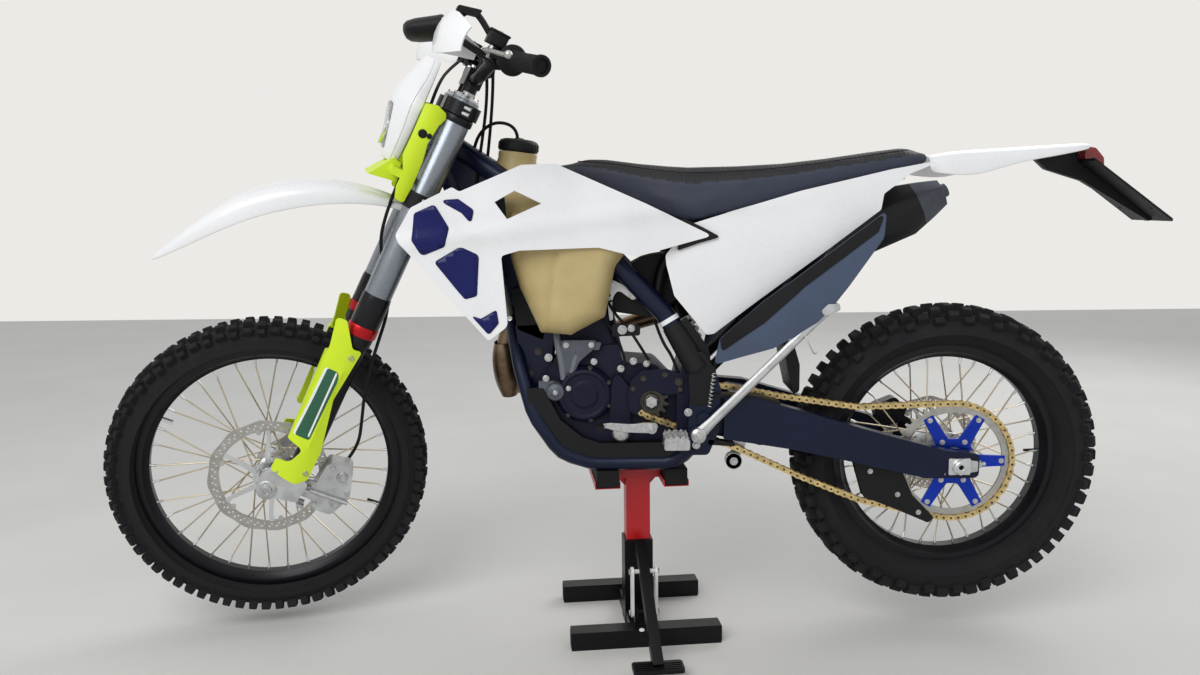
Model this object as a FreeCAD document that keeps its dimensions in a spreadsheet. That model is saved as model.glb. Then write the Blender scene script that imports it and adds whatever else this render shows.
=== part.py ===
import FreeCAD, Part
import math
import os
import Sketcher
from FreeCAD import Placement, Rotation, Vector

# A dirt bike held on its lift stand, in millimetres. X points to the rear, Y to the
# bike's right and Z up; the origin is the middle of the stand's base, on the floor.

os.makedirs("parts", exist_ok=True)
doc = FreeCAD.newDocument("DirtBike")
sheet = doc.addObject("Spreadsheet::Sheet", "Sizes")

# Columns: name, value, what it measures
SIZES = [
    # Layout
    ("rear_axle_x", 678, "rear axle behind the stand's middle"),
    ("rear_axle_z", 391, "rear axle above the floor"),
    ("pivot_x", 140, "swingarm pivot behind the stand's middle"),
    ("pivot_z", 497, "swingarm pivot above the floor"),
    ("head_x", -448, "point on the steering axis, lengthwise"),
    ("head_z", 1000, "point on the steering axis, height"),
    ("rake", 26.5, "steering axis from the vertical, degrees"),
    ("steer_rest", 15.5, "steering turned to the left, degrees"),
    ("axle_drop", 728, "front axle below the head point, along the steering axis"),
    ("clamp_offset", 8, "fork legs ahead of the steering axis"),
    ("axle_lead", 47, "front axle ahead of the fork legs"),
    ("leg_spread", 107, "fork leg's centre from the middle"),
    ("fit", 0.3, "gap between fitted pieces"),
    ("floor", 0, "height of the floor"),
    # Lift stand
    ("stand_turn", 6.7, "lift stand turned about the vertical, degrees"),
    ("foot_length", 326, "base tube length"),
    ("foot_width", 40, "base tube width and height"),
    ("foot_spread", 127, "base tube centre from the middle"),
    ("spine_width", 60, "middle bar of the base"),
    ("sleeve_length", 64, "black sleeve, lengthwise"),
    ("sleeve_width", 54, "black sleeve, across"),
    ("sleeve_top", 198, "black sleeve top"),
    ("post_length", 54, "red post, lengthwise"),
    ("post_width", 44, "red post, across"),
    ("post_bottom", 60, "red post's lower end"),
    ("pad_top", 378, "rubber pad top"),
    ("pad_height", 38, "rubber pad height"),
    ("pad_length", 49, "rubber pad, lengthwise"),
    ("pad_width", 180, "rubber pad, across"),
    ("pad_spread", 75, "rubber pad centre from the post"),
    ("head_bar", 16, "red cross bar thickness"),
    ("head_width", 60, "red cross bar width"),
    ("lever_width", 22, "foot lever width"),
    ("lever_depth", 26, "foot lever depth"),
    ("pedal_length", 104, "pedal, lengthwise"),
    ("pedal_reach", 292, "pedal from the middle of the stand"),
    ("pedal_height", 26, "pedal above the floor"),
    ("link_width", 20, "white link width"),
    ("link_thick", 6, "white link thickness"),
    ("pin_r", 4.5, "link pin radius"),
    # Wheels
    ("front_tyre_r", 344, "front tyre outer radius"),
    ("front_tyre_w", 96, "front tyre width"),
    ("front_bead_r", 270, "front rim seat radius"),
    ("rear_tyre_r", 332, "rear tyre outer radius"),
    ("rear_tyre_w", 134, "rear tyre width"),
    ("rear_bead_r", 232, "rear rim seat radius"),
    ("front_rim_w", 44, "front rim width"),
    ("rear_rim_w", 62, "rear rim width"),
    ("lug_height", 13, "tread block height"),
    ("rim_lip", 14, "rim flange above its seat"),
    ("rim_deep", 12, "rim well below its seat"),
    ("rim_wall", 3.4, "rim flange thickness"),
    ("hub_bore_r", 10.3, "hub bore radius"),
    ("axle_r", 10, "axle radius"),
    ("front_hub_r", 22, "front hub barrel radius"),
    ("rear_hub_r", 30, "rear hub barrel radius"),
    ("front_flange_r", 36, "front spoke flange radius"),
    ("rear_flange_r", 50, "rear spoke flange radius"),
    ("front_flange_y", 30, "front spoke flange from the middle"),
    ("rear_flange_y", 40, "rear spoke flange from the middle"),
    ("flange_thick", 6, "spoke flange thickness"),
    ("front_hub_half", 62, "front hub half width"),
    ("rear_hub_half", 88, "rear hub half width"),
    ("spoke_thick", 3.6, "spoke bar across its flats"),
    ("front_disc_r", 130, "front brake disc radius"),
    ("rear_disc_r", 110, "rear brake disc radius"),
    ("disc_thick", 4, "brake disc thickness"),
    ("front_disc_y", 57, "front disc from the middle, to the left"),
    ("rear_disc_y", 79, "rear disc from the middle, to the right"),
    ("disc_ring", 24, "braking band height"),
    ("disc_gap", 1.5, "brake disc to its caliper"),
    ("disc_collar", 22, "brake disc's inner ring height"),
    ("chain_y", 84, "chain line from the middle, to the left"),
    # Chain drive
    ("chain_pitch", 15.875, "pin to pin"),
    ("rear_teeth", 50, "rear sprocket teeth"),
    ("front_teeth", 13, "front sprocket teeth"),
    ("roller_r", 5.08, "chain roller radius"),
    ("sprocket_thick", 5.2, "sprocket thickness"),
    ("plate_gap", 6.4, "between the chain's inner plates"),
    ("plate_thick", 4, "inner and outer plate together"),
    ("plate_height", 14, "chain plate height"),
    ("drive_x", 31, "front sprocket behind the stand's middle"),
    ("drive_z", 528, "front sprocket above the floor"),
    # Swingarm
    ("arm_inner", 97, "swingarm inner face from the middle"),
    ("arm_thick", 30, "swingarm arm thickness"),
    ("pivot_boss_r", 25, "swingarm pivot boss radius"),
    ("axle_half", 140, "rear axle half length"),
    # Main frame
    ("rail_r", 15, "cradle tube radius"),
    ("rail_y", 84, "cradle tube from the middle"),
    ("spar_r", 20, "upper frame tube radius"),
    ("spar_y", 98, "upper frame tube from the middle, at the pivot"),
    ("down_r", 20, "front down tube radius"),
    ("head_tube_r", 29, "head tube radius"),
    ("head_tube_low", -12, "head tube's lower end on the steering axis"),
    ("head_tube_top", 148, "head tube's upper end on the steering axis"),
    ("plate_y", 104, "frame plate at the pivot, inner face"),
    ("plate_wide", 16, "frame plate at the pivot, thickness"),
    # Steering
    ("stem_r", 15, "steering stem radius"),
    ("upper_clamp_low", 156, "upper fork clamp underside"),
    ("upper_clamp_high", 184, "upper fork clamp top"),
    ("lower_clamp_low", -56, "lower fork clamp underside"),
    ("lower_clamp_high", -20, "lower fork clamp top"),
    ("clamp_r", 37, "fork clamp radius about a leg"),
    ("outer_r", 29, "fork outer tube radius"),
    ("inner_r", 24, "fork inner tube radius"),
    ("outer_low", -345, "fork outer tube's lower end"),
    ("outer_high", 192, "fork outer tube's upper end"),
    ("bar_r", 12.5, "handlebar radius"),
    ("bar_height", 238, "handlebar clamp centre on the steering axis"),
    ("bar_rise", 56, "handlebar ends above the clamp"),
    ("bar_sweep", 62, "handlebar ends behind the clamp"),
    ("bar_half", 400, "handlebar half width"),
    ("grip_r", 17, "grip radius"),
    ("grip_length", 122, "grip length"),
    ("guard_y", 135, "fork guard's inner face from the middle"),
    ("skin", 3.5, "plastic panel thickness"),
    ("neck_r", 38, "tank neck radius"),
    ("plate_bolt_r", 3.2, "number plate bolt hole radius"),
]

for row, (alias, value, meaning) in enumerate(SIZES, 1):
    sheet.set(f"A{row}", meaning)
    sheet.set(f"B{row}", str(value))
    sheet.setAlias(f"B{row}", alias)
doc.recompute()


class Size(float):
    """A number that keeps the sheet formula that it comes from."""

    def __new__(cls, value, formula):
        number = float.__new__(cls, value)
        number.formula = formula
        return number

    def __add__(self, other):
        return Size(float(self) + float(other), f"({formula(self)} + {formula(other)})")

    def __radd__(self, other):
        return Size(float(other) + float(self), f"({formula(other)} + {formula(self)})")

    def __sub__(self, other):
        return Size(float(self) - float(other), f"({formula(self)} - {formula(other)})")

    def __rsub__(self, other):
        return Size(float(other) - float(self), f"({formula(other)} - {formula(self)})")

    def __mul__(self, other):
        return Size(float(self) * float(other), f"({formula(self)} * {formula(other)})")

    __rmul__ = __mul__

    def __truediv__(self, other):
        return Size(float(self) / float(other), f"({formula(self)} / {formula(other)})")

    def __neg__(self):
        return Size(-float(self), f"(0 - {formula(self)})")


def formula(value):
    return value.formula if isinstance(value, Size) else f"{float(value):.6f}"


class Sheet:
    """Gives each size of the sheet by its name."""

    def __getattr__(self, alias):
        return Size(sheet.get(alias), f"Sizes.{alias}")


S = Sheet()
PIECES = []


def bind(thing, **values):
    for name, value in values.items():
        if isinstance(value, Size):
            thing.setExpression(name, value.formula)
        else:
            setattr(thing, name, value)


def piece(thing, label, placement=None):
    """Names a sub-part, places it and lists it for export."""
    thing.Label = label
    if placement is not None:
        thing.Placement = placement
    PIECES.append(thing)
    return thing


def shape_piece(label, shape, placement=None):
    """A sub-part whose shape is worked out from the sheet's sizes."""
    thing = doc.addObject("Part::Feature", label)
    thing.Shape = shape
    return piece(thing, label, placement)


# Sketches and PartDesign features

def new_body(name):
    body = doc.addObject("PartDesign::Body", name)
    body.AllowCompound = True
    return body


def origin_of(body, role):
    return next(item for item in body.Origin.OriginFeatures if item.Role == role)


def new_sketch(body, plane, height=0.0):
    sketch = body.newObject("Sketcher::SketchObject", f"{body.Name}Sketch")
    sketch.AttachmentSupport = [(origin_of(body, f"{plane}_Plane"), "")]
    sketch.MapMode = "FlatFace"
    if isinstance(height, Size):
        sketch.setExpression(".AttachmentOffset.Base.z", height.formula)
    elif height:
        sketch.AttachmentOffset = Placement(Vector(0, 0, height), Rotation())
    return sketch


def add_constraints(sketch, constraints, driving):
    """Adds constraints; driving gives (place in the list, size) for those bound to the sheet."""
    first = sketch.ConstraintCount
    sketch.addConstraint(constraints)
    for place, value in driving:
        if isinstance(value, Size):
            sketch.setExpression(f"Constraints[{first + place}]", value.formula)


def corner_arc(before, at, after, rounding):
    """Start, middle and end of the arc that rounds a corner."""
    one = (before - at).normalize()
    two = (after - at).normalize()
    half = math.acos(max(-1.0, min(1.0, one.dot(two)))) / 2
    reach = rounding / math.tan(half)
    middle = (one + two).normalize()
    away = rounding / math.sin(half)
    return at + one * reach, at + middle * (away - rounding), at + two * reach


def draw_outline(sketch, corners):
    """Closed outline; a corner is (across, up) or (across, up, rounding)."""
    spots = [Vector(float(c[0]), float(c[1]), 0) for c in corners]
    rounds = [float(c[2]) if len(c) > 2 else 0.0 for c in corners]
    count = len(spots)
    starts, ends, arcs = [], [], {}
    for i in range(count):
        if rounds[i]:
            arcs[i] = corner_arc(spots[i - 1], spots[i], spots[(i + 1) % count], rounds[i])
            ends.append(arcs[i][0])
            starts.append(arcs[i][2])
        else:
            ends.append(spots[i])
            starts.append(spots[i])
    base = sketch.GeometryCount
    geometry = []
    for i in range(count):
        geometry.append(Part.LineSegment(starts[i], ends[(i + 1) % count]))
    for i, (first, middle, last) in arcs.items():
        geometry.append(Part.Arc(first, middle, last))
    sketch.addGeometry(geometry, False)
    arc_index = {i: base + count + order for order, i in enumerate(arcs)}
    marks = {}
    for i in arcs:
        marks[i] = sketch.addGeometry(Part.Point(spots[i]), True)
    constraints = []
    driving = []
    for i in range(count):
        line_in = base + (i - 1) % count
        line_out = base + i
        x, y = corners[i][0], corners[i][1]
        if i in arcs:
            mark = marks[i]
            arc = arc_index[i]
            near = 1 if (sketch.getPoint(arc, 1) - arcs[i][0]).Length < 1e-6 else 2
            driving.append((len(constraints), x))
            constraints.append(Sketcher.Constraint("DistanceX", -1, 1, mark, 1, float(x)))
            driving.append((len(constraints), y))
            constraints.append(Sketcher.Constraint("DistanceY", -1, 1, mark, 1, float(y)))
            constraints.append(Sketcher.Constraint("PointOnObject", mark, 1, line_in))
            constraints.append(Sketcher.Constraint("PointOnObject", mark, 1, line_out))
            constraints.append(Sketcher.Constraint("Tangent", line_in, 2, arc, near))
            constraints.append(Sketcher.Constraint("Tangent", line_out, 1, arc, 3 - near))
            driving.append((len(constraints), corners[i][2]))
            constraints.append(Sketcher.Constraint("Radius", arc, rounds[i]))
        else:
            constraints.append(Sketcher.Constraint("Coincident", line_in, 2, line_out, 1))
            driving.append((len(constraints), x))
            constraints.append(Sketcher.Constraint("DistanceX", -1, 1, line_out, 1, float(x)))
            driving.append((len(constraints), y))
            constraints.append(Sketcher.Constraint("DistanceY", -1, 1, line_out, 1, float(y)))
    add_constraints(sketch, constraints, driving)


def draw_ring(sketch, across, up, radius):
    centre = Vector(float(across), float(up), 0)
    ring = sketch.addGeometry(Part.Circle(centre, Vector(0, 0, 1), float(radius)), False)
    constraints = [
        Sketcher.Constraint("DistanceX", -1, 1, ring, 3, float(across)),
        Sketcher.Constraint("DistanceY", -1, 1, ring, 3, float(up)),
        Sketcher.Constraint("Radius", ring, float(radius)),
    ]
    add_constraints(sketch, constraints, [(0, across), (1, up), (2, radius)])


def draw(sketch, loops):
    """Each loop is a list of corners or ("ring", across, up, radius)."""
    for loop in loops:
        if loop[0] == "ring":
            draw_ring(sketch, *loop[1:])
        else:
            draw_outline(sketch, loop)


def pad(body, plane, low, high, *loops):
    """Extrudes loops from low to high along the plane's normal axis (Y for XZ)."""
    sketch = new_sketch(body, plane, -high if plane == "XZ" else low)
    draw(sketch, loops)
    feature = body.newObject("PartDesign::Pad", f"{body.Name}Pad")
    feature.Profile = sketch
    bind(feature, Length=high - low)
    return feature


def pocket(body, plane, low, high, *loops):
    """Cuts loops from low to high along the plane's normal axis (Y for XZ)."""
    sketch = new_sketch(body, plane, -low if plane == "XZ" else high)
    draw(sketch, loops)
    feature = body.newObject("PartDesign::Pocket", f"{body.Name}Pocket")
    feature.Profile = sketch
    bind(feature, Length=high - low)
    return feature


def polar(body, features, axis, count):
    pattern = body.newObject("PartDesign::PolarPattern", f"{body.Name}Polar")
    pattern.Originals = features
    pattern.Axis = (origin_of(body, f"{axis}_Axis"), [""])
    pattern.Angle = 360
    bind(pattern, Occurrences=count)
    body.Tip = pattern
    return pattern


def rectangle(low_a, low_b, high_a, high_b, rounding=0):
    spots = [(low_a, low_b), (high_a, low_b), (high_a, high_b), (low_a, high_b)]
    return [spot + (rounding,) for spot in spots] if rounding else spots


# Shapes made with Part's own functions

def vec(point):
    return Vector(*[float(number) for number in point])


# Degrees of bend to each straight chord, and flat sides of a tube
BEND_STEP = 24
TUBE_SIDES = 12


def path_wire(points, bend):
    """Straight runs joined by short chords of tangent arcs, one chord for each BEND_STEP degrees."""
    spots = [vec(point) for point in points]
    edges = []
    last = spots[0]
    for before, at, after in zip(spots, spots[1:], spots[2:]):
        one = (before - at).normalize()
        two = (after - at).normalize()
        half = math.acos(max(-1.0, min(1.0, one.dot(two)))) / 2
        room = 0.45 * min((before - at).Length, (after - at).Length)
        radius = min(bend, room * math.tan(half))
        first, middle, end = corner_arc(before, at, after, radius)
        arc = Part.Arc(first, middle, end).toShape()
        chords = max(1, round(math.degrees(math.pi - 2 * half) / BEND_STEP))
        for spot in arc.discretize(chords + 1):
            edges.append(Part.LineSegment(last, spot).toShape())
            last = spot
    edges.append(Part.LineSegment(last, spots[-1]).toShape())
    return Part.Wire(edges)


def ring_spots(centre, along, radius, sides):
    """Corners of a regular polygon square to a line, its flat sides at the radius."""
    along = Vector(along).normalize()
    rough = Vector(0, 0, 1) if abs(along.z) < 0.9 else Vector(1, 0, 0)
    side = along.cross(rough).normalize()
    rise = side.cross(along)
    reach = float(radius) / math.cos(math.pi / sides)
    spots = []
    for number in range(sides):
        angle = 2 * math.pi * (number + 0.5) / sides
        spots.append(centre + side * (reach * math.cos(angle)) + rise * (reach * math.sin(angle)))
    return spots


def pipe(points, radius, bend=60.0):
    """Bar of TUBE_SIDES sides along a path."""
    path = path_wire(points, bend)
    spots = [vec(point) for point in points]
    corners = ring_spots(spots[0], spots[1] - spots[0], radius, TUBE_SIDES)
    return path.makePipeShell([Part.makePolygon(corners + corners[:1])], True, False, 1)


def bar(points, wide, tall, bend=60.0, up=Vector(0, 0, 1)):
    """Rectangular bar along a path, tall in the direction of up."""
    path = path_wire(points, bend)
    spots = [vec(point) for point in points]
    along = (spots[1] - spots[0]).normalize()
    side = along.cross(up).normalize()
    rise = side.cross(along).normalize()
    corners = []
    for a, b in ((-1, -1), (1, -1), (1, 1), (-1, 1)):
        corners.append(spots[0] + side * (a * wide / 2) + rise * (b * tall / 2))
    section = Part.makePolygon(corners + corners[:1])
    return path.makePipeShell([section], True, False, 1)


def rod(one, two, radius, sides=0):
    """Round bar, or one of so many flat sides."""
    start, end = vec(one), vec(two)
    if not sides:
        return Part.makeCylinder(float(radius), (end - start).Length, start, end - start)
    corners = ring_spots(start, end - start, radius, sides)
    return Part.Face(Part.makePolygon(corners + corners[:1])).extrude(end - start)


def block(low, high):
    one, two = vec(low), vec(high)
    size = two - one
    return Part.makeBox(size.x, size.y, size.z, one)


def rounded_wire(spots, rounds):
    """Closed wire through spots, each with its own rounding."""
    count = len(spots)
    edges = []
    corners = []
    for i in range(count):
        if rounds[i]:
            corners.append(corner_arc(spots[i - 1], spots[i], spots[(i + 1) % count], rounds[i]))
        else:
            corners.append((spots[i], None, spots[i]))
    for i in range(count):
        first, middle, last = corners[i]
        if middle is not None:
            edges.append(Part.Arc(first, middle, last).toShape())
        after = corners[(i + 1) % count][0]
        edges.append(Part.LineSegment(last, after).toShape())
    return Part.Wire(edges)


def slab(outline, low, high, axis="Y"):
    """Extruded outline of (across, up, rounding) rows, from low to high along axis."""
    low, high = float(low), float(high)
    spots = []
    for row in outline:
        a, b = float(row[0]), float(row[1])
        spots.append({"Y": Vector(a, low, b), "Z": Vector(a, b, low), "X": Vector(low, a, b)}[axis])
    rounds = [float(row[2]) if len(row) > 2 else 0.0 for row in outline]
    along = {"Y": Vector(0, 1, 0), "Z": Vector(0, 0, 1), "X": Vector(1, 0, 0)}[axis]
    return Part.Face(rounded_wire(spots, rounds)).extrude(along * (high - low))


def ruled(sections):
    """Solid skinned with flat faces through closed polygons with like corners."""
    rings = [[vec(corner) for corner in corners] for corners in sections]
    faces = []
    for one, two in zip(rings, rings[1:]):
        for i, spot in enumerate(one):
            a, b, c, d = spot, one[(i + 1) % len(one)], two[(i + 1) % len(one)], two[i]
            flat = abs((b - a).cross(d - a).dot(c - a)) < 1e-3
            for corners in ([(a, b, c, d)] if flat else [(a, b, c), (a, c, d)]):
                faces.append(Part.Face(Part.makePolygon(list(corners) + [a])))
    for ring in (rings[0], rings[-1]):
        faces.append(Part.Face(Part.makePolygon(ring + ring[:1])))
    solid = Part.makeSolid(Part.makeShell(faces))
    if solid.Volume < 0:
        solid.reverse()
    return solid


def other_side(shape):
    return shape.mirror(Vector(0, 0, 0), Vector(0, 1, 0))


def both_sides(shape):
    return Part.makeCompound([shape, other_side(shape)])


def joined(shapes):
    return shapes[0].fuse(shapes[1:]).removeSplitter()


# Where the groups stand

STAND = Placement(Vector(0, 0, 0), Rotation(Vector(0, 0, 1), S.stand_turn))
HEAD = Vector(S.head_x, 0, S.head_z)
LEAN = Rotation(Vector(0, 1, 0), S.rake)
STEERED = Placement(HEAD, LEAN.multiply(Rotation(Vector(0, 0, 1), S.steer_rest)))
STRAIGHT = Placement(HEAD, LEAN)
AXLE_X = -(S.clamp_offset + S.axle_lead)
FRONT_WHEEL = STEERED.multiply(Placement(Vector(AXLE_X, 0, -S.axle_drop), Rotation()))
REAR_WHEEL = Placement(Vector(S.rear_axle_x, 0, S.rear_axle_z), Rotation())


# Lift stand

def stand_base():
    body = new_body("StandBase")
    half = S.foot_length / 2
    low, high = S.foot_spread - S.foot_width / 2, S.foot_spread + S.foot_width / 2
    pad(body, "XY", S.floor, S.foot_width, rectangle(-half, low, half, high))
    pad(body, "XY", S.floor, S.foot_width, rectangle(-half, -high, half, -low))
    pad(body, "XY", S.floor, S.foot_width * 0.8,
        rectangle(-S.spine_width / 2, -high + 10, S.spine_width / 2, high - 10))
    pad(body, "XY", S.floor, S.sleeve_top,
        rectangle(-S.sleeve_length / 2, -S.sleeve_width / 2, S.sleeve_length / 2, S.sleeve_width / 2))
    inner_x, inner_y = S.post_length / 2 + S.fit, S.post_width / 2 + S.fit
    pocket(body, "XY", S.post_bottom, S.sleeve_top, rectangle(-inner_x, -inner_y, inner_x, inner_y))
    ear_x = S.lever_width / 2 + 3
    ear_y = -low + 12
    pad(body, "XY", S.floor, S.foot_width + 34, rectangle(ear_x, ear_y - 22, ear_x + 8, ear_y))
    pad(body, "XY", S.floor, S.foot_width + 34, rectangle(-ear_x - 8, ear_y - 22, -ear_x, ear_y))
    pin = ("ring", -low + 1, S.foot_width + 22, S.pin_r + 2 * S.fit)
    pocket(body, "YZ", -40, 40, pin)
    piece(body, "stand_base", STAND)


def stand_column():
    body = new_body("StandColumn")
    x, y = S.post_length / 2, S.post_width / 2
    top = S.pad_top - S.pad_height / 2
    pad(body, "XY", S.post_bottom + S.fit, top, rectangle(-x, -y, x, y))
    reach = S.pad_spread - S.pad_length / 2 - S.fit
    pad(body, "XY", top - S.head_bar, top + 3,
        rectangle(-reach, -S.head_width / 2, reach, S.head_width / 2))
    piece(body, "stand_column", STAND)


def stand_pads():
    body = new_body("StandPads")
    for side in (-1, 1):
        x = S.pad_spread * side
        half = S.pad_length / 2
        pad(body, "XZ", -S.pad_width / 2, S.pad_width / 2,
            rectangle(x - half, S.pad_top - S.pad_height, x + half, S.pad_top, 3))
    piece(body, "stand_pads", STAND)


# Where the foot lever's middle line meets the sleeve's top
LEVER_TOP_Y = -44.0


def lever_height(y):
    """Height of the foot lever's middle line over y."""
    start_z = float(S.sleeve_top)
    end_y, end_z = -float(S.pedal_reach), float(S.pedal_height)
    return start_z + (end_z - start_z) * (y - LEVER_TOP_Y) / (end_y - LEVER_TOP_Y)


def stand_lever():
    shape = bar([(0, LEVER_TOP_Y, lever_height(LEVER_TOP_Y)), (0, -S.pedal_reach, S.pedal_height)],
                S.lever_width, S.lever_depth)
    half = S.pedal_length / 2
    pedal = slab([(-half, -S.pedal_reach - 22, 8), (half, -S.pedal_reach - 22, 8),
                  (half, -S.pedal_reach + 22, 8), (-half, -S.pedal_reach + 22, 8)],
                 S.pedal_height - 4, S.pedal_height + 4, "Z")
    lug = slab([(LEVER_TOP_Y - 20, S.sleeve_top - 30), (-S.sleeve_width / 2 - S.fit, S.sleeve_top - 30),
                (-S.sleeve_width / 2 - S.fit, S.sleeve_top - 2), (LEVER_TOP_Y - 20, S.sleeve_top - 2)],
               -S.lever_width / 2, S.lever_width / 2, "X")
    lever = joined([shape, pedal, lug])
    shape_piece("stand_lever", joined([lever, link_solids()]), STAND)


def link_solids():
    y = -(S.foot_spread - S.foot_width / 2) + 1
    low = S.foot_width + 22
    high = lever_height(y)
    solids = []
    for side in (-1, 1):
        near = side * (S.lever_width / 2 + 12)
        far = near + side * S.link_thick
        half = S.link_width / 2
        link = slab([(y - half, low - half, 9), (y + half, low - half, 9),
                     (y + half, high + half, 9), (y - half, high + half, 9)],
                    min(near, far), max(near, far), "X")
        solids.append(link)
    for height in (low, high):
        reach = S.lever_width / 2 + 20
        solids.append(rod((-reach, y, height), (reach, y, height), S.pin_r, 8))
    return joined(solids)


# Frame

def head_spot(ahead, side, height):
    """Point given along the steering axis, steering straight."""
    return tuple(STRAIGHT.multVec(Vector(ahead, side, height)))


RAIL_Z = S.pad_top + S.fit + S.rail_r


# Columns: along, share of the spar's width, height
SPAR_ROWS = [(-392, 0.12, 1080), (-250, 0.66, 985), (-40, 0.86, 822), (62, 0.96, 716), (128, 1.14, 600)]


def spar(side, extra=0.0):
    rows = [(x, side * S.spar_y * share, z) for x, share, z in SPAR_ROWS]
    return pipe(rows, S.spar_r + extra, 90)


def main_frame():
    head = rod(head_spot(0, 0, S.head_tube_low), head_spot(0, 0, S.head_tube_top), S.head_tube_r, 16)
    down = pipe([head_spot(0, 0, 60), (-262, 0, 668)], S.down_r)
    # Columns: along, share of the rail's width, height
    rail_rows = [(-272, 0.10, 690), (-252, 0.65, 600), (-222, 1, 500), (-165, 1, RAIL_Z + 22),
                 (-95, 1, RAIL_Z), (86, 1, RAIL_Z), (118, 1.33, RAIL_Z + 45)]
    rail = pipe([(x, S.rail_y * share, z) for x, share, z in rail_rows], S.rail_r, 70)
    plate_rows = [(104, 418, 10), (150, 418, 12), (172, 470, 20), (176, 560, 20), (160, 612, 10),
                  (112, 612, 10), (108, 500, 10)]
    plate = slab(plate_rows, S.plate_y, S.plate_y + S.plate_wide)
    lug = slab([(2, 752, 6), (78, 750, 14), (84, 784, 14), (10, 784, 6)], 15, 21)
    half = joined([rail, spar(1), plate])
    cross = rod((70, -S.rail_y, RAIL_Z), (70, S.rail_y, RAIL_Z), 10, 8)
    brace = rod((15, -S.spar_y * 0.9, 766), (15, S.spar_y * 0.9, 766), 13, 8)
    shell = joined([head, down, half, other_side(half), cross, brace, lug, other_side(lug), pivot_shaft()])
    bearing = rod(head_spot(0, 0, -60), head_spot(0, 0, 220), S.stem_r + S.fit, 16)
    shape_piece("main_frame", shell.cut(bearing))


def subframe():
    solids = []
    upper_y = S.spar_y * 0.94 - S.spar_r * 1.04 - 3 * S.fit
    lower_y = S.plate_y - S.fit
    for side in (1, -1):
        solids.append(rod((40, side * upper_y, 739), (40, side * (upper_y - 14), 739), 11, 8))
        solids.append(pipe([(40, side * 57, 739), (62, side * 62, 835), (150, side * 74, 904),
                            (300, side * 72, 941), (560, side * 62, 1003.4)], 12, 80))
        solids.append(rod((158, side * lower_y, 598), (158, side * 70, 598), 9, 8))
        solids.append(pipe([(158, side * 78, 598), (330, side * 78, 770), (500, side * 66, 975)], 11, 80))
    solids.append(rod((552, -64, 1001), (552, 64, 1001), 9, 8))
    solids.append(rod((300, -72, 941), (300, 72, 941), 9, 8))
    shape_piece("subframe", joined(solids))


# Engine

def engine_block():
    rows = [(-172, 452, 20), (-120, 420, 25), (40, 420, 20), (84, 450, 15), (84, 560, 25),
            (40, 606, 20), (-30, 612, 10), (-40, 650, 10), (-165, 640, 15), (-205, 570, 25)]
    cases = slab(rows, -70, 78)
    # Columns: low, high, half length, half width to the left and right, rounding
    steps = [(-30, 78, 62, 62, 66, 22), (78, 158, 66, 68, 70, 14), (158, 182, 55, 60, 60, 10)]
    tower = []
    for low, high, half, left, right, rounding in steps:
        tower.append(slab([(-half, -left, rounding), (half, -left, rounding), (half, right, rounding),
                           (-half, right, rounding)], low, high, "Z"))
    tower = joined(tower)
    tower.Placement = Placement(Vector(-98, 0, 646), Rotation(Vector(0, 1, 0), -12))
    shape_piece("engine_block", joined([cases, tower]))


def engine_covers():
    body = new_body("EngineCovers")
    pad(body, "XZ", -96, -70.3, ("ring", -112, 545, 62))
    pad(body, "XZ", -88, -70.3, [(-60, 470, 10), (-16, 452, 10), (-14, 480, 6), (-16, 560, 10),
                                 (-44, 596, 10), (-56, 560, 5)])
    pad(body, "XZ", 78.3, 112, ("ring", -52, 520, 80))
    pad(body, "XZ", 78.3, 100, ("ring", -128, 470, 36))
    piece(body, "engine_covers")


CAN_START = Vector(322, 132, 786)
CAN_LEAN = math.radians(25)
CAN_ALONG = Vector(math.cos(CAN_LEAN), 0, math.sin(CAN_LEAN))


def exhaust_header():
    end = CAN_START - CAN_ALONG * float(S.fit)
    tube = pipe([(-188, 16, 747.5), (-230, 16, 738.6), (-272, 52, 700), (-298, 56, 640), (-300, 64, 575),
                 (-268, 110, 515), (-180, 136, 560), (-60, 142, 655), (100, 142, 698), (164, 94, 712),
                 (232, 98, 732), tuple(CAN_START - CAN_ALONG * 46), tuple(end)], 19, 70)
    bulge = rod((-299, 60, 606), (-294, 74, 548), 28, 16)
    shape_piece("exhaust_header", joined([tube, bulge]))


def silencer():
    # Columns: distance along the can, half height, half width, shift outwards
    rows = [(0, 24, 22, 0), (46, 52, 36, 6), (330, 60, 40, 6), (384, 44, 34, 6), (424, 30, 24, 4)]
    rise = Vector(-math.sin(CAN_LEAN), 0, math.cos(CAN_LEAN))
    sections = []
    for reach, tall, wide, out in rows:
        middle = CAN_START + CAN_ALONG * reach + Vector(0, out, 0)
        ring = []
        for a, b in ((-1, -0.35), (-1, 0.45), (-0.45, 1), (0.5, 1), (1, 0.4), (1, -0.4), (0.45, -1),
                     (-0.5, -1)):
            ring.append(middle + Vector(0, 1, 0) * (a * wide) + rise * (b * tall))
        sections.append(ring)
    shape_piece("silencer", ruled(sections))


# Slats across the front of each radiator
LOUVRES = 9


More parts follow.
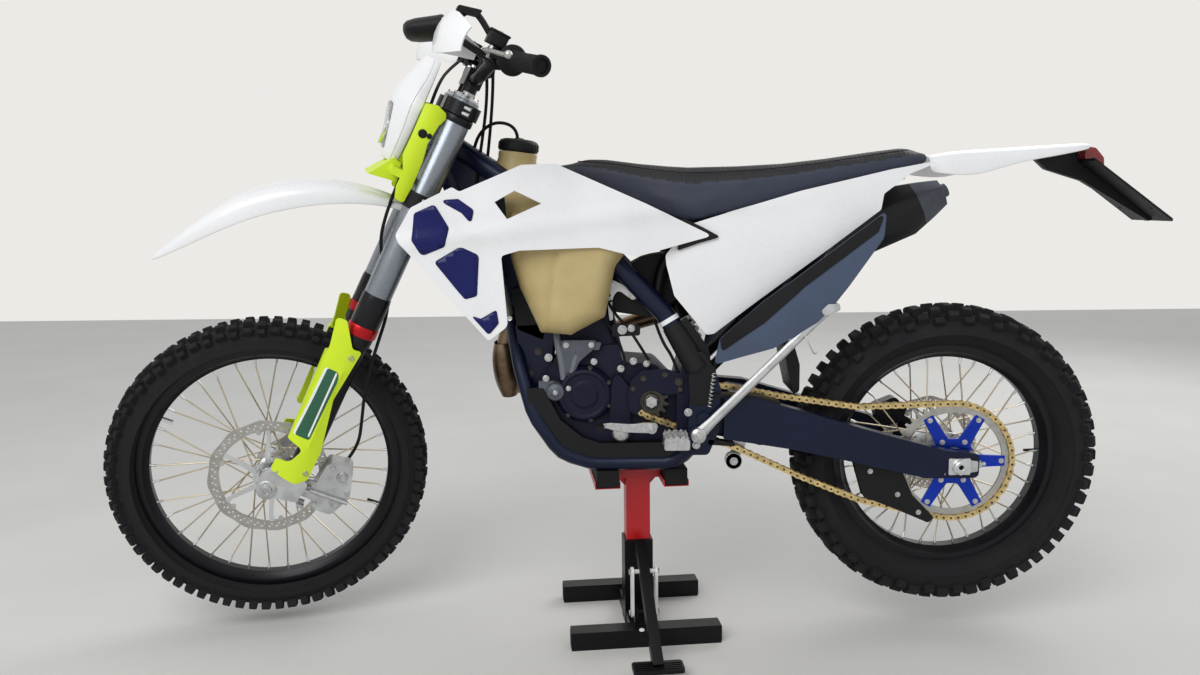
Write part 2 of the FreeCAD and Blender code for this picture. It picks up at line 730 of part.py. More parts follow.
def radiators():
    solids = []
    front_low, front_high = Vector(-302, 0, 702), Vector(-340, 0, 884)
    for side in (-1, 1):
        low, high = sorted((side * 74, side * 140))
        core = slab([(front_low.x, front_low.z), (-262, 720), (-300, 902), (front_high.x, front_high.z)],
                    low, high)
        louvres = []
        for number in range(LOUVRES):
            spot = front_low + (front_high - front_low) * ((number + 1) / (LOUVRES + 1))
            louvres.append(block((spot.x - 7, low + 5, spot.z - 2), (spot.x + 4, high - 5, spot.z + 2)))
        low, high = sorted((side * (S.down_r + S.fit), side * 80))
        tab = slab([(-330, 783), (-296, 783), (-296, 797), (-330, 797)], low, high)
        solids.append(joined([core, tab] + louvres))
    shape_piece("radiators", Part.makeCompound(solids))


# Tank, seat and panels

NECK_TOP = (-251, 0, 1062)


def fuel_tank():
    # Columns: along, top, bottom, half width at the top, half width at the shoulder
    rows = [(-322, 980, 930, 46, 70), (-270, 1016, 900, 52, 112), (-160, 1006, 880, 60, 126),
            (-40, 976, 872, 56, 120), (60, 940, 880, 44, 92)]
    sections = []
    for x, top, low, wide, shoulder in rows:
        middle = (top + low) / 2
        sections.append([(x, -wide, top), (x, -shoulder, middle), (x, -shoulder, low),
                         (x, shoulder, low), (x, shoulder, middle), (x, wide, top)])
    lobe_rows = [(-262, 935, 10), (-262, 840, 15), (-243, 775, 15), (-200, 682, 18), (-138, 676, 18),
                 (-64, 716, 15), (-44, 818, 10), (-20, 850, 10), (-20, 935, 10)]
    lobe = slab(lobe_rows, 84, 150)
    neck = rod((-246, 0, 985), NECK_TOP, S.neck_r, 24)
    shape = joined([ruled(sections), lobe, other_side(lobe), neck])
    for side in (-1, 1):
        shape = shape.cut(spar(side, S.fit))
    shape_piece("fuel_tank", shape)


def filler_cap():
    low, high = NECK_TOP[2] + S.fit + 2.5, NECK_TOP[2] + 26
    shape_piece("filler_cap", rod((-251, 0, low), (-251, 0, high), S.neck_r + 4, 24))


def seat():
    # Columns: along, top, bottom, half width at the top, half width at the bottom
    rows = [(-168, 1038, 1016, 34, 40), (-60, 1040, 990, 56, 78), (80, 1024, 952, 74, 102),
            (217, 1022, 935, 92, 116), (400, 1036, 978, 104, 122), (560, 1056, 1016, 96, 112),
            (606, 1050, 1030, 84, 96)]
    sections = []
    for x, top, low, wide, foot in rows:
        edge = top - (top - low) * 0.35
        sections.append([(x, -wide, top), (x, -foot, edge), (x, -foot, low),
                         (x, foot, low), (x, foot, edge), (x, wide, top)])
    shape_piece("seat", ruled(sections))


def curved_panel(outline, plan, tall, holes=()):
    """A side panel: its side outline kept from a strip that follows the plan line."""
    low, high = tall
    outer = [(x, y) for x, y in plan]
    inner = [(x, y - float(S.skin)) for x, y in reversed(plan)]
    strip = slab(outer + inner, low, high, "Z")
    face = slab(outline, 0, 400)
    for hole in holes:
        face = face.cut(slab(hole, -1, 401))
    return strip.common(face)


def shrouds():
    outline = [(-302, 676, 6), (-262, 706, 20), (-272, 848, 8), (-236, 858, 6), (-77, 861, 6),
               (0, 841, 6), (156, 881, 4), (20, 948, 20), (-162, 1030, 12), (-230, 1028, 12),
               (-350, 976, 6), (-364, 985, 6), (-446, 946, 8), (-478, 893, 8), (-472, 877, 6)]
    window = [(-280, 955, 6), (-241, 975, 8), (-190, 950, 6), (-258, 921, 6)]
    plan = [(-500, 214), (-400, 206), (-270, 186), (-120, 160), (-20, 153.8), (40, 140), (110, 125.3),
            (200, 124.9)]
    panel = curved_panel(outline, plan, (640, 1060), [window])
    shape_piece("shrouds", both_sides(panel))


# Columns: along, distance from the middle
LEFT_PLAN = [(40, 122), (150, 121), (217, 119.8), (400, 125.8), (560, 115.8), (660, 100)]
RIGHT_PLAN = [(40, 122), (180, 121), (260, 160), (350, 188), (500, 192), (660, 140)]


def side_panels():
    front = [(112, 905, 6), (60, 842, 8), (62, 822, 8)]
    left_low = [(78, 758, 10), (146, 674, 6), (162, 676, 6), (256, 748, 10)]
    right_low = [(78, 768, 10), (168, 752, 12), (192, 700, 6), (256, 748, 10)]
    rear = [(501, 930, 6), (506, 962, 6), (560, 1002, 8), (632, 1030, 8), (520, 1016, 30), (217, 945, 30)]
    panels = [other_side(curved_panel(front + left_low + rear, LEFT_PLAN, (640, 1060))),
              curved_panel(front + right_low + rear, RIGHT_PLAN, (640, 1060))]
    shape_piece("side_panels", Part.makeCompound(panels))


def subframe_covers():
    outline = [(160, 612, 5), (282, 648, 20), (370, 702, 12), (398, 732, 12), (431, 776, 20),
               (498, 874, 20), (502, 930.37, 6), (262, 752.08, 10), (172, 668, 6)]
    left = [(120, 124), (217, 134), (320, 156), (560, 158)]
    right = [(120, 124), (180, 134), (260, 172), (330, 204), (560, 206)]
    covers = []
    for plan, start, low, high in ((left, 270, 118, 150), (right, 352, 184.6, 204)):
        lip = [(start, 754.02 + (start - 270) * 0.7429), (490, 917.5), (490, 921.45),
               (start, 758.02 + (start - 270) * 0.7429)]
        covers.append(joined([curved_panel(outline, plan, (590, 960)), slab(lip, low, high)]))
    covers[0] = other_side(covers[0])
    shape_piece("subframe_covers", Part.makeCompound(covers))


def fender_section(x, top, wide, skirt, slope):
    """Channel section of a fender, its skirts hanging square to the fender's run."""
    t = float(S.skin)
    down = Vector(math.sin(slope), 0, -math.cos(slope))
    middle = Vector(x, 0, top)
    drop = skirt * 0.3
    spots = []
    for w, d in ((-wide, skirt), (-wide * 0.96, drop), (-wide * 0.6, 0), (wide * 0.6, 0),
                 (wide * 0.96, drop), (wide, skirt), (wide - t, skirt), (wide * 0.96 - t, drop + t),
                 (wide * 0.6 - t, t), (-wide * 0.6 + t, t), (-wide * 0.96 + t, drop + t),
                 (-wide + t, skirt)):
        spots.append(middle + Vector(0, w, 0) + down * d)
    return spots


def front_fender():
    under = S.lower_clamp_low - S.fit
    # Columns: ahead, top, half width, skirt depth, slope in degrees
    rows = [(-447, -374, 42, 14, 44), (-410, -296, 62, 30, 42), (-352, -196, 78, 48, 40),
            (-286, -132, 86, 52, 32), (-193, -80, 84, 44, 18), (-100, -60, 74, 26, 6),
            (-38, under, 62, 14, 0), (42, under, 48, 12, 0)]
    sections = [fender_section(x, z, wide, skirt, math.radians(slope)) for x, z, wide, skirt, slope in rows]
    shape_piece("front_fender", ruled(sections), STEERED)


def rear_fender():
    # Columns: along, top, half width, skirt depth, slope in degrees
    rows = [(606.4, 1042, 90, 36, 0), (650, 1048, 94, 44, 2), (752, 1054, 92, 44, 2),
            (870, 1060, 84, 30, 2), (945, 1062, 70, 14, 4)]
    sections = [fender_section(x, z, wide, skirt, -math.radians(slope)) for x, z, wide, skirt, slope in rows]
    shape_piece("rear_fender", ruled(sections))


def plate_bracket():
    rows = [(832, 1054.2, 2), (944, 1058, 2), (948, 1030, 3), (1116, 904, 3), (1106, 897, 3),
            (958, 985, 20), (880, 1010, 20)]
    web = slab(rows, -8, 8)
    top = [(948, 1024), (948, 1030), (1116, 904), (1116, 898)]
    body = joined([web, slab(top, -80, 80)])
    for side in (-1, 1):
        body = body.cut(rod((1060, side * 62, 900), (1100, side * 62, 953.3), S.plate_bolt_r))
    shape_piece("plate_bracket", body)


def tail_light():
    rows = [(948.4, 1030.4, 1), (948.4, 1057, 2), (972, 1053, 6), (990, 1032, 6), (992, 998, 2)]
    shape_piece("tail_light", slab(rows, -34, 34))


# Rear end

def swingarm():
    inner, outer = S.arm_inner, S.arm_inner + S.arm_thick
    tail = S.rear_axle_x
    side_rows = [(S.pivot_x - 14, S.pivot_z - 34, 12), (S.pivot_x - 14, S.pivot_z + 36, 12),
                 (S.pivot_x + 24, S.pivot_z + 52, 12), (250, 541, 20), (390, 500, 20), (500, 466, 20),
                 (tail - 30, S.rear_axle_z + 34, 10), (tail + 42, S.rear_axle_z + 26, 12),
                 (tail + 42, S.rear_axle_z - 26, 12), (tail - 70, S.rear_axle_z - 26, 20),
                 (453, 402, 30), (327, 430, 30)]
    arm = slab(side_rows, inner, outer)
    notch = block((S.pivot_x - 40, S.plate_y - 1, S.pivot_z - 90), (S.pivot_x + 42, 200, S.pivot_z + 90))
    slot = slab([(tail - 16, S.rear_axle_z - 14, 3), (tail + 34, S.rear_axle_z - 14, 3),
                 (tail + 34, S.rear_axle_z + 14, 3), (tail - 16, S.rear_axle_z + 14, 3)], 0, 200)
    arm = arm.cut(notch).cut(slot)
    boss = rod((S.pivot_x, S.arm_inner - 34, S.pivot_z), (S.pivot_x, S.plate_y - 1, S.pivot_z),
               S.pivot_boss_r, 16)
    half = joined([arm, boss])
    cross = slab([(S.pivot_x + 60, 452, 12), (S.pivot_x + 130, 430, 12), (S.pivot_x + 150, 480, 14),
                  (S.pivot_x + 128, 528, 12), (S.pivot_x + 60, 540, 12)], -S.arm_inner - 2, S.arm_inner + 2)
    shape = joined([half, other_side(half), cross])
    bore = rod((S.pivot_x, -200, S.pivot_z), (S.pivot_x, 200, S.pivot_z), S.axle_r + S.fit)
    shape_piece("swingarm", shape.cut(bore))


def pivot_shaft():
    half = S.plate_y + S.plate_wide
    shaft = rod((S.pivot_x, -half - 4, S.pivot_z), (S.pivot_x, half + 4, S.pivot_z), S.axle_r)
    heads = []
    for side in (-1, 1):
        heads.append(rod((S.pivot_x, side * (half + S.fit), S.pivot_z),
                         (S.pivot_x, side * (half + 8), S.pivot_z), 14, 6))
    return joined([shaft] + heads)


def rear_axle():
    outer = S.arm_inner + S.arm_thick
    shaft = rod((0, -S.axle_half, 0), (0, S.axle_half, 0), S.axle_r)
    solids = [shaft]
    for side in (-1, 1):
        low, high = sorted((side * (outer + S.fit), side * (outer + 6)))
        solids.append(slab([(-24, -18, 4), (22, -18, 4), (22, 18, 4), (-24, 18, 4)], low, high))
        low, high = sorted((side * (outer + 6), side * (outer + 13)))
        solids.append(rod((0, low, 0), (0, high, 0), 15, 6))
        low, high = sorted((side * (S.rear_hub_half + S.fit), side * (S.arm_inner - S.fit)))
        solids.append(rod((0, low, 0), (0, high, 0), 16))
    shape = joined(solids)
    shape = shape.cut(rod((0, -S.axle_half - 1, 0), (0, S.axle_half + 1, 0), 5))
    shape_piece("rear_axle", shape, REAR_WHEEL)


def shock():
    top, low = Vector(70, 0, 768), Vector(176, 0, 492)
    along = (low - top).normalize()
    # Columns: start and end along the shock, radius
    rows = [(0, 36, 13), (34, 62, 24), (60, 66, 33), (208, 216, 33), (214, 292, 9)]
    rows += [(at, at + 9, 31) for at in range(74, 200, 17)]
    solids = [rod(top + along * start, top + along * end, radius, 12) for start, end, radius in rows]
    body = rod(top + along * 64, top + along * 212, 20, 12)
    eye = rod(low - Vector(0, 17, 0), low + Vector(0, 17, 0), 17, 12)
    mount = rod(top - Vector(0, 14.7, 0), top + Vector(0, 14.7, 0), 18, 12)
    shape_piece("shock", joined(solids + [body, eye, mount, link_plates()]))


def link_plates():
    rows = [(150, 452, 8), (200, 436, 8), (196, 470, 8), (176, 508, 8), (158, 500, 8)]
    plates = []
    for side in (-1, 1):
        low, high = sorted((side * 17, side * 23))
        plates.append(slab(rows, low, high))
    plates.append(rod((172, -23, 458), (172, 23, 458), 8, 8))
    return joined(plates)


def rear_caliper():
    y = S.rear_disc_y
    rows = [(-118, 40, 10), (-70, 52, 10), (-56, 84, 10), (-84, 112, 12), (-134, 92, 12)]
    caliper = slab(rows, y - 20, y + 15).cut(disc_slot((0, 0), y, S.rear_disc_r))
    bracket = slab([(-22, -22, 6), (24, -22, 6), (24, 18, 6), (-50, 60, 10), (-76, 84, 10), (-90, 66, 10)],
                   S.rear_hub_half + S.fit, y + 15)
    bracket = bracket.cut(rod((0, 0, 0), (0, 200, 0), 16 + S.fit))
    shape_piece("rear_caliper", joined([caliper, bracket]), REAR_WHEEL)


# Chain drive

def pitch_radius(teeth):
    return float(S.chain_pitch) / (2 * math.sin(math.pi / float(teeth)))


REAR_PITCH = pitch_radius(S.rear_teeth)
FRONT_PITCH = pitch_radius(S.front_teeth)


def sprocket_shape(teeth, pitch, bore, sides):
    """Toothed disc about Y, in the chain's plane."""
    teeth = int(teeth)
    root = pitch - float(S.roller_r) - 0.3
    tip = pitch + 4.0
    spots = []
    for tooth in range(teeth):
        for share, radius in ((0.0, root), (0.3, root), (0.5, tip), (0.72, tip)):
            angle = 2 * math.pi * (tooth + share) / teeth
            spots.append((radius * math.cos(angle), radius * math.sin(angle)))
    half = S.sprocket_thick / 2
    disc = slab(spots, -half, half)
    return disc.cut(rod((0, -20, 0), (0, 20, 0), bore, sides))


def rear_sprocket():
    ring = sprocket_shape(S.rear_teeth, REAR_PITCH, REAR_PITCH - 26, 36)
    arms = []
    half = S.sprocket_thick / 2
    for turn_by in range(6):
        arm = block((44, -half, -13), (REAR_PITCH - 20, half, 13))
        arm.rotate(Vector(0, 0, 0), Vector(0, 1, 0), 60 * turn_by)
        arms.append(arm)
    bore = rod((0, -20, 0), (0, 20, 0), S.rear_hub_r + S.fit, HUB_SIDES)
    centre = rod((0, -half, 0), (0, half, 0), 54, 24).cut(bore)
    shape = joined([ring, centre] + arms)
    place = REAR_WHEEL.multiply(Placement(Vector(0, -S.chain_y, 0), Rotation()))
    shape_piece("rear_sprocket", shape, place)


def drive_sprocket():
    disc = sprocket_shape(S.front_teeth, FRONT_PITCH, 4, 6)
    shaft = rod((0, -8, 0), (0, S.chain_y - 70.4, 0), 13, 12)
    shape = joined([disc, shaft])
    place = Placement(Vector(S.drive_x, -S.chain_y, S.drive_z), Rotation())
    shape_piece("drive_sprocket", shape, place)


def chain():
    front = Vector(S.drive_x, 0, S.drive_z)
    rear = Vector(S.rear_axle_x, 0, S.rear_axle_z)
    half = float(S.plate_height) / 2
    # Columns: along, height of the runs between the sprockets
    upper = [(190, 560), (300, 538), (470, 512)]
    lower = [(214, 424), (350, 360), (480, 306)]
    strips = []

    def tangent(centre, radius, spot, sense):
        """Where a line from spot touches the circle."""
        away = Vector(spot[0], 0, spot[1]) - centre
        swing = math.acos(radius / away.Length)
        angle = math.atan2(away.z, away.x) + sense * swing
        return Vector(centre.x + radius * math.cos(angle), 0, centre.z + radius * math.sin(angle))

    def wrapped(first, middle, last):
        """Corners of the links that lie round a sprocket."""
        arc = Part.Arc(first, middle, last).toShape()
        return arc.discretize(int(arc.Length / float(S.chain_pitch)) + 1)

    def loop(shift):
        """Closed wire at a distance from the chain's pitch line."""
        one, two = FRONT_PITCH + shift, REAR_PITCH + shift
        up = [(x, z + shift) for x, z in upper]
        down = [(x, z - shift) for x, z in lower]
        a = tangent(front, one, up[0], 1)
        b = tangent(rear, two, up[-1], -1)
        c = tangent(rear, two, down[-1], 1)
        d = tangent(front, one, down[0], -1)
        spots = [a] + [Vector(x, 0, z) for x, z in up] + [b]
        spots += wrapped(b, rear + Vector(two, 0, 0), c)[1:]
        spots += [Vector(x, 0, z) for x, z in reversed(down)]
        spots += wrapped(d, front - Vector(one, 0, 0), a)
        return Part.makePolygon(spots)

    outer, inner = loop(half), loop(-half)
    for low in (S.plate_gap / 2, -S.plate_gap / 2 - S.plate_thick):
        band = Part.Face(outer).extrude(Vector(0, float(S.plate_thick), 0))
        band = band.cut(Part.Face(inner).extrude(Vector(0, float(S.plate_thick), 0)))
        band.translate(Vector(0, float(low), 0))
        strips.append(band)
    reach = S.plate_gap / 2 + S.plate_thick / 2
    pins = []
    for rows in (upper, lower):
        for (x1, z1), (x2, z2) in zip(rows, rows[1:]):
            for share in (0.0, 0.5):
                x, z = x1 + (x2 - x1) * share, z1 + (z2 - z1) * share
                pins.append(rod((x, -reach, z), (x, reach, z), S.roller_r, 6))
    shape = joined(strips + pins)
    shape_piece("chain", shape, Placement(Vector(0, -S.chain_y, 0), Rotation()))


def chain_guide():
    rows = [(462, 400, 6), (486, 316, 8), (560, 286, 8), (628, 256, 8), (640, 268, 6), (592, 318, 12),
            (560, 392, 10)]
    line = -S.chain_y
    near, far = S.plate_gap / 2 + S.plate_thick + 1, S.plate_gap / 2 + S.plate_thick + 4
    cheeks = [slab(rows, line - far, line - near), slab(rows, line + near, line + far)]
    bridge = slab([(468, 382, 4), (536, 378, 4), (536, 362, 4), (472, 362, 4)], line - far, line + far)
    lug = slab([(472, 384, 4), (550, 378, 4), (550, 390, 4), (472, 398, 4)],
               -S.arm_inner + S.fit, line - near)
    guide = joined(cheeks + [bridge, lug])
    roller = rod((207, line - 10, 397), (207, line + 10, 397), 18, 16)
    pin = rod((207, line, 397), (207, line + 13, 397), 6, 8)
    hanger = slab([(196, 392, 4), (216, 386, 6), (240, 439.1), (215, 447)], line + 11, line + 17)
    shape_piece("chain_guide", Part.makeCompound([guide, joined([roller, pin, hanger])]))


# Controls and stand of the bike

def footpegs():
    rows = [(52, 446, 4), (104, 446, 4), (104, 474, 4), (52, 474, 4)]
    peg = slab(rows, S.plate_y + S.plate_wide + 22, S.plate_y + S.plate_wide + 92)
    arm = slab([(74, 450, 4), (105.3, 450), (105.3, 470), (74, 470, 4)],
               S.plate_y + 2, S.plate_y + S.plate_wide + 24)
    shape_piece("footpegs", both_sides(joined([peg, arm])))


def shift_lever():
    lever = bar([(18, -112, 475), (-30, -120, 480), (-74, -128, 490)], 9, 14, 40)
    tip = rod((-74, -124, 490), (-74, -158, 490), 8, 8)
    shaft = rod((18, -70.3, 475), (18, -118, 475), 7, 8)
    return joined([lever, tip, shaft])


def brake_pedal():
    lever = bar([(44, 134, RAIL_Z + 2), (-30, 134, 418), (-120, 140, 446)], 9, 14, 40)
    tip = slab([(-146, 128, 4), (-112, 128, 4), (-112, 158, 4), (-146, 158, 4)], 444, 452, "Z")
    boss = rod((44, S.rail_y + S.rail_r + S.fit, RAIL_Z + 2), (44, 142, RAIL_Z + 2), 9, 8)
    return joined([lever, tip, boss])


def foot_controls():
    shape_piece("foot_controls", Part.makeCompound([shift_lever(), brake_pedal()]))


SIDE_PIVOT = Vector(126, -139, 466)
SIDE_AXIS = Vector(-0.049, 0.9945, -0.0923).normalize()


def side_stand():
    tip = Vector(400, -139, 736)
    along = (tip - SIDE_PIVOT).normalize()
    leg = rod(SIDE_PIVOT + along * 8, tip, 10, 8)
    boss = rod(SIDE_PIVOT - SIDE_AXIS * 12, SIDE_PIVOT + SIDE_AXIS * 16.8, 15)
    foot = slab([(tip.x - 8, tip.z - 26, 6), (tip.x + 18, tip.z - 4, 6), (tip.x + 10, tip.z + 8, 6),
                 (tip.x - 22, tip.z - 14, 6)], -150, -126)
    shape_piece("side_stand", joined([leg, boss, foot]))


# Steering group, in the steering axis's own frame

def leg_spot(side, height):
    return (-S.clamp_offset, side * S.leg_spread, height)


def clamp(low, high, radius):
    """Plate that holds both fork legs."""
    solids = []
    for side in (-1, 1):
        solids.append(rod(leg_spot(side, low), leg_spot(side, high), radius, 20))
    half = S.leg_spread
    solids.append(slab([(-28, -half, 4), (24, -half * 0.5, 12), (34, 0, 20), (24, half * 0.5, 12),
                        (-28, half, 4), (-40, half * 0.4, 12), (-40, -half * 0.4, 12)], low, high, "Z"))
    return joined(solids)


def clamps():
    stem = rod((0, 0, S.lower_clamp_low), (0, 0, S.upper_clamp_high), S.stem_r)
    solids = [clamp(S.lower_clamp_low, S.lower_clamp_high, S.clamp_r), stem,
              clamp(S.upper_clamp_low, S.upper_clamp_high, S.clamp_r)]
    for side in (-1, 1):
        solids.append(rod((-4, side * 48, S.upper_clamp_high - 4), (-4, side * 48, S.bar_height), 15, 12))
    solids.append(block((-22, -60, S.bar_height - 18), (14, 60, S.bar_height + S.bar_r + 8)))
    shape = joined(solids)
    for side in (-1, 1):
        low, high = S.lower_clamp_low - 5, S.upper_clamp_high + 5
        shape = shape.cut(rod(leg_spot(side, low), leg_spot(side, high), S.outer_r + S.fit))
    shape = shape.cut(pipe(bar_spots(), S.bar_r + S.fit, 70))
    shape_piece("fork_clamps", shape, STEERED)


def fork():
    outers, inners = [], []
    for side in (-1, 1):
        outers.append(rod(leg_spot(side, S.outer_low), leg_spot(side, S.outer_high), S.outer_r))
        inner = rod(leg_spot(side, -S.axle_drop + 26), leg_spot(side, S.outer_low - S.fit), S.inner_r)
        low = -S.axle_drop
        lug_rows = [(AXLE_X - 20, low - 18, 14), (20 - S.clamp_offset, low - 6, 10),
                    (28 - S.clamp_offset, low + 40, 10), (-S.clamp_offset - 26, low + 70, 10),
                    (AXLE_X - 22, low + 14, 14)]
        near, far = sorted((side * 84, side * (S.guard_y - S.fit)))
        lug = slab(lug_rows, near, far)
        lug = lug.cut(rod((AXLE_X, -200, low), (AXLE_X, 200, low), S.axle_r + S.fit))
        inners.append(joined([inner, lug]))
    shape_piece("fork_outers", Part.makeCompound(outers), STEERED)
    shape_piece("fork_lowers", Part.makeCompound(inners), STEERED)


def front_axle():
    shaft = rod((0, -S.guard_y + 1, 0), (0, S.guard_y - 1, 0), S.axle_r)
    solids = [shaft]
    for side in (-1, 1):
        low, high = sorted((side * (S.front_hub_half + S.fit), side * (84 - S.fit)))
        solids.append(rod((0, low, 0), (0, high, 0), 14))
    shape_piece("front_axle", joined(solids), FRONT_WHEEL)


def fork_guards():
    rows = [(-60, -322, 8), (-36, -322, 8), (2, -372, 10), (-6, -490, 20), (16, -610, 20), (14, -678, 6),
            (-8, -694, 10), (-66, -684, 8), (-64, -656, 3), (-36, -652, 16), (-20, -616, 10),
            (-60, -604, 5), (-54, -506, 10), (-62, -400, 10)]
    outer = slab(rows, S.guard_y, S.guard_y + 4)
    front = slab([(-62, -400, 6), (-50, -400, 4), (-44, -600, 4), (-58, -600, 6)], 92, S.guard_y + 1)
    clear = rod(leg_spot(1, -800), leg_spot(1, -300), S.inner_r + 3, 16)
    guard = joined([outer, front]).cut(clear)
    shape_piece("fork_guards", both_sides(guard), STEERED)


def disc_slot(centre, side_y, radius):
    """Room for a brake disc inside its caliper."""
    half = S.disc_thick / 2 + S.disc_gap
    return rod((centre[0], side_y - half, centre[1]), (centre[0], side_y + half, centre[1]),
               radius + 2 * S.disc_gap, 36)


def front_caliper():
    y = -S.front_disc_y
    rows = [(44, -640, 12), (98, -632, 14), (118, -700, 16), (96, -752, 16), (56, -752, 12), (36, -708, 8)]
    ear = slab([(13.6, -730, 2), (60, -736, 2), (60, -690, 2), (20.4, -692, 2)], y - 40, y - 29)
    caliper = joined([slab(rows, y - 40, y + 17), ear])
    caliper = caliper.cut(disc_slot((AXLE_X, -S.axle_drop), y, S.front_disc_r))
    shape_piece("front_caliper", caliper, STEERED)


BAR_X = -4.0


def bar_spots():
    low = float(S.bar_height)
    high = low + float(S.bar_rise)
    half = float(S.bar_half)
    return [(BAR_X + S.bar_sweep, -half, high), (BAR_X + 14, -half + 170, high - 6), (BAR_X, -100, low),
            (BAR_X, 100, low), (BAR_X + 14, half - 170, high - 6), (BAR_X + S.bar_sweep, half, high)]


def handlebar():
    shape_piece("handlebar", pipe(bar_spots(), S.bar_r, 70), STEERED)


def grips():
    spots = [vec(spot) for spot in bar_spots()]
    along = (spots[1] - spots[0]).normalize()
    start = spots[0] - along * 4
    grip = rod(start, start + along * float(S.grip_length), S.grip_r)
    flange = rod(start + along * float(S.grip_length), start + along * (float(S.grip_length) + 8), 28)
    tube = rod(start + along * (4 - float(S.fit)), start + along * 200, S.bar_r + S.fit, TUBE_SIDES)
    left = joined([grip, flange]).cut(tube)
    shape_piece("grips", both_sides(left), STEERED)


def hand_guards():
    spots = [vec(spot) for spot in bar_spots()]
    # Columns: ahead, in from the bar's end, half height
    rows = [(-40, 195, 20), (-96, 165, 36), (-116, 100, 48), (-104, 34, 44), (-78, 0, 26)]
    sections = []
    middle = float(S.bar_height + S.bar_rise) - 4
    half = float(S.bar_half)
    for x, inward, tall in rows:
        y = half - inward
        sections.append([(x, y, middle - tall), (x, y, middle + tall), (x + 5, y - 2, middle + tall),
                         (x + 5, y - 2, middle - tall)])
    shield = ruled(sections)
    mount = spots[4]
    arm = bar([(mount.x, half - 186, mount.z - 2), (-76, half - 177, mount.z - 2)], 12, 14)
    collar = rod((mount.x, half - 198, mount.z - 4), (mount.x, half - 174, mount.z - 4), 19, 12)
    shape = joined([shield, arm, collar])
    shape = shape.cut(pipe(bar_spots(), S.bar_r + S.fit, 70))
    shape_piece("hand_guards", both_sides(Part.makeCompound(shape.Solids)), STEERED)


def mask():
    # Columns: height, half width, front, rear
    rows = [(20, 62, -118, -84), (80, 96, -134, -80), (140, 104, -146, -80), (200, 78, -128, -80),
            (242, 46, -112, -84)]
    t = float(S.skin)
    sections = []
    for z, wide, front, rear in rows:
        sections.append([(rear, -wide, z), (front + 24, -wide + 2, z), (front, -wide * 0.6, z),
                         (front, wide * 0.6, z), (front + 24, wide - 2, z), (rear, wide, z),
                         (rear, wide - t, z), (front + 24 + t, wide - 2 - t, z),
                         (front + t, wide * 0.6 - t, z),
                         (front + t, -wide * 0.6 + t, z), (front + 24 + t, -wide + 2 + t, z),
                         (rear, -wide + t, z)])
    shell = ruled(sections)
    opening = slab([(-44, 30, 10), (44, 30, 10), (54, 122, 20), (-54, 122, 20)], -200, -100, "X")
    shape_piece("headlight_mask", shell.cut(opening), STEERED)
    gap = float(S.fit)
    lens = slab([(-44 + gap, 30 + gap, 10), (44 - gap, 30 + gap, 10), (54 - gap, 122 - gap, 20),
                 (-54 + gap, 122 - gap, 20)], -150, -112, "X")
    back = slab([(-40, 34, 14), (40, 34, 14), (44, 108, 16), (-44, 108, 16)], -112, -72, "X")
    shape_piece("headlight", joined([lens, back]), STEERED)


def mask_brackets():
    rows = [(-79.7, 74, 6), (-79.7, 150, 5), (-54, 155, 5), (-30, 148, 5), (-36, 118, 5), (-42, 78, 5),
            (-38, 40, 5), (-36, -14, 3), (-40, -52, 4), (-62, -50, 4), (-68, -26, 5), (-66, 6, 5),
            (-80, 38, 10)]
    side = slab(rows, 88, 132)
    side = side.cut(rod(leg_spot(1, -100), leg_spot(1, 200), S.outer_r + S.fit))
    side = side.cut(clamp(S.lower_clamp_low - S.fit, S.lower_clamp_high + S.fit, S.clamp_r + S.fit))
    arm = slab([(-88, -8, 3), (-58, -8, 3), (-58, 8, 3), (-88, 8, 3)], 56, 90)
    chin = slab([(-132, -32, 5), (-92, 16, 5), (-74, 12, 3), (-72, -24, 5)], -60, 60)
    shape_piece("mask_brackets", joined([chin, side, arm, other_side(side), other_side(arm)]), STEERED)


# Wheels

def faceted(rows, sides, grow):
    """Ring about Y with flat sides, from (across, radius) corners; grow makes its corners stand out."""
    rings = []
    for number in range(sides):
        angle = 2 * math.pi * (number + 0.5) / sides
        rings.append([Vector(float(r) * grow * math.sin(angle), float(y), float(r) * grow * math.cos(angle))
                      for y, r in rows])
    faces = []
    for one, two in zip(rings, rings[1:] + rings[:1]):
        for i, spot in enumerate(one):
            j = (i + 1) % len(one)
            faces.append(Part.Face(Part.makePolygon([spot, one[j], two[j], two[i], spot])))
    solid = Part.makeSolid(Part.makeShell(faces))
    if solid.Volume < 0:
        solid.reverse()
    return solid


def lug(length, wide, tall, across, radius, lean, angle):
    """Tread block with drawn-in sides: its foot is at a radius, lean tips it outwards, in degrees."""
    rings = []
    for shrink, height in ((1.0, -6.0), (0.82, float(tall))):
        a, b = length * shrink / 2, wide * shrink / 2
        rings.append([(-a, -b, height), (a, -b, height), (a, b, height), (-a, b, height)])
    block = ruled(rings)
    block.rotate(Vector(0, 0, 0), Vector(1, 0, 0), -lean)
    block.translate(Vector(0, float(across), float(radius)))
    block.rotate(Vector(0, 0, 0), Vector(0, 1, 0), angle)
    return block


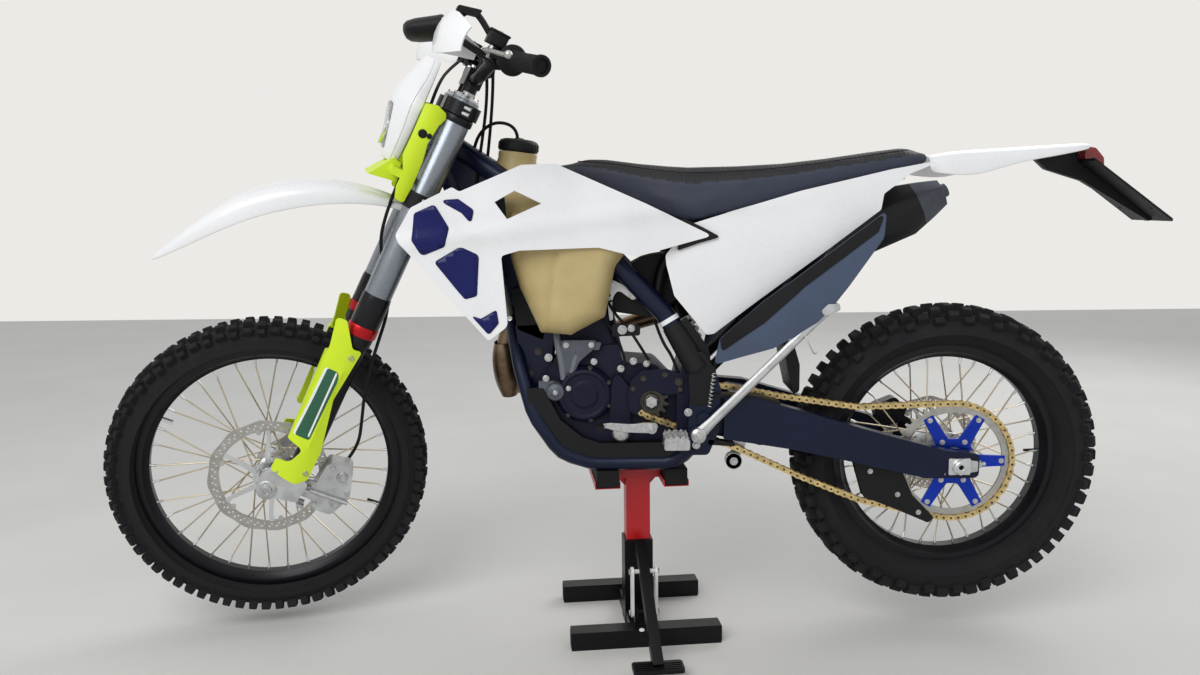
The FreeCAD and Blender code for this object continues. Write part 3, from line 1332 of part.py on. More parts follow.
def tyre(label, radius, width, bead, rim_width, sides, lugs, place):
    """Knobbly tyre: a ring of flat sides with one lug of each row on every side or every other one."""
    half = width / 2
    seat = rim_width / 2 - S.rim_wall - S.fit
    low, high = bead + S.fit, bead + S.rim_lip + 2
    base = radius - S.lug_height
    shoulder, wall = base - half * 0.24, radius - half * 0.7
    carcass = faceted([(-seat, low), (-seat, high), (-half * 0.86, high + 10), (-half, wall),
                       (-half * 0.9, shoulder), (-half * 0.5, base), (half * 0.5, base),
                       (half * 0.9, shoulder), (half, wall), (half * 0.86, high + 10), (seat, high),
                       (seat, low)], sides, 1 / math.cos(math.pi / sides))
    blocks = []
    for share, below, length, wide, lean, every, shift in lugs:
        for side in ((-1, 1) if share else (1,)):
            for number in range(shift, sides, every):
                blocks.append(lug(length, wide, S.lug_height, half * share * side, base - below, lean * side,
                                  360.0 * number / sides))
    shape_piece(label, carcass.fuse(blocks), place)


def rim(label, bead, width, sides, place):
    half = width / 2
    lip = bead + S.rim_lip
    rows = [(-half, lip), (-half, bead - 4), (-half * 0.45, bead - S.rim_deep - 4),
            (half * 0.45, bead - S.rim_deep - 4), (half, bead - 4), (half, lip), (half - S.rim_wall, lip),
            (half - S.rim_wall, bead), (-half + S.rim_wall, bead), (-half + S.rim_wall, lip)]
    shape_piece(label, faceted(rows, sides, 1 / math.cos(math.pi / sides)), place)


def spoke_bars(hub_r, flange_y, rim_r, rim_y, count):
    """Crossed spokes as square bars from the flange to the rim."""
    solids = []
    for index in range(count):
        side = -1 if index % 2 else 1
        sweep = 34 if (index // 2) % 2 else -34
        hub_angle = math.radians(360.0 * index / count)
        rim_angle = hub_angle + math.radians(sweep * 0.9)
        one = Vector(hub_r * math.cos(hub_angle), side * flange_y, hub_r * math.sin(hub_angle))
        two = Vector(rim_r * math.cos(rim_angle), side * rim_y, rim_r * math.sin(rim_angle))
        solids.append(bar([one, two], S.spoke_thick, S.spoke_thick, up=Vector(0, 1, 0)))
    return solids


def hub(label, half, barrel, flange, flange_y, rim_inner, place):
    t = S.flange_thick
    rows = [(-half, S.hub_bore_r - 1), (-half, barrel), (-flange_y - t, barrel), (-flange_y - t, flange),
            (-flange_y, flange), (-flange_y, barrel), (flange_y, barrel), (flange_y, flange),
            (flange_y + t, flange), (flange_y + t, barrel), (half, barrel), (half, S.hub_bore_r - 1)]
    core = faceted(rows, HUB_SIDES, 1)
    spokes = spoke_bars(float(flange) - 4, float(flange_y + t / 2), float(rim_inner) - 1, 6, 36)
    bore = rod((0, -half, 0), (0, half, 0), S.hub_bore_r)
    shape_piece(label, core.fuse(spokes).cut(bore), place)


def disc(label, radius, side_y, barrel, place):
    body = new_body(label.title().replace("_", ""))
    low, high = side_y - S.disc_thick / 2, side_y + S.disc_thick / 2
    bore = barrel + S.fit
    pad(body, "XZ", low, high, ("ring", 0, 0, radius), ("ring", 0, 0, radius - S.disc_ring))
    pad(body, "XZ", low, high, ("ring", 0, 0, bore + S.disc_collar), ("ring", 0, 0, bore))
    arm = pad(body, "XZ", low, high, rectangle(bore + S.disc_collar - 3, -5, radius - S.disc_ring + 3, 5))
    polar(body, [arm], "Y", 6)
    piece(body, label, place)


FRONT_SIDES = 32
REAR_SIDES = 28
HUB_SIDES = 18
# Columns: share of the half width, below the tread, length, width, lean, every so many sides, first side
FRONT_LUGS = [(0.3, 0, 21, 18, 6, 2, 1), (0.82, 7, 22, 17, 40, 1, 0)]
REAR_LUGS = [(0, 0, 24, 26, 0, 2, 1), (0.36, 0, 24, 24, 6, 2, 0), (0.84, 10, 26, 20, 40, 1, 0)]


def wheels():
    tyre("front_tyre", S.front_tyre_r, S.front_tyre_w, S.front_bead_r, S.front_rim_w, FRONT_SIDES, FRONT_LUGS,
         FRONT_WHEEL)
    tyre("rear_tyre", S.rear_tyre_r, S.rear_tyre_w, S.rear_bead_r, S.rear_rim_w, REAR_SIDES, REAR_LUGS,
         REAR_WHEEL)
    rim("front_rim", S.front_bead_r, S.front_rim_w, FRONT_SIDES, FRONT_WHEEL)
    rim("rear_rim", S.rear_bead_r, S.rear_rim_w, REAR_SIDES, REAR_WHEEL)
    hub("front_hub", S.front_hub_half, S.front_hub_r, S.front_flange_r, S.front_flange_y,
        S.front_bead_r - S.rim_deep - 4, FRONT_WHEEL)
    hub("rear_hub", S.rear_hub_half, S.rear_hub_r, S.rear_flange_r, S.rear_flange_y,
        S.rear_bead_r - S.rim_deep - 4, REAR_WHEEL)
    disc("front_disc", S.front_disc_r, -S.front_disc_y, S.front_hub_r, FRONT_WHEEL)
    disc("rear_disc", S.rear_disc_r, S.rear_disc_y, S.rear_hub_r, REAR_WHEEL)


for build in (stand_base, stand_column, stand_pads, stand_lever, main_frame, subframe,
              engine_block, engine_covers, exhaust_header, silencer,
              radiators, fuel_tank, filler_cap, seat, shrouds, side_panels, subframe_covers,
              front_fender, rear_fender, plate_bracket, tail_light, swingarm, rear_axle,
              shock, rear_caliper, rear_sprocket, drive_sprocket, chain, chain_guide,
              footpegs, foot_controls, side_stand, clamps, fork, front_axle,
              fork_guards, front_caliper, handlebar, grips, hand_guards, mask, mask_brackets, wheels):
    build()

doc.recompute()
for thing in doc.Objects:
    if "Invalid" in thing.State or "Error" in thing.State:
        raise RuntimeError(f"{thing.Label} failed: {thing.State}")
for thing in PIECES:
    if thing.Shape.isNull() or not thing.Shape.isValid():
        raise RuntimeError(f"{thing.Label} has no valid shape")
    thing.Shape.exportStep(f"parts/{thing.Label}.step")
print(len(PIECES), "pieces written")
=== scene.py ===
import math

import bmesh
import bpy
from mathutils import Matrix, Vector


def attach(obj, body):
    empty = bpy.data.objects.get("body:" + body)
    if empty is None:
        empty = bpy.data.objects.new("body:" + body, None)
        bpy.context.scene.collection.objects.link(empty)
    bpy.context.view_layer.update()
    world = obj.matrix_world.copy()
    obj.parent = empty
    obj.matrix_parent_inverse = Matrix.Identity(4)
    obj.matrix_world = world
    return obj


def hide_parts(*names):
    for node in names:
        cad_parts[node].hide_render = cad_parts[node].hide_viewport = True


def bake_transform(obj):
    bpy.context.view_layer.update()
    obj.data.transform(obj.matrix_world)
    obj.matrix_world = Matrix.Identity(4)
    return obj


bl_info = {
    "name": "Dirt Bike on a Lift Stand",
    "version": (1, 0, 0),
    "blender": (4, 5, 0),
    "location": "View3D > Sidebar > Dirt Bike",
    "description": "Dresses the solids of a dirt bike on its lift stand with modelled pieces and finishes",
    "category": "Object",
}

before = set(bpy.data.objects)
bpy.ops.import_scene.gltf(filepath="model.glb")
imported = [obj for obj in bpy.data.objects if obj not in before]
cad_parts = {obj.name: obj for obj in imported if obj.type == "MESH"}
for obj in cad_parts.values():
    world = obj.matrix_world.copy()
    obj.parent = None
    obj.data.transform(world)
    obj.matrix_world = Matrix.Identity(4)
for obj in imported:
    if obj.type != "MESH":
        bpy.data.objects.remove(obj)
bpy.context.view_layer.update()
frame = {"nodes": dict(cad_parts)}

# Places of the groups: their pieces are modelled in millimetres in the group's own frame
MM = Matrix.Scale(0.001, 4)
BIKE = MM
HEAD_ANGLE = math.radians(26.5)
STEERED_ANGLE = math.radians(15.5)
STAND_ANGLE = math.radians(6.7)
# Axles: the front one in the steering's own frame, the rear one in the bike's
FRONT_AXLE = (-55, 0, -728)
REAR_AXLE = (678, 0, 391)
STEERED = (Matrix.Translation((-0.448, 0, 1.0)) @ Matrix.Rotation(HEAD_ANGLE, 4, "Y") @ MM
           @ Matrix.Rotation(STEERED_ANGLE, 4, "Z"))
FRONT_WHEEL = STEERED @ Matrix.Translation(FRONT_AXLE)
REAR_WHEEL = Matrix.Translation((0.678, 0, 0.391)) @ MM
STAND = Matrix.Rotation(STAND_ANGLE, 4, "Z")
STAND_BACK = Matrix.Rotation(-STAND_ANGLE, 4, "Z")
OTHER_SIDE = Matrix.Scale(-1, 4, (0, 1, 0))


def shade(hex_colour):
    """Linear colour of an sRGB hex value."""
    parts = [int(hex_colour[i:i + 2], 16) / 255 for i in (0, 2, 4)]
    return tuple(p / 12.92 if p <= 0.04045 else ((p + 0.055) / 1.055) ** 2.4 for p in parts)


def colour_of(name, hex_colour, description):
    """Colour setting of the add-on."""
    return bpy.props.FloatVectorProperty(name=name, description=description, subtype="COLOR",
                                         size=3, min=0.0, max=1.0, default=shade(hex_colour))


def length_of(name, millimetres, description):
    """Length setting of the add-on."""
    return bpy.props.FloatProperty(name=name, description=description, unit="LENGTH",
                                   min=0.0, default=millimetres / 1000)


class DirtBikeColours(bpy.types.PropertyGroup):
    white: colour_of("White", "F4F4F5", "Fenders, shrouds, side panels and mask")
    navy: colour_of("Navy", "0B1458", "Stripes on the shrouds")
    yellow: colour_of("Yellow", "D6F01E", "Fork guards and mask brackets")
    slate: colour_of("Slate", "44516A", "Covers under the side panels")
    frame: colour_of("Frame", "0C1530", "Main frame and swingarm")
    tank: colour_of("Tank", "BBA56E", "Unpainted fuel tank")
    red: colour_of("Red", "B5121B", "Lift stand's post and the rings on the fork")
    sprocket: colour_of("Sprocket", "1738B0", "Anodised rear sprocket")
    chain: colour_of("Chain", "D6BF88", "Chain plates")


class DirtBikeSizes(bpy.types.PropertyGroup):
    front_knob: length_of("Front knob height", 12, "How far the front tyre's knobs stand out")
    rear_knob: length_of("Rear knob height", 15, "How far the rear tyre's knobs stand out")
    spoke: length_of("Spoke", 3.4, "Spoke diameter")
    seat_rib: length_of("Seat rib pitch", 9, "Distance between the seat cover's ribs")


def colours():
    """The colour settings in use."""
    return bpy.context.scene.dirt_bike_colours


def sizes():
    """The size settings in use, in metres."""
    return bpy.context.scene.dirt_bike_sizes


# Materials

# Scale of a wave texture that repeats once in a metre
WAVE = 2 * math.pi / 20


def add(tree, kind, sockets=(), **settings):
    """Adds a node: settings are its own values, sockets its inputs, as values or other nodes' outputs."""
    node = tree.nodes.new("ShaderNode" + kind)
    for name, value in settings.items():
        setattr(node, name, value)
    for key, value in dict(sockets).items():
        if isinstance(value, bpy.types.NodeSocket):
            tree.links.new(value, node.inputs[key])
        else:
            node.inputs[key].default_value = value
    return node


def rgba(colour, factor=1.0):
    """A colour made lighter or darker, with full opacity."""
    return tuple(min(1.0, part * factor) for part in colour) + (1.0,)


def finish(name, colour, rough, relief, metallic=0.0, mottle=0.12, mottle_mm=90.0, grain_mm=1.5,
           stretch=(1, 1, 1), other=None, coat=0.0, ior=1.5):
    """A surface whose colour and gloss drift over mottle_mm and whose relief has a grain of grain_mm."""
    made = bpy.data.materials.get(name)
    if made:
        return made
    made = bpy.data.materials.new(name)
    made.use_nodes = True
    tree = made.node_tree
    shader = tree.nodes["Principled BSDF"]
    shader.inputs["Metallic"].default_value = metallic
    shader.inputs["IOR"].default_value = ior
    shader.inputs["Coat Weight"].default_value = coat
    shader.inputs["Coat Roughness"].default_value = 0.12
    spot = add(tree, "TexCoord").outputs["Object"]
    along = add(tree, "Mapping", {"Vector": spot, "Scale": stretch}).outputs[0]
    drift = add(tree, "TexNoise", {"Vector": spot, "Scale": 1000 / mottle_mm, "Detail": 4.0}).outputs[0]
    grain = add(tree, "TexNoise", {"Vector": along, "Scale": 1000 / grain_mm, "Detail": 2.0}).outputs[0]
    low = rgba(colour, 1 - mottle)
    high = rgba(other) if other else rgba(colour, 1 + mottle)
    share = add(tree, "MapRange", {0: drift, 1: 0.35, 2: 0.65}).outputs[0]
    mixed = add(tree, "Mix", {0: share, 6: low, 7: high}, data_type="RGBA").outputs[2]
    tree.links.new(mixed, shader.inputs["Base Color"])
    both = add(tree, "Math", {0: drift, 1: grain}, operation="ADD").outputs[0]
    gloss = add(tree, "MapRange", {0: both, 1: 0.7, 2: 1.3, 3: rough * 0.8, 4: min(1.0, rough * 1.2)})
    tree.links.new(gloss.outputs[0], shader.inputs["Roughness"])
    bump = add(tree, "Bump", {"Height": grain, "Strength": relief, "Distance": grain_mm / 1000})
    tree.links.new(bump.outputs[0], shader.inputs["Normal"])
    return made


def shader_of(made):
    """A material's own shader node."""
    return made.node_tree.nodes["Principled BSDF"]


def glossy_white_plastic():
    # Injection-moulded polypropylene: bright, softly glossy, with faint hairline scuffs
    return finish("glossy_white_plastic", colours().white, 0.3, mottle=0.015, grain_mm=6, relief=0.02,
                  coat=0.3)


def navy_film():
    # Printed vinyl film under a clear laminate: deep blue and a little glossier than the plastic
    return finish("navy_film", colours().navy, 0.26, mottle=0.06, grain_mm=8, relief=0.02, ior=1.35)


def slate_plastic():
    # Dyed polypropylene: satin grey-blue with a fine moulded grain
    return finish("slate_plastic", colours().slate, 0.42, mottle=0.06, grain_mm=1.2, relief=0.1)


def black_plastic():
    # Glass-filled nylon: nearly black, satin, its spark-eroded grain drawn coarser than real
    return finish("satin_black_nylon", shade("0C0D11"), 0.5, ior=1.35, mottle=0.15, grain_mm=1.4, relief=0.25)


def yellow_plastic():
    # Fluorescent dyed polypropylene: saturated yellow with a satin face
    return finish("fluorescent_polypropylene", colours().yellow, 0.38, mottle=0.04, grain_mm=2, relief=0.06)


def tank_plastic():
    # Rotation-moulded polyethylene: waxy, tea-stained by fuel, a little light comes through it
    made = finish("natural_polyethylene", colours().tank, 0.42, mottle=0.04, other=shade("C6B27E"),
                  grain_mm=3, relief=0.08)
    shader_of(made).inputs["Subsurface Weight"].default_value = 0.1
    shader_of(made).inputs["Subsurface Radius"].default_value = (0.02, 0.012, 0.006)
    return made


def tyre_rubber():
    # Vulcanised knobbly rubber: matt charcoal with dusty blotches
    return finish("tyre_rubber", shade("18181B"), 0.86, ior=1.4, mottle=0.25, mottle_mm=40, relief=0.35)


def soft_rubber():
    # Moulded soft rubber of grips, pads and hoses: black and almost without gloss
    return finish("soft_rubber", shade("0D0D10"), 0.7, ior=1.35, mottle=0.15, grain_mm=1, relief=0.3)


def grey_hose():
    # Silicone hose: soft grey with a woven relief
    return finish("grey_hose", shade("6C7078"), 0.6, mottle=0.08, grain_mm=2, relief=0.2)


def frame_paint():
    # Blue powder coat with metal flake: dark, with a pale blue sheen where it turns to the light
    return finish("frame_paint", colours().frame, 0.36, metallic=0.25, mottle=0.1, relief=0.08, ior=1.4)


def black_powder_coat():
    # Black powder coat: satin with a shallow orange-peel relief
    return finish("black_powder_coat", shade("0A0B0E"), 0.38, ior=1.3, grain_mm=3, relief=0.12)


def red_powder_coat():
    # Red powder coat: strong red, shallow orange peel
    return finish("red_powder_coat", colours().red, 0.32, mottle=0.08, grain_mm=3, relief=0.1)


def white_powder_coat():
    # White powder coat of the stand's links, a little scuffed
    return finish("white_powder_coat", shade("E6E6E2"), 0.4, mottle=0.05, mottle_mm=20, grain_mm=3,
                  relief=0.1)


def white_spring():
    # White powder-coated spring steel
    return finish("white_spring", shade("DADBD9"), 0.35, mottle=0.04, grain_mm=3, relief=0.08)


def cast_cases():
    # Sand-textured magnesium cases with a dark bronze-blue coating
    return finish("cast_cases", shade("0A0D26"), 0.5, mottle=0.2, mottle_mm=30, grain_mm=1.4, relief=0.4,
                  ior=1.33)


def cast_aluminium():
    # Bare cast aluminium: pale grey, slightly rough, darker in blotches
    return finish("cast_aluminium", shade("C4C6C8"), 0.42, metallic=0.9, mottle=0.14, mottle_mm=25,
                  relief=0.3)


def grey_casting():
    # Coated aluminium of the pump cover and its bracket: matt mid grey
    return finish("grey_casting", shade("5B5F69"), 0.48, metallic=0.6, mottle_mm=25, relief=0.25)


def machined_aluminium():
    # Milled aluminium: bright, with fine tool lines drawn coarse enough to show
    return finish("machined_aluminium", shade("D5D7DA"), 0.28, metallic=1.0, mottle=0.06, relief=0.12,
                  stretch=(1, 6, 1))


def grey_anodised():
    # Hard-anodised fork tube: cool grey, drawn lengthwise
    return finish("grey_anodised", shade("8A9099"), 0.3, metallic=0.85, mottle=0.06, grain_mm=2,
                  relief=0.08, stretch=(1, 1, 0.1))


def black_anodised():
    # Black anodised aluminium of the rims and fork feet: dark with a metallic sheen
    return finish("black_anodised", shade("1A1B1F"), 0.32, metallic=0.6, grain_mm=2, relief=0.06)


def blue_anodised():
    # Dyed anodising: vivid blue metal
    return finish("blue_anodised", colours().sprocket, 0.3, metallic=0.75, mottle=0.1, grain_mm=2,
                  relief=0.06)


def zinc_steel():
    # Zinc-plated bolts and forged levers: light grey with a fine crystalline mottle
    return finish("zinc_steel", shade("BFC1C2"), 0.34, metallic=1.0, mottle_mm=8, grain_mm=1, relief=0.12)


def spoke_steel():
    # Stainless spokes: warm silver
    return finish("spoke_steel", shade("CBBFA9"), 0.3, metallic=1.0, mottle=0.1, grain_mm=1, relief=0.05)


def disc_steel():
    # Ground brake disc: grinding marks, drawn as a fine grain
    return finish("ground_stainless", shade("B4B2AE"), 0.3, metallic=1.0, mottle=0.1, mottle_mm=20,
                  grain_mm=0.8, relief=0.2, stretch=(1, 0.2, 1))


def chain_gold():
    # Brass-plated chain plates: pale gold, oily in patches
    return finish("gold_chain_plate", colours().chain, 0.32, metallic=1.0, mottle=0.2, mottle_mm=12,
                  grain_mm=1, relief=0.1)


def dark_steel():
    # Oiled hardened steel of the front sprocket, the chain's rollers and dark bolts
    return finish("dark_steel", shade("4A4743"), 0.42, metallic=0.9, mottle=0.2, mottle_mm=10, grain_mm=1,
                  relief=0.2)


def heated_steel():
    # Stainless header pipe, tinted straw to bronze by heat
    return finish("heated_steel", shade("5E4A38"), 0.36, metallic=0.9, mottle=0.25, mottle_mm=60,
                  other=shade("8D7A63"), grain_mm=2, relief=0.1)


def can_coating():
    # Black ceramic coating of the silencer: satin with a grey cast
    return finish("can_coating", shade("15161A"), 0.36, mottle=0.15, grain_mm=2, relief=0.1, ior=1.4)


def radiator_core():
    # Brazed aluminium core: fine fins, drawn at 4 mm so that they show
    made = finish("radiator_core", shade("8C8F92"), 0.45, metallic=0.7, grain_mm=2, relief=0.1)
    tree = made.node_tree
    spot = add(tree, "TexCoord").outputs["Object"]
    fins = add(tree, "TexWave", {"Vector": spot, "Scale": WAVE / 0.004}, bands_direction="Z").outputs[1]
    bump = add(tree, "Bump", {"Height": fins, "Strength": 0.8, "Distance": 0.002})
    tree.links.new(bump.outputs[0], shader_of(made).inputs["Normal"])
    return made


def clear_lens():
    # Clear polycarbonate lens: lets the reflector show and glints
    made = finish("clear_lens", shade("E8EDF2"), 0.08, mottle=0.02, grain_mm=8, relief=0.01, coat=0.5)
    shader_of(made).inputs["Transmission Weight"].default_value = 0.85
    shader_of(made).inputs["IOR"].default_value = 1.58
    return made


def red_lens():
    # Red dyed acrylic lens with a moulded grid
    made = finish("red_lens", shade("8E1016"), 0.15, mottle=0.1, grain_mm=4, relief=0.3, coat=0.5)
    shader_of(made).inputs["Transmission Weight"].default_value = 0.2
    return made


def red_anodised():
    # Red anodised ring of the fork: deep red metal
    return finish("red_anodised", colours().red, 0.3, metallic=0.6, mottle=0.08, grain_mm=2, relief=0.06)


def green_film():
    # Plain dark green film on the fork guards, in place of their stickers
    return finish("green_film", shade("0E5A3C"), 0.28, mottle=0.06, grain_mm=8, relief=0.02, coat=0.3)


def mirror_glass():
    # Silvered mirror glass: bright and nearly without texture
    return finish("mirror_glass", shade("DDE0E4"), 0.04, metallic=1.0, mottle=0.02, grain_mm=8, relief=0.01)


def chrome_mirror():
    # Vacuum-metallised reflector: mirror bright, a trace of haze
    return finish("chrome_mirror", shade("E4E6E8"), 0.1, metallic=1.0, mottle=0.03, grain_mm=4, relief=0.05)


def seat_cover(name, hex_colour, rib):
    # Embossed vinyl: ribs across the seat and a small pebble grain give grip without shine
    made = finish(name, shade(hex_colour), 0.62, mottle=0.1, grain_mm=1.6, relief=0.4)
    tree = made.node_tree
    spot = add(tree, "TexCoord").outputs["Object"]
    ribs = add(tree, "TexWave", {"Vector": spot, "Scale": WAVE / sizes().seat_rib},
               bands_direction="X").outputs[1]
    bump = add(tree, "Bump", {"Height": ribs, "Strength": rib, "Distance": 0.0015})
    old = shader_of(made).inputs["Normal"].links[0].from_socket
    tree.links.new(old, bump.inputs["Normal"])
    tree.links.new(bump.outputs[0], shader_of(made).inputs["Normal"])
    return made


def pale_concrete():
    # Pale concrete: off-white with soft, wide blotches
    return finish("pale_concrete", shade("DEDCD7"), 0.85, mottle=0.03, mottle_mm=500, grain_mm=6,
                  relief=0.08)


# Shapes, in millimetres

def corner_rounding(bm, corners):
    """Rounds the corners of the flat face just made, each (vertex, rounding)."""
    for vertex, radius in corners:
        if radius:
            one, two = [edge.other_vert(vertex).co - vertex.co for edge in vertex.link_edges]
            half = one.angle(two) / 2
            reach = min(radius / math.tan(half), 0.48 * one.length, 0.48 * two.length)
            bmesh.ops.bevel(bm, geom=[vertex], offset=reach, offset_type="OFFSET", segments=4,
                            profile=0.5, affect="VERTICES", material=-1)


def flat(rows, at=0.0, axis="Y"):
    """A flat face from (across, up, rounding) rows."""
    bm = bmesh.new()
    corners = []
    for row in rows:
        a, b = row[0], row[1]
        spot = {"Y": (a, at, b), "Z": (a, b, at), "X": (at, a, b)}[axis]
        corners.append((bm.verts.new(spot), row[2] if len(row) > 2 else 0))
    bm.faces.new([vertex for vertex, radius in corners])
    corner_rounding(bm, corners)
    return bm


def extruded(bm, way):
    """Turns flat faces into a solid that reaches along a vector."""
    made = bmesh.ops.extrude_face_region(bm, geom=bm.faces[:], use_keep_orig=True)
    verts = [item for item in made["geom"] if isinstance(item, bmesh.types.BMVert)]
    bmesh.ops.translate(bm, verts=verts, vec=way)
    bmesh.ops.recalc_face_normals(bm, faces=bm.faces[:])
    return bm


def slab(rows, low, high, axis="Y"):
    """Solid from an outline, from low to high along an axis."""
    along = {"Y": Vector((0, 1, 0)), "Z": Vector((0, 0, 1)), "X": Vector((1, 0, 0))}[axis]
    return extruded(flat(rows, low, axis), along * (high - low))


def side_slab(rows, side, near, far):
    """Slab on one side of the bike, between two distances from its middle."""
    return slab(rows, *sorted((side * near, side * far)))


def toward(one, two):
    """Matrix that puts the middle of a Z-long shape between two points."""
    one, two = Vector(one), Vector(two)
    turn = (two - one).to_track_quat("Z", "Y").to_matrix().to_4x4()
    return Matrix.Translation((one + two) / 2) @ turn


def rod(one, two, radius, end_radius=None, segments=20):
    """Round or faceted bar between two points, tapering to end_radius."""
    bm = bmesh.new()
    length = (Vector(two) - Vector(one)).length
    bmesh.ops.create_cone(bm, cap_ends=True, segments=segments, radius1=radius,
                          radius2=radius if end_radius is None else end_radius, depth=length,
                          matrix=toward(one, two))
    return bm


def block(low, high):
    """Box between two opposite corners."""
    bm = bmesh.new()
    low, high = Vector(low), Vector(high)
    size = Matrix.Diagonal((*(high - low), 1))
    bmesh.ops.create_cube(bm, size=1, matrix=Matrix.Translation((low + high) / 2) @ size)
    return bm


def turned(rows, centre=(0, 0, 0), axis="Y", steps=64, loop=False):
    """Surface of revolution from (along, radius) rows; loop closes the profile into a ring."""
    bm = bmesh.new()
    verts = [bm.verts.new((0, along, radius)) for along, radius in rows]
    pairs = list(zip(verts, verts[1:])) + ([(verts[-1], verts[0])] if loop else [])
    edges = [bm.edges.new(pair) for pair in pairs]
    bmesh.ops.spin(bm, geom=verts + edges, cent=(0, 0, 0), axis=(0, 1, 0), dvec=(0, 0, 0),
                   angle=2 * math.pi, steps=steps, use_merge=True, use_duplicate=False)
    bmesh.ops.remove_doubles(bm, verts=bm.verts[:], dist=0.001)
    bmesh.ops.recalc_face_normals(bm, faces=bm.faces[:])
    turn = {"Y": Matrix(), "Z": Matrix.Rotation(math.pi / 2, 4, "X"),
            "X": Matrix.Rotation(-math.pi / 2, 4, "Z")}[axis]
    bmesh.ops.transform(bm, verts=bm.verts[:], matrix=Matrix.Translation(centre) @ turn)
    return bm


def loft(rings):
    """Solid bridged through rings of points, all rings with as many points."""
    bm = bmesh.new()
    loops = []
    for ring in rings:
        verts = [bm.verts.new(spot) for spot in ring]
        loops.append([bm.edges.new((a, b)) for a, b in zip(verts, verts[1:] + verts[:1])])
        if ring in (rings[0], rings[-1]):
            bm.faces.new(verts)
    for one, two in zip(loops, loops[1:]):
        bmesh.ops.bridge_loops(bm, edges=one + two)
    bmesh.ops.recalc_face_normals(bm, faces=bm.faces[:])
    return bm


def tube(points, radius, sides=12):
    """Round bar or hose along a smooth curve whose control points are given."""
    curve = bpy.data.curves.new("route", "CURVE")
    curve.dimensions = "3D"
    line = curve.splines.new("NURBS")
    line.points.add(len(points) - 1)
    for point, spot in zip(line.points, points):
        point.co = (*spot, 1)
    line.order_u = 3
    line.use_endpoint_u = True
    curve.resolution_u = 6
    curve.bevel_depth = radius
    curve.bevel_resolution = max(1, sides // 4 - 1)
    curve.use_fill_caps = True
    holder = bpy.data.objects.new("route", curve)
    mesh = bpy.data.meshes.new_from_object(holder)
    bm = bmesh.new()
    bm.from_mesh(mesh)
    bpy.data.objects.remove(holder)
    bpy.data.curves.remove(curve)
    bpy.data.meshes.remove(mesh)
    bmesh.ops.remove_doubles(bm, verts=bm.verts[:], dist=0.001)
    return bm


def split(bm, spot, normal, near=0.01):
    """Cuts the faces of a shape along a plane and keeps all of them."""
    bmesh.ops.bisect_plane(bm, geom=bm.verts[:] + bm.edges[:] + bm.faces[:], dist=near,
                           plane_co=spot, plane_no=normal)


def sheet(rows, plan, step, holes=()):
    """Curved panel: an outline in side view, cut into cells and moved out to plan(x, z)."""
    bm = flat(rows)
    for hole in holes:
        cut_hole(bm, hole)
    low = [min(vertex.co[i] for vertex in bm.verts) for i in range(3)]
    high = [max(vertex.co[i] for vertex in bm.verts) for i in range(3)]
    for i, normal in ((0, Vector((1, 0, 0))), (2, Vector((0, 0, 1)))):
        at = low[i] + step
        while at < high[i] - step * 0.3:
            split(bm, normal * at, normal)
            at += step
    for vertex in bm.verts:
        vertex.co.y = plan(vertex.co.x, vertex.co.z)
    bm.normal_update()
    if sum(face.normal.y for face in bm.faces) < 0:
        bmesh.ops.reverse_faces(bm, faces=bm.faces[:])
    return bm


def cut_hole(bm, rows):
    """Cuts an outline out of the flat face by splitting it along the outline's lines."""
    spots = [Vector((row[0], 0, row[1])) for row in rows]
    count = len(spots)
    area = sum(a.x * b.z - b.x * a.z for a, b in zip(spots, spots[1:] + spots[:1]))
    turn = 1 if area > 0 else -1
    normals = []
    for i, spot in enumerate(spots):
        along = (spots[(i + 1) % count] - spot).normalized()
        normals.append(Vector((along.z, 0, -along.x)) * turn)
        split(bm, spot, normals[-1], near=0.001)
    gone = []
    for face in bm.faces:
        middle = face.calc_center_median()
        if all((middle - spot).dot(normal) < 0 for spot, normal in zip(spots, normals)):
            gone.append(face)
    bmesh.ops.delete(bm, geom=gone, context="FACES")


def wall(bm, thickness):
    """Gives a sheet its thickness, away from its faces' outward side."""
    bmesh.ops.recalc_face_normals(bm, faces=bm.faces[:])
    bmesh.ops.solidify(bm, geom=bm.faces[:], thickness=thickness)
    return bm


def moved(bm, matrix):
    """The same shape, moved; a mirror keeps its faces pointing outwards."""
    bmesh.ops.transform(bm, verts=bm.verts[:], matrix=matrix)
    if matrix.determinant() < 0:
        bmesh.ops.reverse_faces(bm, faces=bm.faces[:])
    return bm


def both(bm):
    """A shape and its mirror image on the other side."""
    return [bm, moved(bm.copy(), OTHER_SIDE)]


def around(bm, count, start=0.0, axis="Y"):
    """Copies of a shape set round an axis."""
    turns = [Matrix.Rotation(start + 2 * math.pi * i / count, 4, axis) for i in range(count)]
    return [moved(bm.copy(), turn) for turn in turns]


def numbered(number, shapes):
    """Shapes, each with the number of its finish in its piece."""
    return [(shape, number) for shape in shapes]


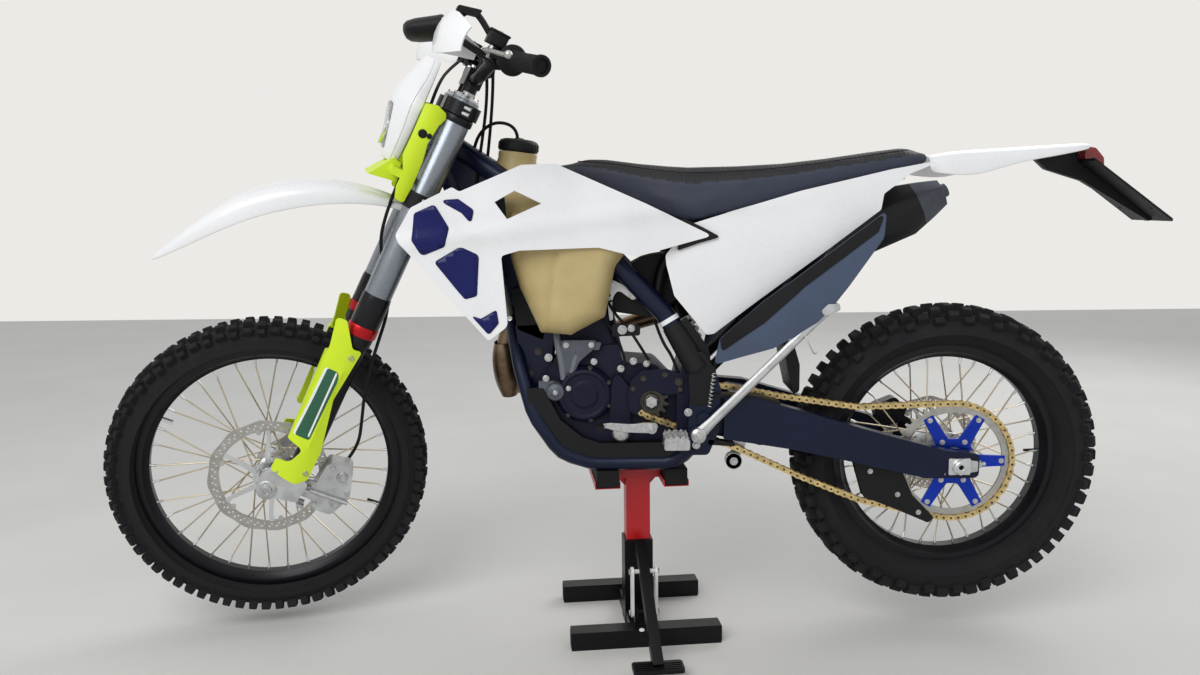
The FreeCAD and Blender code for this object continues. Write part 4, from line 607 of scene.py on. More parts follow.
def piece(name, shapes, body, finishes, place=BIKE, *, replaces=None, edge=0.0, smooth=40,
          levels=0, thick=0.0):
    """Joins shapes into one object on a body; a shape without a number keeps its faces' own finishes."""
    mesh = bpy.data.meshes.new(name)
    whole = bmesh.new()
    for item in shapes if isinstance(shapes, list) else [shapes]:
        shape, number = item if isinstance(item, tuple) else (item, None)
        if number is not None:
            for face in shape.faces:
                face.material_index = number
        part = bpy.data.meshes.new("part")
        shape.to_mesh(part)
        shape.free()
        whole.from_mesh(part)
        bpy.data.meshes.remove(part)
    bmesh.ops.transform(whole, verts=whole.verts[:], matrix=place)
    whole.to_mesh(mesh)
    whole.free()
    for made in finishes if isinstance(finishes, list) else [finishes]:
        mesh.materials.append(made)
    mesh.polygons.foreach_set("use_smooth", [True] * len(mesh.polygons))
    mesh.set_sharp_from_angle(angle=math.radians(smooth))
    made = bpy.data.objects.new(name, mesh)
    bpy.context.scene.collection.objects.link(made)
    if thick:
        modifier = made.modifiers.new("wall", "SOLIDIFY")
        modifier.thickness = thick / 1000
        modifier.offset = -1
    if edge:
        modifier = made.modifiers.new("edges", "BEVEL")
        modifier.width = edge / 1000
        modifier.segments = 2
        modifier.limit_method = "ANGLE"
        modifier.angle_limit = math.radians(35)
        modifier.harden_normals = True
    if levels:
        modifier = made.modifiers.new("smooth", "SUBSURF")
        modifier.levels = levels
        modifier.render_levels = levels
    if body:
        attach(made, body)
    if replaces:
        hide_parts(replaces)
    return made


def solid_of(node):
    """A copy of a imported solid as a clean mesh, in millimetres."""
    bm = bmesh.new()
    bm.from_mesh(frame["nodes"][node].data)
    bmesh.ops.remove_doubles(bm, verts=bm.verts[:], dist=1e-5)
    bmesh.ops.dissolve_limit(bm, angle_limit=math.radians(1), verts=bm.verts[:], edges=bm.edges[:])
    bmesh.ops.transform(bm, verts=bm.verts[:], matrix=Matrix.Scale(1000, 4))
    return bm


def dressed(node, body, made, edge, name=None):
    """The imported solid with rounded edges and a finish."""
    piece(name or f"{node}_dressed", solid_of(node), body, made, replaces=node, edge=edge)


# Stage: places in metres, lamps in watts, the lens and its sensor in millimetres

FLOOR_HALF = 6
LAMP_AIM = Vector((0, 0, 0.6))
LAMP_SIZE = 3.0
LAMPS = [("key", (-1.6, -3.2, 3.4), 88), ("fill", (2.6, 2.6, 3.0), 44)]
CAMERA_SPOT = (-0.0468, -2.1060, 0.9530)
CAMERA_LENS = 28.81
CAMERA_SENSOR = 36


def make_world():
    """Pale surroundings: a soft light on the object, near white where the camera or a reflection sees it."""
    world = bpy.data.worlds.new("pale_studio")
    bpy.context.scene.world = world
    world.use_nodes = True
    tree = world.node_tree
    tree.nodes.clear()
    path = add(tree, "LightPath")
    seen = path.outputs["Is Camera Ray"]
    for ray in ("Is Glossy Ray", "Is Transmission Ray"):
        seen = add(tree, "Math", {0: seen, 1: path.outputs[ray]}, operation="MAXIMUM").outputs[0]
    light = add(tree, "Background", {"Color": (0.93, 0.96, 1.0, 1), "Strength": 0.56})
    pale = add(tree, "Background", {"Color": rgba(shade("ECEAE6")), "Strength": 1.0})
    mixed = add(tree, "MixShader", {0: seen, 1: light.outputs[0], 2: pale.outputs[0]})
    add(tree, "OutputWorld", {"Surface": mixed.outputs[0]})


def make_lamp(name, spot, watts):
    """Round soft lamp that looks at the bike."""
    lamp = bpy.data.lights.new(name, "AREA")
    lamp.shape = "DISK"
    lamp.size = LAMP_SIZE
    lamp.energy = watts
    holder = bpy.data.objects.new(name, lamp)
    bpy.context.scene.collection.objects.link(holder)
    way = LAMP_AIM - Vector(spot)
    holder.matrix_world = Matrix.Translation(spot) @ way.to_track_quat("-Z", "Y").to_matrix().to_4x4()


def make_camera():
    """The photograph's viewpoint."""
    data = bpy.data.cameras.new("camera")
    data.lens = CAMERA_LENS
    data.sensor_width = CAMERA_SENSOR
    holder = bpy.data.objects.new("camera", data)
    pitch, yaw, roll = 0.14045, -0.01523, 0.01251
    ahead = Vector((math.sin(yaw) * math.cos(pitch), math.cos(yaw) * math.cos(pitch), -math.sin(pitch)))
    right = Vector((math.cos(yaw), -math.sin(yaw), 0))
    down = ahead.cross(right)
    across = right * math.cos(roll) + down * math.sin(roll)
    up = right * math.sin(roll) - down * math.cos(roll)
    turn = Matrix((across, up, -ahead)).transposed().to_4x4()
    holder.matrix_world = Matrix.Translation(CAMERA_SPOT) @ turn
    bpy.context.scene.collection.objects.link(holder)
    bpy.context.scene.camera = holder


class DIRTBIKE_OT_stage(bpy.types.Operator):
    """Sets the pale floor, the soft light and the camera"""
    bl_idname = "dirtbike.stage"
    bl_label = "Stage"

    def execute(self, context):
        context.scene.view_settings.view_transform = "Standard"
        make_camera()
        make_world()
        for name, spot, watts in LAMPS:
            make_lamp(name, spot, watts)
        bm = bmesh.new()
        bmesh.ops.create_grid(bm, x_segments=1, y_segments=1, size=FLOOR_HALF)
        mesh = bpy.data.meshes.new("floor")
        bm.to_mesh(mesh)
        bm.free()
        mesh.materials.append(pale_concrete())
        floor = bpy.data.objects.new("floor", mesh)
        context.scene.collection.objects.link(floor)
        return {"FINISHED"}


# Wheels

def knob(length, wide, tall, spot, lean):
    """Tread block at an angle round the wheel: spot is (angle, across, radius), lean tips it outwards."""
    bm = bmesh.new()
    bmesh.ops.create_cube(bm, size=1, matrix=Matrix.Diagonal((length, wide, tall, 1)))
    for vertex in bm.verts:
        if vertex.co.z > 0:
            vertex.co.x *= 0.84
            vertex.co.y *= 0.84
    bmesh.ops.bevel(bm, geom=[edge for edge in bm.edges if all(v.co.z > 0 for v in edge.verts)],
                    offset=1.2, segments=1, profile=0.5, affect="EDGES", material=-1)
    angle, across, radius = spot
    place = (Matrix.Rotation(angle, 4, "Y") @ Matrix.Translation((0, across, radius))
             @ Matrix.Rotation(-lean, 4, "X"))
    return moved(bm, place)


# Columns: share of a repeat, distance from the middle, drop below the tread, length, width, lean in degrees
FRONT_KNOBS = [(0.0, 13, 0, 21, 17, 8), (0.5, 26, 3, 20, 18, 22), (0.0, 40, 11, 22, 13, 48),
               (0.5, 42, 14, 17, 12, 55)]
REAR_KNOBS = [(0.0, 17, 0, 24, 25, 6), (0.5, 36, 4, 24, 21, 18), (0.0, 52, 12, 26, 17, 38),
              (0.5, 59, 22, 22, 14, 56), (0.5, 0, -1, 22, 26, 0)]


def tyre(name, radius, width, bead, rim_width, knob_height, knobs, repeats, body, place):
    """Knobbly tyre: a turned carcass with tread blocks in rows round it."""
    half = width / 2
    base = radius - knob_height
    seat = rim_width / 2 - 4
    rows = [(0, base), (half * 0.3, base - 1), (half * 0.58, base - 6), (half * 0.8, base - 16),
            (half * 0.94, base - 32), (half, base - 46), (half * 0.97, (base + bead) / 2),
            (half * 0.86, bead + 30), (half * 0.8, bead + 28), (half * 0.74, bead + 22),
            (half * 0.66, bead + 18), (seat + 1.5, bead + 10), (seat, bead + 1)]
    profile = [(-y, r) for y, r in reversed(rows)] + rows[1:]
    shapes = [turned(profile, steps=120, loop=True)]
    # The blocks start 6 mm inside the carcass, and those on the right stand half a repeat further round
    for share, across, below, length, wide, lean in knobs:
        reach = radius - below - knob_height / 2 - 3
        for side in ((-1, 1) if across else (1,)):
            shift = 0.5 if side > 0 else 0.0
            tip = math.radians(lean) * side
            for i in range(repeats):
                angle = 2 * math.pi * (i + share + shift) / repeats
                shapes.append(knob(length, wide, knob_height + 6, (angle, across * side, reach), tip))
    piece(name, shapes, body, tyre_rubber(), place, replaces=name, smooth=35)


def rim(name, bead, width, body, place):
    """Deep-well rim with rolled flanges, spoke nipples, a valve and a rim lock."""
    half = width / 2
    rows = [(-half, bead + 14), (-half - 0.5, bead + 12), (-half, bead - 3), (-half * 0.6, bead - 10),
            (-half * 0.42, bead - 16), (half * 0.42, bead - 16), (half * 0.6, bead - 10), (half, bead - 3),
            (half + 0.5, bead + 12), (half, bead + 14), (half - 3, bead + 13), (half - 3.4, bead),
            (half * 0.4, bead - 11), (-half * 0.4, bead - 11), (-half + 3.4, bead), (-half + 3, bead + 13)]
    shapes = [(turned(rows, steps=120, loop=True), 0)]
    for side in (-1, 1):
        nipple = rod((0, side * 5, bead - 12), (0, side * 8, bead - 30), 3.4, 2.6, segments=8)
        start = 0 if side > 0 else math.pi / 18
        shapes += numbered(1, around(nipple, 18, start))
    shapes.append((rod((bead - 12, 0, 0), (bead - 44, 0, 0), 4, 3, segments=10), 2))
    shapes.append((rod((-bead + 12, 0, 20), (-bead + 40, 0, 20), 5.5, segments=6), 1))
    piece(name, shapes, body, [black_anodised(), machined_aluminium(), black_plastic()], place,
          replaces=name)


def spoke_set(hub_r, flange_y, rim_r, sweep):
    """Crossed round spokes, each with its head through its flange."""
    shapes = []
    radius = sizes().spoke * 1000 / 2
    count = 36
    for index in range(count):
        side = 1 if index % 2 == 0 else -1
        lead = sweep if (index // 2) % 2 else -sweep
        rim_angle = 2 * math.pi * index / count
        hub_angle = rim_angle - math.radians(lead)
        inset = 3.2 if lead > 0 else -3.2
        one = Vector((hub_r * math.sin(hub_angle), side * (flange_y + inset), hub_r * math.cos(hub_angle)))
        two = Vector((rim_r * math.sin(rim_angle), side * 7, rim_r * math.cos(rim_angle)))
        shapes.append(rod(one, two, radius, segments=8))
        shapes.append(rod(one + Vector((0, 3.4, 0)), one - Vector((0, 3.4, 0)), 2.6, segments=8))
    return shapes


def front_hub():
    """Machined front hub with waisted barrel, drilled flanges and disc carrier."""
    rows = [(-62, 10.4), (-62, 20), (-59, 22), (-44, 22), (-40, 26), (-36, 36), (-34, 37.5), (-31, 37.5),
            (-29, 35), (-24, 22), (-10, 18), (10, 18), (24, 22), (29, 35), (31, 37.5), (34, 37.5), (36, 36),
            (41, 22), (59, 22), (62, 20), (62, 10.4)]
    shapes = [(turned(rows, loop=True), 0)]
    shapes += numbered(1, spoke_set(32.5, 33, 240, 62))
    piece("front_hub_spokes", shapes, "front_wheel", [cast_aluminium(), spoke_steel()], FRONT_WHEEL,
          replaces="front_hub")


def rear_hub():
    """Machined rear hub with broad flanges, cush ribs and sprocket seat."""
    rows = [(-88, 10.4), (-88, 28), (-86, 30), (-74, 30), (-68, 34), (-50, 36), (-47, 52), (-44, 53.5),
            (-41, 53.5), (-39, 51), (-34, 34), (-12, 29), (12, 29), (34, 34), (39, 51), (41, 53.5),
            (44, 53.5), (47, 52), (50, 36), (66, 32), (86, 30), (88, 28), (88, 10.4)]
    shapes = [(turned(rows, loop=True), 0)]
    rib = slab([(30, -2.5), (48, -2.5), (48, 2.5), (30, 2.5)], -86, -47)
    shapes += numbered(0, around(rib, 6))
    shapes += numbered(1, spoke_set(48, 43.5, 202, 58))
    piece("rear_hub_spokes", shapes, "rear_wheel", [cast_aluminium(), spoke_steel()], REAR_WHEEL,
          replaces="rear_hub")


def ring_with_waves(inner, outer, teeth, depth, thick, holes=0, steps=6):
    """Flat ring about Y with waved edges and rows of holes."""
    bm = bmesh.new()
    count = teeth * steps
    bands = 4
    rows = [inner + (outer - inner) * i / bands for i in range(bands + 1)]
    verts = [bm.verts.new((0, 0, row)) for row in rows]
    edges = [bm.edges.new(pair) for pair in zip(verts, verts[1:])]
    bmesh.ops.spin(bm, geom=verts + edges, cent=(0, 0, 0), axis=(0, 1, 0), dvec=(0, 0, 0),
                   angle=2 * math.pi, steps=count, use_merge=True, use_duplicate=False)
    for vertex in bm.verts:
        reach = vertex.co.length
        wave = math.cos(teeth * math.atan2(vertex.co.x, vertex.co.z))
        share = (reach - inner) / (outer - inner)
        # The outer edge waves fully, the inner one less and against it, the rows between not at all
        part = 1 if share > 0.9 else -0.4 if share < 0.1 else 0
        vertex.co *= 1 + depth * wave * part / reach
    if holes:
        cells = []
        for face in bm.faces:
            spot = face.calc_center_median()
            band = int((spot.length - inner) / (outer - inner) * bands)
            place = int((math.atan2(spot.x, spot.z) / (2 * math.pi) % 1) * count)
            if band in (1, 2) and (place + band * holes // 2) % holes == 0:
                cells.append(face)
        bmesh.ops.inset_individual(bm, faces=cells, thickness=0.6, depth=0)
        bmesh.ops.delete(bm, geom=cells, context="FACES")
    bmesh.ops.translate(bm, verts=bm.verts[:], vec=(0, thick / 2, 0))
    return wall(bm, thick)


def brake_disc(name, outer, side_y, bore, body, place):
    """Waved brake disc: drilled band, floating buttons and swept carrier arms."""
    band = outer - 25
    shapes = [(ring_with_waves(band, outer - 1.6, 12, 1.6, 4, holes=3, steps=12), 0)]
    arm = slab([(bore + 6, -5, 2), (band - 10, -16, 3), (band + 1, -15, 2), (band + 1, -5, 2),
                (band - 12, -7, 3), (bore + 8, 7, 2)], -2.2, 2.2)
    shapes += numbered(1, around(arm, 6))
    shapes.append((ring_with_waves(bore + 0.3, bore + 13, 6, 1.5, 5), 1))
    button = rod((band - 2, -3, 10), (band - 2, 3, 10), 5.5, segments=16)
    shapes += numbered(2, around(button, 6, math.radians(1)))
    screw = rod((bore + 7, -6, 0), (bore + 7, 4, 0), 4.5, segments=6)
    shapes += numbered(2, around(screw, 6, math.radians(8)))
    piece(f"{name}_waved", shapes, body, [disc_steel(), machined_aluminium(), zinc_steel()],
          place @ Matrix.Translation((0, side_y, 0)), replaces=name, smooth=30)


class DIRTBIKE_OT_wheels(bpy.types.Operator):
    """Builds the tyres, rims, hubs with their spokes, and brake discs"""
    bl_idname = "dirtbike.wheels"
    bl_label = "Wheels"

    def execute(self, context):
        front, rear = sizes().front_knob * 1000, sizes().rear_knob * 1000
        tyre("front_tyre", 344, 96, 270, 44, front, FRONT_KNOBS, 36, "front_wheel", FRONT_WHEEL)
        tyre("rear_tyre", 332, 134, 232, 62, rear, REAR_KNOBS, 30, "rear_wheel", REAR_WHEEL)
        rim("front_rim", 270, 44, "front_wheel", FRONT_WHEEL)
        rim("rear_rim", 232, 62, "rear_wheel", REAR_WHEEL)
        front_hub()
        rear_hub()
        brake_disc("front_disc", 130, -57, 22, "front_wheel", FRONT_WHEEL)
        brake_disc("rear_disc", 110, 79, 30, "rear_wheel", REAR_WHEEL)
        return {"FINISHED"}


# Bodywork

def between(table, at):
    """Value at a place in a table of (place, value) rows, along straight runs."""
    if at <= table[0][0]:
        return table[0][1]
    for (x1, y1), (x2, y2) in zip(table, table[1:]):
        if at <= x2:
            return y1 + (y2 - y1) * (at - x1) / (x2 - x1)
    return table[-1][1]


def eased(share):
    """Soft step from 0 to 1 as share runs from 0 to 1."""
    share = max(0.0, min(1.0, share))
    return share * share * (3 - 2 * share)


def edge_distance(rows, x, z):
    """Distance from a point to the nearest side of an outline."""
    spot = Vector((x, z))
    best = 1e9
    for one, two in zip(rows, rows[1:] + rows[:1]):
        a, b = Vector(one[:2]), Vector(two[:2])
        share = max(0.0, min(1.0, (spot - a).dot(b - a) / (b - a).length_squared))
        best = min(best, (spot - a - (b - a) * share).length)
    return best


def pillow(rows, low, high, rim, step, grooves=()):
    """Sheet that rises from low at its outline to high over the width rim; grooves are (x at a height of
    800, lean, width, depth)."""
    def plan(x, z):
        share = min(1.0, edge_distance(rows, x, z) / rim)
        out = low + (high - low) * math.sqrt(max(0.0, 1 - (1 - share) ** 2))
        for groove_x, lean, wide, deep in grooves:
            away = abs(x - groove_x - (z - 800) * lean) / wide
            out -= deep * math.exp(-away * away)
        return out
    return sheet(rows, plan, step)


def skin(lines):
    """Skin bridged through open lines of points."""
    bm = bmesh.new()
    chains = []
    for line in lines:
        verts = [bm.verts.new(spot) for spot in line]
        chains.append([bm.edges.new(pair) for pair in zip(verts, verts[1:])])
    for one, two in zip(chains, chains[1:]):
        bmesh.ops.bridge_loops(bm, edges=one + two)
    bmesh.ops.recalc_face_normals(bm, faces=bm.faces[:])
    return bm


def facing(bm, way):
    """Turns an open skin so that its faces look along a direction."""
    bm.normal_update()
    if sum(face.normal.dot(Vector(way)) * face.calc_area() for face in bm.faces) < 0:
        bmesh.ops.reverse_faces(bm, faces=bm.faces[:])
    return bm


SHROUD = [(-302, 676, 6), (-262, 706, 16), (-272, 848, 8), (-236, 858, 8), (-77, 861, 10), (0, 841, 10),
          (156, 881, 5), (20, 948, 24), (-162, 1030, 14), (-230, 1028, 12), (-350, 976, 8), (-364, 985, 6),
          (-446, 946, 10), (-478, 893, 10), (-472, 877, 6)]
SHROUD_WINDOW = [(-282, 955), (-243, 977), (-190, 951), (-258, 921)]
SHROUD_PLAN = [(-500, 214), (-400, 206), (-270, 186), (-120, 160), (-20, 154), (40, 142), (110, 129),
               (200, 126)]


def shroud_face(x, z):
    """The shroud's outer face: leaning in above, with a raised rib along it under the window."""
    out = between(SHROUD_PLAN, x)
    out -= 20 * eased((z - 930) / 110) * eased((x + 420) / 150)
    rib = (z - 905) - (x + 150) * 0.12
    out += 5 * eased((rib + 22) / 30) - 5 * eased((rib - 6) / 30)
    lower = z - (860 + (x + 260) * -0.75)
    return out - 8 * eased(-lower / 60) * eased((-250 - x) / 60)


# Plain stripes in place of the printed graphics: three slanted bands and a corner
STRIPES = [
    [(-440, 935, 8), (-398, 952, 8), (-372, 905, 8), (-382, 868, 8), (-428, 850, 10), (-446, 882, 8)],
    [(-404, 838, 6), (-352, 868, 14), (-316, 850, 10), (-322, 768, 6), (-346, 762, 6), (-362, 782, 6)],
    [(-390, 960, 5), (-352, 962, 5), (-322, 940, 8), (-328, 912, 6), (-346, 934, 8)],
    [(-336, 730, 6), (-316, 722, 4), (-284, 740, 4), (-280, 712, 6), (-301, 688, 6)],
]

# Columns: along, distance from the middle
LEFT_PLAN = [(40, 122), (150, 121), (217, 120), (400, 126), (560, 116), (660, 100)]
RIGHT_PLAN = [(40, 122), (180, 121), (260, 160), (350, 188), (500, 192), (660, 140)]
LEFT_COVER_PLAN = [(120, 124), (217, 134), (320, 156), (560, 158)]
RIGHT_COVER_PLAN = [(120, 124), (180, 134), (260, 172), (330, 204), (560, 206)]
PANEL_FRONT = [(112, 905, 6), (60, 842, 10), (62, 822, 10)]
PANEL_LOW = [(78, 758, 12), (146, 674, 8), (162, 676, 8), (256, 748, 14)]
PANEL_LOW_RIGHT = [(78, 768, 12), (168, 752, 12), (192, 700, 8), (256, 748, 14)]
PANEL_REAR = [(501, 930, 8), (506, 962, 8), (560, 1002, 10), (632, 1030, 10), (520, 1011, 30),
              (336, 970, 30), (217, 936, 30)]
COVER = [(160, 612, 8), (282, 648, 20), (370, 702, 14), (398, 732, 14), (431, 776, 20), (498, 874, 20),
         (502, 928, 6), (262, 750, 10), (172, 668, 8)]
COVER_BAND = [(172, 668, 6), (176, 640, 6), (262, 702, 8), (340, 776, 20), (420, 836, 14), (486, 886, 14),
              (500, 926, 6), (262, 749, 10)]


def side_panel_face(plan):
    """The side panel's outer face: rounded over its height, with a crease near its top."""
    def face(x, z):
        middle = 840 + (x - 200) * 0.42
        out = between(plan, x) - 10 * ((z - middle) / 130) ** 2
        crease = z - (925 + (x - 120) * 0.13)
        return out + 3.5 * eased((crease + 16) / 14) * eased((420 - x) / 120)
    return face


def cover_face(plan, lift):
    """Outer face of the cover under a side panel, or of the band lift millimetres above it."""
    def face(x, z):
        middle = 700 + (x - 200) * 0.62
        return between(plan, x) - 12 * ((z - middle) / 110) ** 2 + lift
    return face


class DIRTBIKE_OT_shrouds(bpy.types.Operator):
    """Builds the radiator shrouds with their windows and plain stripes"""
    bl_idname = "dirtbike.shrouds"
    bl_label = "Shrouds"

    def execute(self, context):
        shell = sheet(SHROUD, shroud_face, 12, [SHROUD_WINDOW])
        piece("shroud_shells", both(shell), "frame", glossy_white_plastic(), replaces="shrouds",
              thick=3.2, edge=1.0, smooth=50)
        bands = []
        for rows in STRIPES:
            bands += both(sheet(rows, lambda x, z: shroud_face(x, z) + 1.1, 12))
        piece("shroud_stripes", bands, "frame", navy_film(), thick=0.9, smooth=50)
        # Painted shadow: a black strip between the side panel and the shroud's tip, drawing the dark line of
        # shade where the shroud overlaps the panel
        gap_shadow_strip = slab([(96, 918, 3), (134, 900, 3), (169.5, 880.5, 2), (166, 876.5, 2), (128, 866, 3),
                    (84, 851, 3)], 119.5, 125)
        piece("shroud_gap_painted_shadows", both(gap_shadow_strip), "frame", black_plastic())
        x, z = -258, 722
        out = shroud_face(x, z)
        screw = turned([(out - 4, 5), (out + 0.6, 5.4), (out + 1.8, 4.6), (out + 1.2, 2.4),
                        (out - 1.5, 2.2), (out - 1.5, 0)], (x, 0, z), steps=16)
        piece("shroud_screws", both(screw), "frame", zinc_steel())
        return {"FINISHED"}


class DIRTBIKE_OT_side_panels(bpy.types.Operator):
    """Builds the side panels and the covers below them"""
    bl_idname = "dirtbike.side_panels"
    bl_label = "Side panels"

    def execute(self, context):
        left = moved(sheet(PANEL_FRONT + PANEL_LOW + PANEL_REAR, side_panel_face(LEFT_PLAN), 14), OTHER_SIDE)
        right = sheet(PANEL_FRONT + PANEL_LOW_RIGHT + PANEL_REAR, side_panel_face(RIGHT_PLAN), 14)
        piece("side_panel_shells", [left, right], "frame", glossy_white_plastic(), replaces="side_panels",
              thick=3.2, edge=1.0, smooth=50)
        shapes = []
        for plan, mirror in ((LEFT_COVER_PLAN, True), (RIGHT_COVER_PLAN, False)):
            for rows, lift, number in ((COVER, 0.0, 0), (COVER_BAND, 1.6, 1)):
                shape = sheet(rows, cover_face(plan, lift), 14)
                shapes.append((moved(shape, OTHER_SIDE) if mirror else shape, number))
        piece("subframe_cover_shells", shapes, "frame", [slate_plastic(), black_plastic()],
              replaces="subframe_covers", thick=3.2, edge=1.0, smooth=50)
        return {"FINISHED"}


LOBE = [(-262, 935, 12), (-262, 840, 18), (-243, 775, 20), (-202, 682, 16), (-138, 676, 20), (-66, 714, 18),
        (-44, 818, 12), (-20, 850, 10), (-20, 935, 10)]


class DIRTBIKE_OT_tank(bpy.types.Operator):
    """Builds the fuel tank with its side lobes, neck, cap and vent hose"""
    bl_idname = "dirtbike.tank"
    bl_label = "Tank"

    def execute(self, context):
        rows = [(-322, 980, 930, 46, 70), (-270, 1014, 900, 52, 110), (-160, 1004, 880, 60, 124),
                (-40, 974, 872, 56, 118), (60, 938, 880, 44, 90)]
        rings = []
        for x, top, low, wide, shoulder in rows:
            middle = (top + low) / 2
            rings.append([(x, -wide, top), (x, -shoulder, middle), (x, -shoulder, low), (x, 0, low),
                          (x, shoulder, low), (x, shoulder, middle), (x, wide, top), (x, 0, top + 4)])
        top = loft(rings)
        bmesh.ops.bevel(top, geom=top.edges[:], offset=9, segments=2, profile=0.5, affect="EDGES",
                        material=-1, clamp_overlap=True)
        lobe = pillow(LOBE, 100, 150, 42, 7, [(-170, 0.12, 7, 5)])
        inner = facing(pillow(LOBE, 100, 84, 20, 14), (0, -1, 0))
        neck_top = 1062
        rows = [(980, 66), (1004, 56), (1030, 46), (1048, 41), (1056, 42), (neck_top, 41), (neck_top, 30)]
        neck = turned([(at - neck_top, radius) for at, radius in rows], axis="Z", steps=48)
        leaning = Matrix.Translation((-251, 0, 1060)) @ Matrix.Rotation(math.radians(7), 4, "Y")
        neck = moved(neck, leaning)
        piece("tank_shell", [top] + both(lobe) + both(inner) + [neck], "frame", tank_plastic(),
              replaces="fuel_tank", smooth=45)
        # Painted shadow: a black plate behind the left part of each shroud window, standing for the shade in
        # the gap between the shroud and the tank
        painted_shadow_plate = slab([(-312, 990, 4), (-269, 990, 4), (-262, 900, 4), (-312, 900, 4)], -141, -137)
        piece("window_painted_shadows", both(painted_shadow_plate), "frame", black_plastic(), edge=1)
        cap = [(1064, 30), (1064, 42), (1068, 43), (1082, 42.5), (1087, 39), (1090, 30), (1089, 12),
               (1093, 9), (1093, 0)]
        shapes = [turned(cap, axis="Z", steps=72)]
        grip = slab([(40, 1066, 1), (44, 1068, 1), (43.5, 1081, 1), (38, 1086, 1)], -1.8, 1.8)
        lowered = leaning @ Matrix.Translation((0, 0, -neck_top))
        shapes = [moved(shape, lowered) for shape in shapes + around(grip, 28, axis="Z")]
        piece("tank_cap", shapes, "frame", black_plastic(), replaces="filler_cap")
        vent = tube([(-251, 0, 1088), (-251, -4, 1104), (-268, -10, 1121), (-300, -14, 1124),
                     (-330, -12, 1104), (-346, -10, 1068), (-350, -8, 1030)], 3.6)
        piece("tank_vent", vent, "frame", soft_rubber())
        return {"FINISHED"}


# Columns: along, top, bottom, half width at the top, half width at the edge
SEAT_ROWS = [(-168, 1036, 1016, 26, 38), (-120, 1042, 1006, 36, 50), (-60, 1040, 980, 46, 70),
             (10, 1030, 946, 54, 88), (70, 1024, 919, 60, 98), (112, 1021, 906, 64, 104),
             (217, 1022, 925, 76, 114), (310, 1026, 947, 82, 117), (400, 1035, 972, 86, 118),
             (490, 1047, 994, 84, 116), (560, 1055, 1012, 80, 110), (604, 1050, 1028, 72, 96)]


def seat_ring(x, top, low, wide, foot):
    """Cross line of the seat: upright sides, a rounded shoulder and a flat top."""
    edge = top - (top - low) * 0.32
    shoulder = edge * 0.35 + top * 0.65
    half = [(foot - 3, low), (foot, (low + edge) / 2), (foot - 1, edge), ((foot + wide) / 2, shoulder),
            (wide, top - 2), (wide * 0.5, top)]
    return [(x, y, z) for y, z in half] + [(x, 0, top)] + [(x, -y, z) for y, z in reversed(half)]


def stuffed(name, shape, cap):
    """Blows a cover up under cloth pressure, no further than cap millimetres, and keeps the result."""
    mesh = bpy.data.meshes.new(name)
    bmesh.ops.transform(shape, verts=shape.verts[:], matrix=MM)
    shape.to_mesh(mesh)
    shape.free()
    made = bpy.data.objects.new(name, mesh)
    bpy.context.scene.collection.objects.link(made)
    with bpy.context.temp_override(object=made, active_object=made, selected_objects=[made]):
        grid = made.modifiers.new("grid", "REMESH")
        grid.mode = "VOXEL"
        grid.voxel_size = 0.0055
        bpy.ops.object.modifier_apply(modifier=grid.name)
        start = [vertex.co.copy() for vertex in made.data.vertices]
        cloth = made.modifiers.new("cover", "CLOTH")
        cloth.settings.use_pressure = True
        cloth.settings.uniform_pressure_force = 4
        cloth.settings.effector_weights.gravity = 0
        for number in range(1, 21):
            bpy.context.scene.frame_set(number)
        bpy.ops.object.modifier_apply(modifier=cloth.name)
        bpy.context.scene.frame_set(1)
        for vertex, old in zip(made.data.vertices, start):
            way = vertex.co - old
            if way.length > cap / 1000:
                vertex.co = old + way.normalized() * cap / 1000
    shape = bmesh.new()
    shape.from_mesh(made.data)
    bpy.data.objects.remove(made)
    bmesh.ops.transform(shape, verts=shape.verts[:], matrix=Matrix.Scale(1000, 4))
    bmesh.ops.smooth_vert(shape, verts=shape.verts[:], factor=0.5, use_axis_x=True, use_axis_y=True,
                          use_axis_z=True)
    return shape


class DIRTBIKE_OT_seat(bpy.types.Operator):
    """Builds the stuffed seat with its sewn cover"""
    bl_idname = "dirtbike.seat"
    bl_label = "Seat"

    def execute(self, context):
        # The cover swells by a few millimetres, so it starts from a slightly smaller form
        rings = [seat_ring(x, top - 2, low + 1, wide - 3, foot - 3) for x, top, low, wide, foot in SEAT_ROWS]
        shape = loft(rings)
        bmesh.ops.subdivide_edges(shape, edges=shape.edges[:], cuts=2, use_grid_fill=True)
        cushion = stuffed("seat_cover", shape, 4)
        # Navy sides and ends, black ribbed top: the seam between them runs along the shoulder
        middle, half_top = 215, 395
        for face in cushion.faces:
            spot = face.calc_center_median()
            face.normal_update()
            at_end = abs(spot.x - middle) > half_top
            face.material_index = 1 if face.normal.z < 0.55 or at_end else 0
        covers = [seat_cover("ribbed_black_vinyl", "15171D", 0.35), seat_cover("navy_vinyl", "2C3244", 0.05)]
        made = piece("seat_cushion", cushion, "frame", covers, replaces="seat",
                     smooth=60, levels=1)
        for side in (-1, 1):
            line = [(x, side * (wide + foot) / 2, top - (top - low) * 0.1)
                    for x, top, low, wide, foot in SEAT_ROWS[1:-1]]
            piece("seat_seam_left" if side < 0 else "seat_seam_right", tube(line, 1.1, sides=8), "frame",
                  soft_rubber())
        return {"FINISHED"}


def fender_line(x, top, wide, skirt, slope, crown=3.0):
    """Cross line of a fender, its skirts hanging square to the fender's run."""
    down = Vector((math.sin(slope), 0, -math.cos(slope)))
    # Shares of the half width, each with its depth
    half = [(1, skirt), (0.985, skirt * 0.6), (0.93, skirt * 0.22), (0.74, 2), (0.56, -crown * 0.3),
            (0.5, crown), (0.25, crown), (0, crown)]
    spots = half + [(-share, deep) for share, deep in reversed(half[:-1])]
    return [Vector((x, wide * share, top)) + down * deep for share, deep in spots]


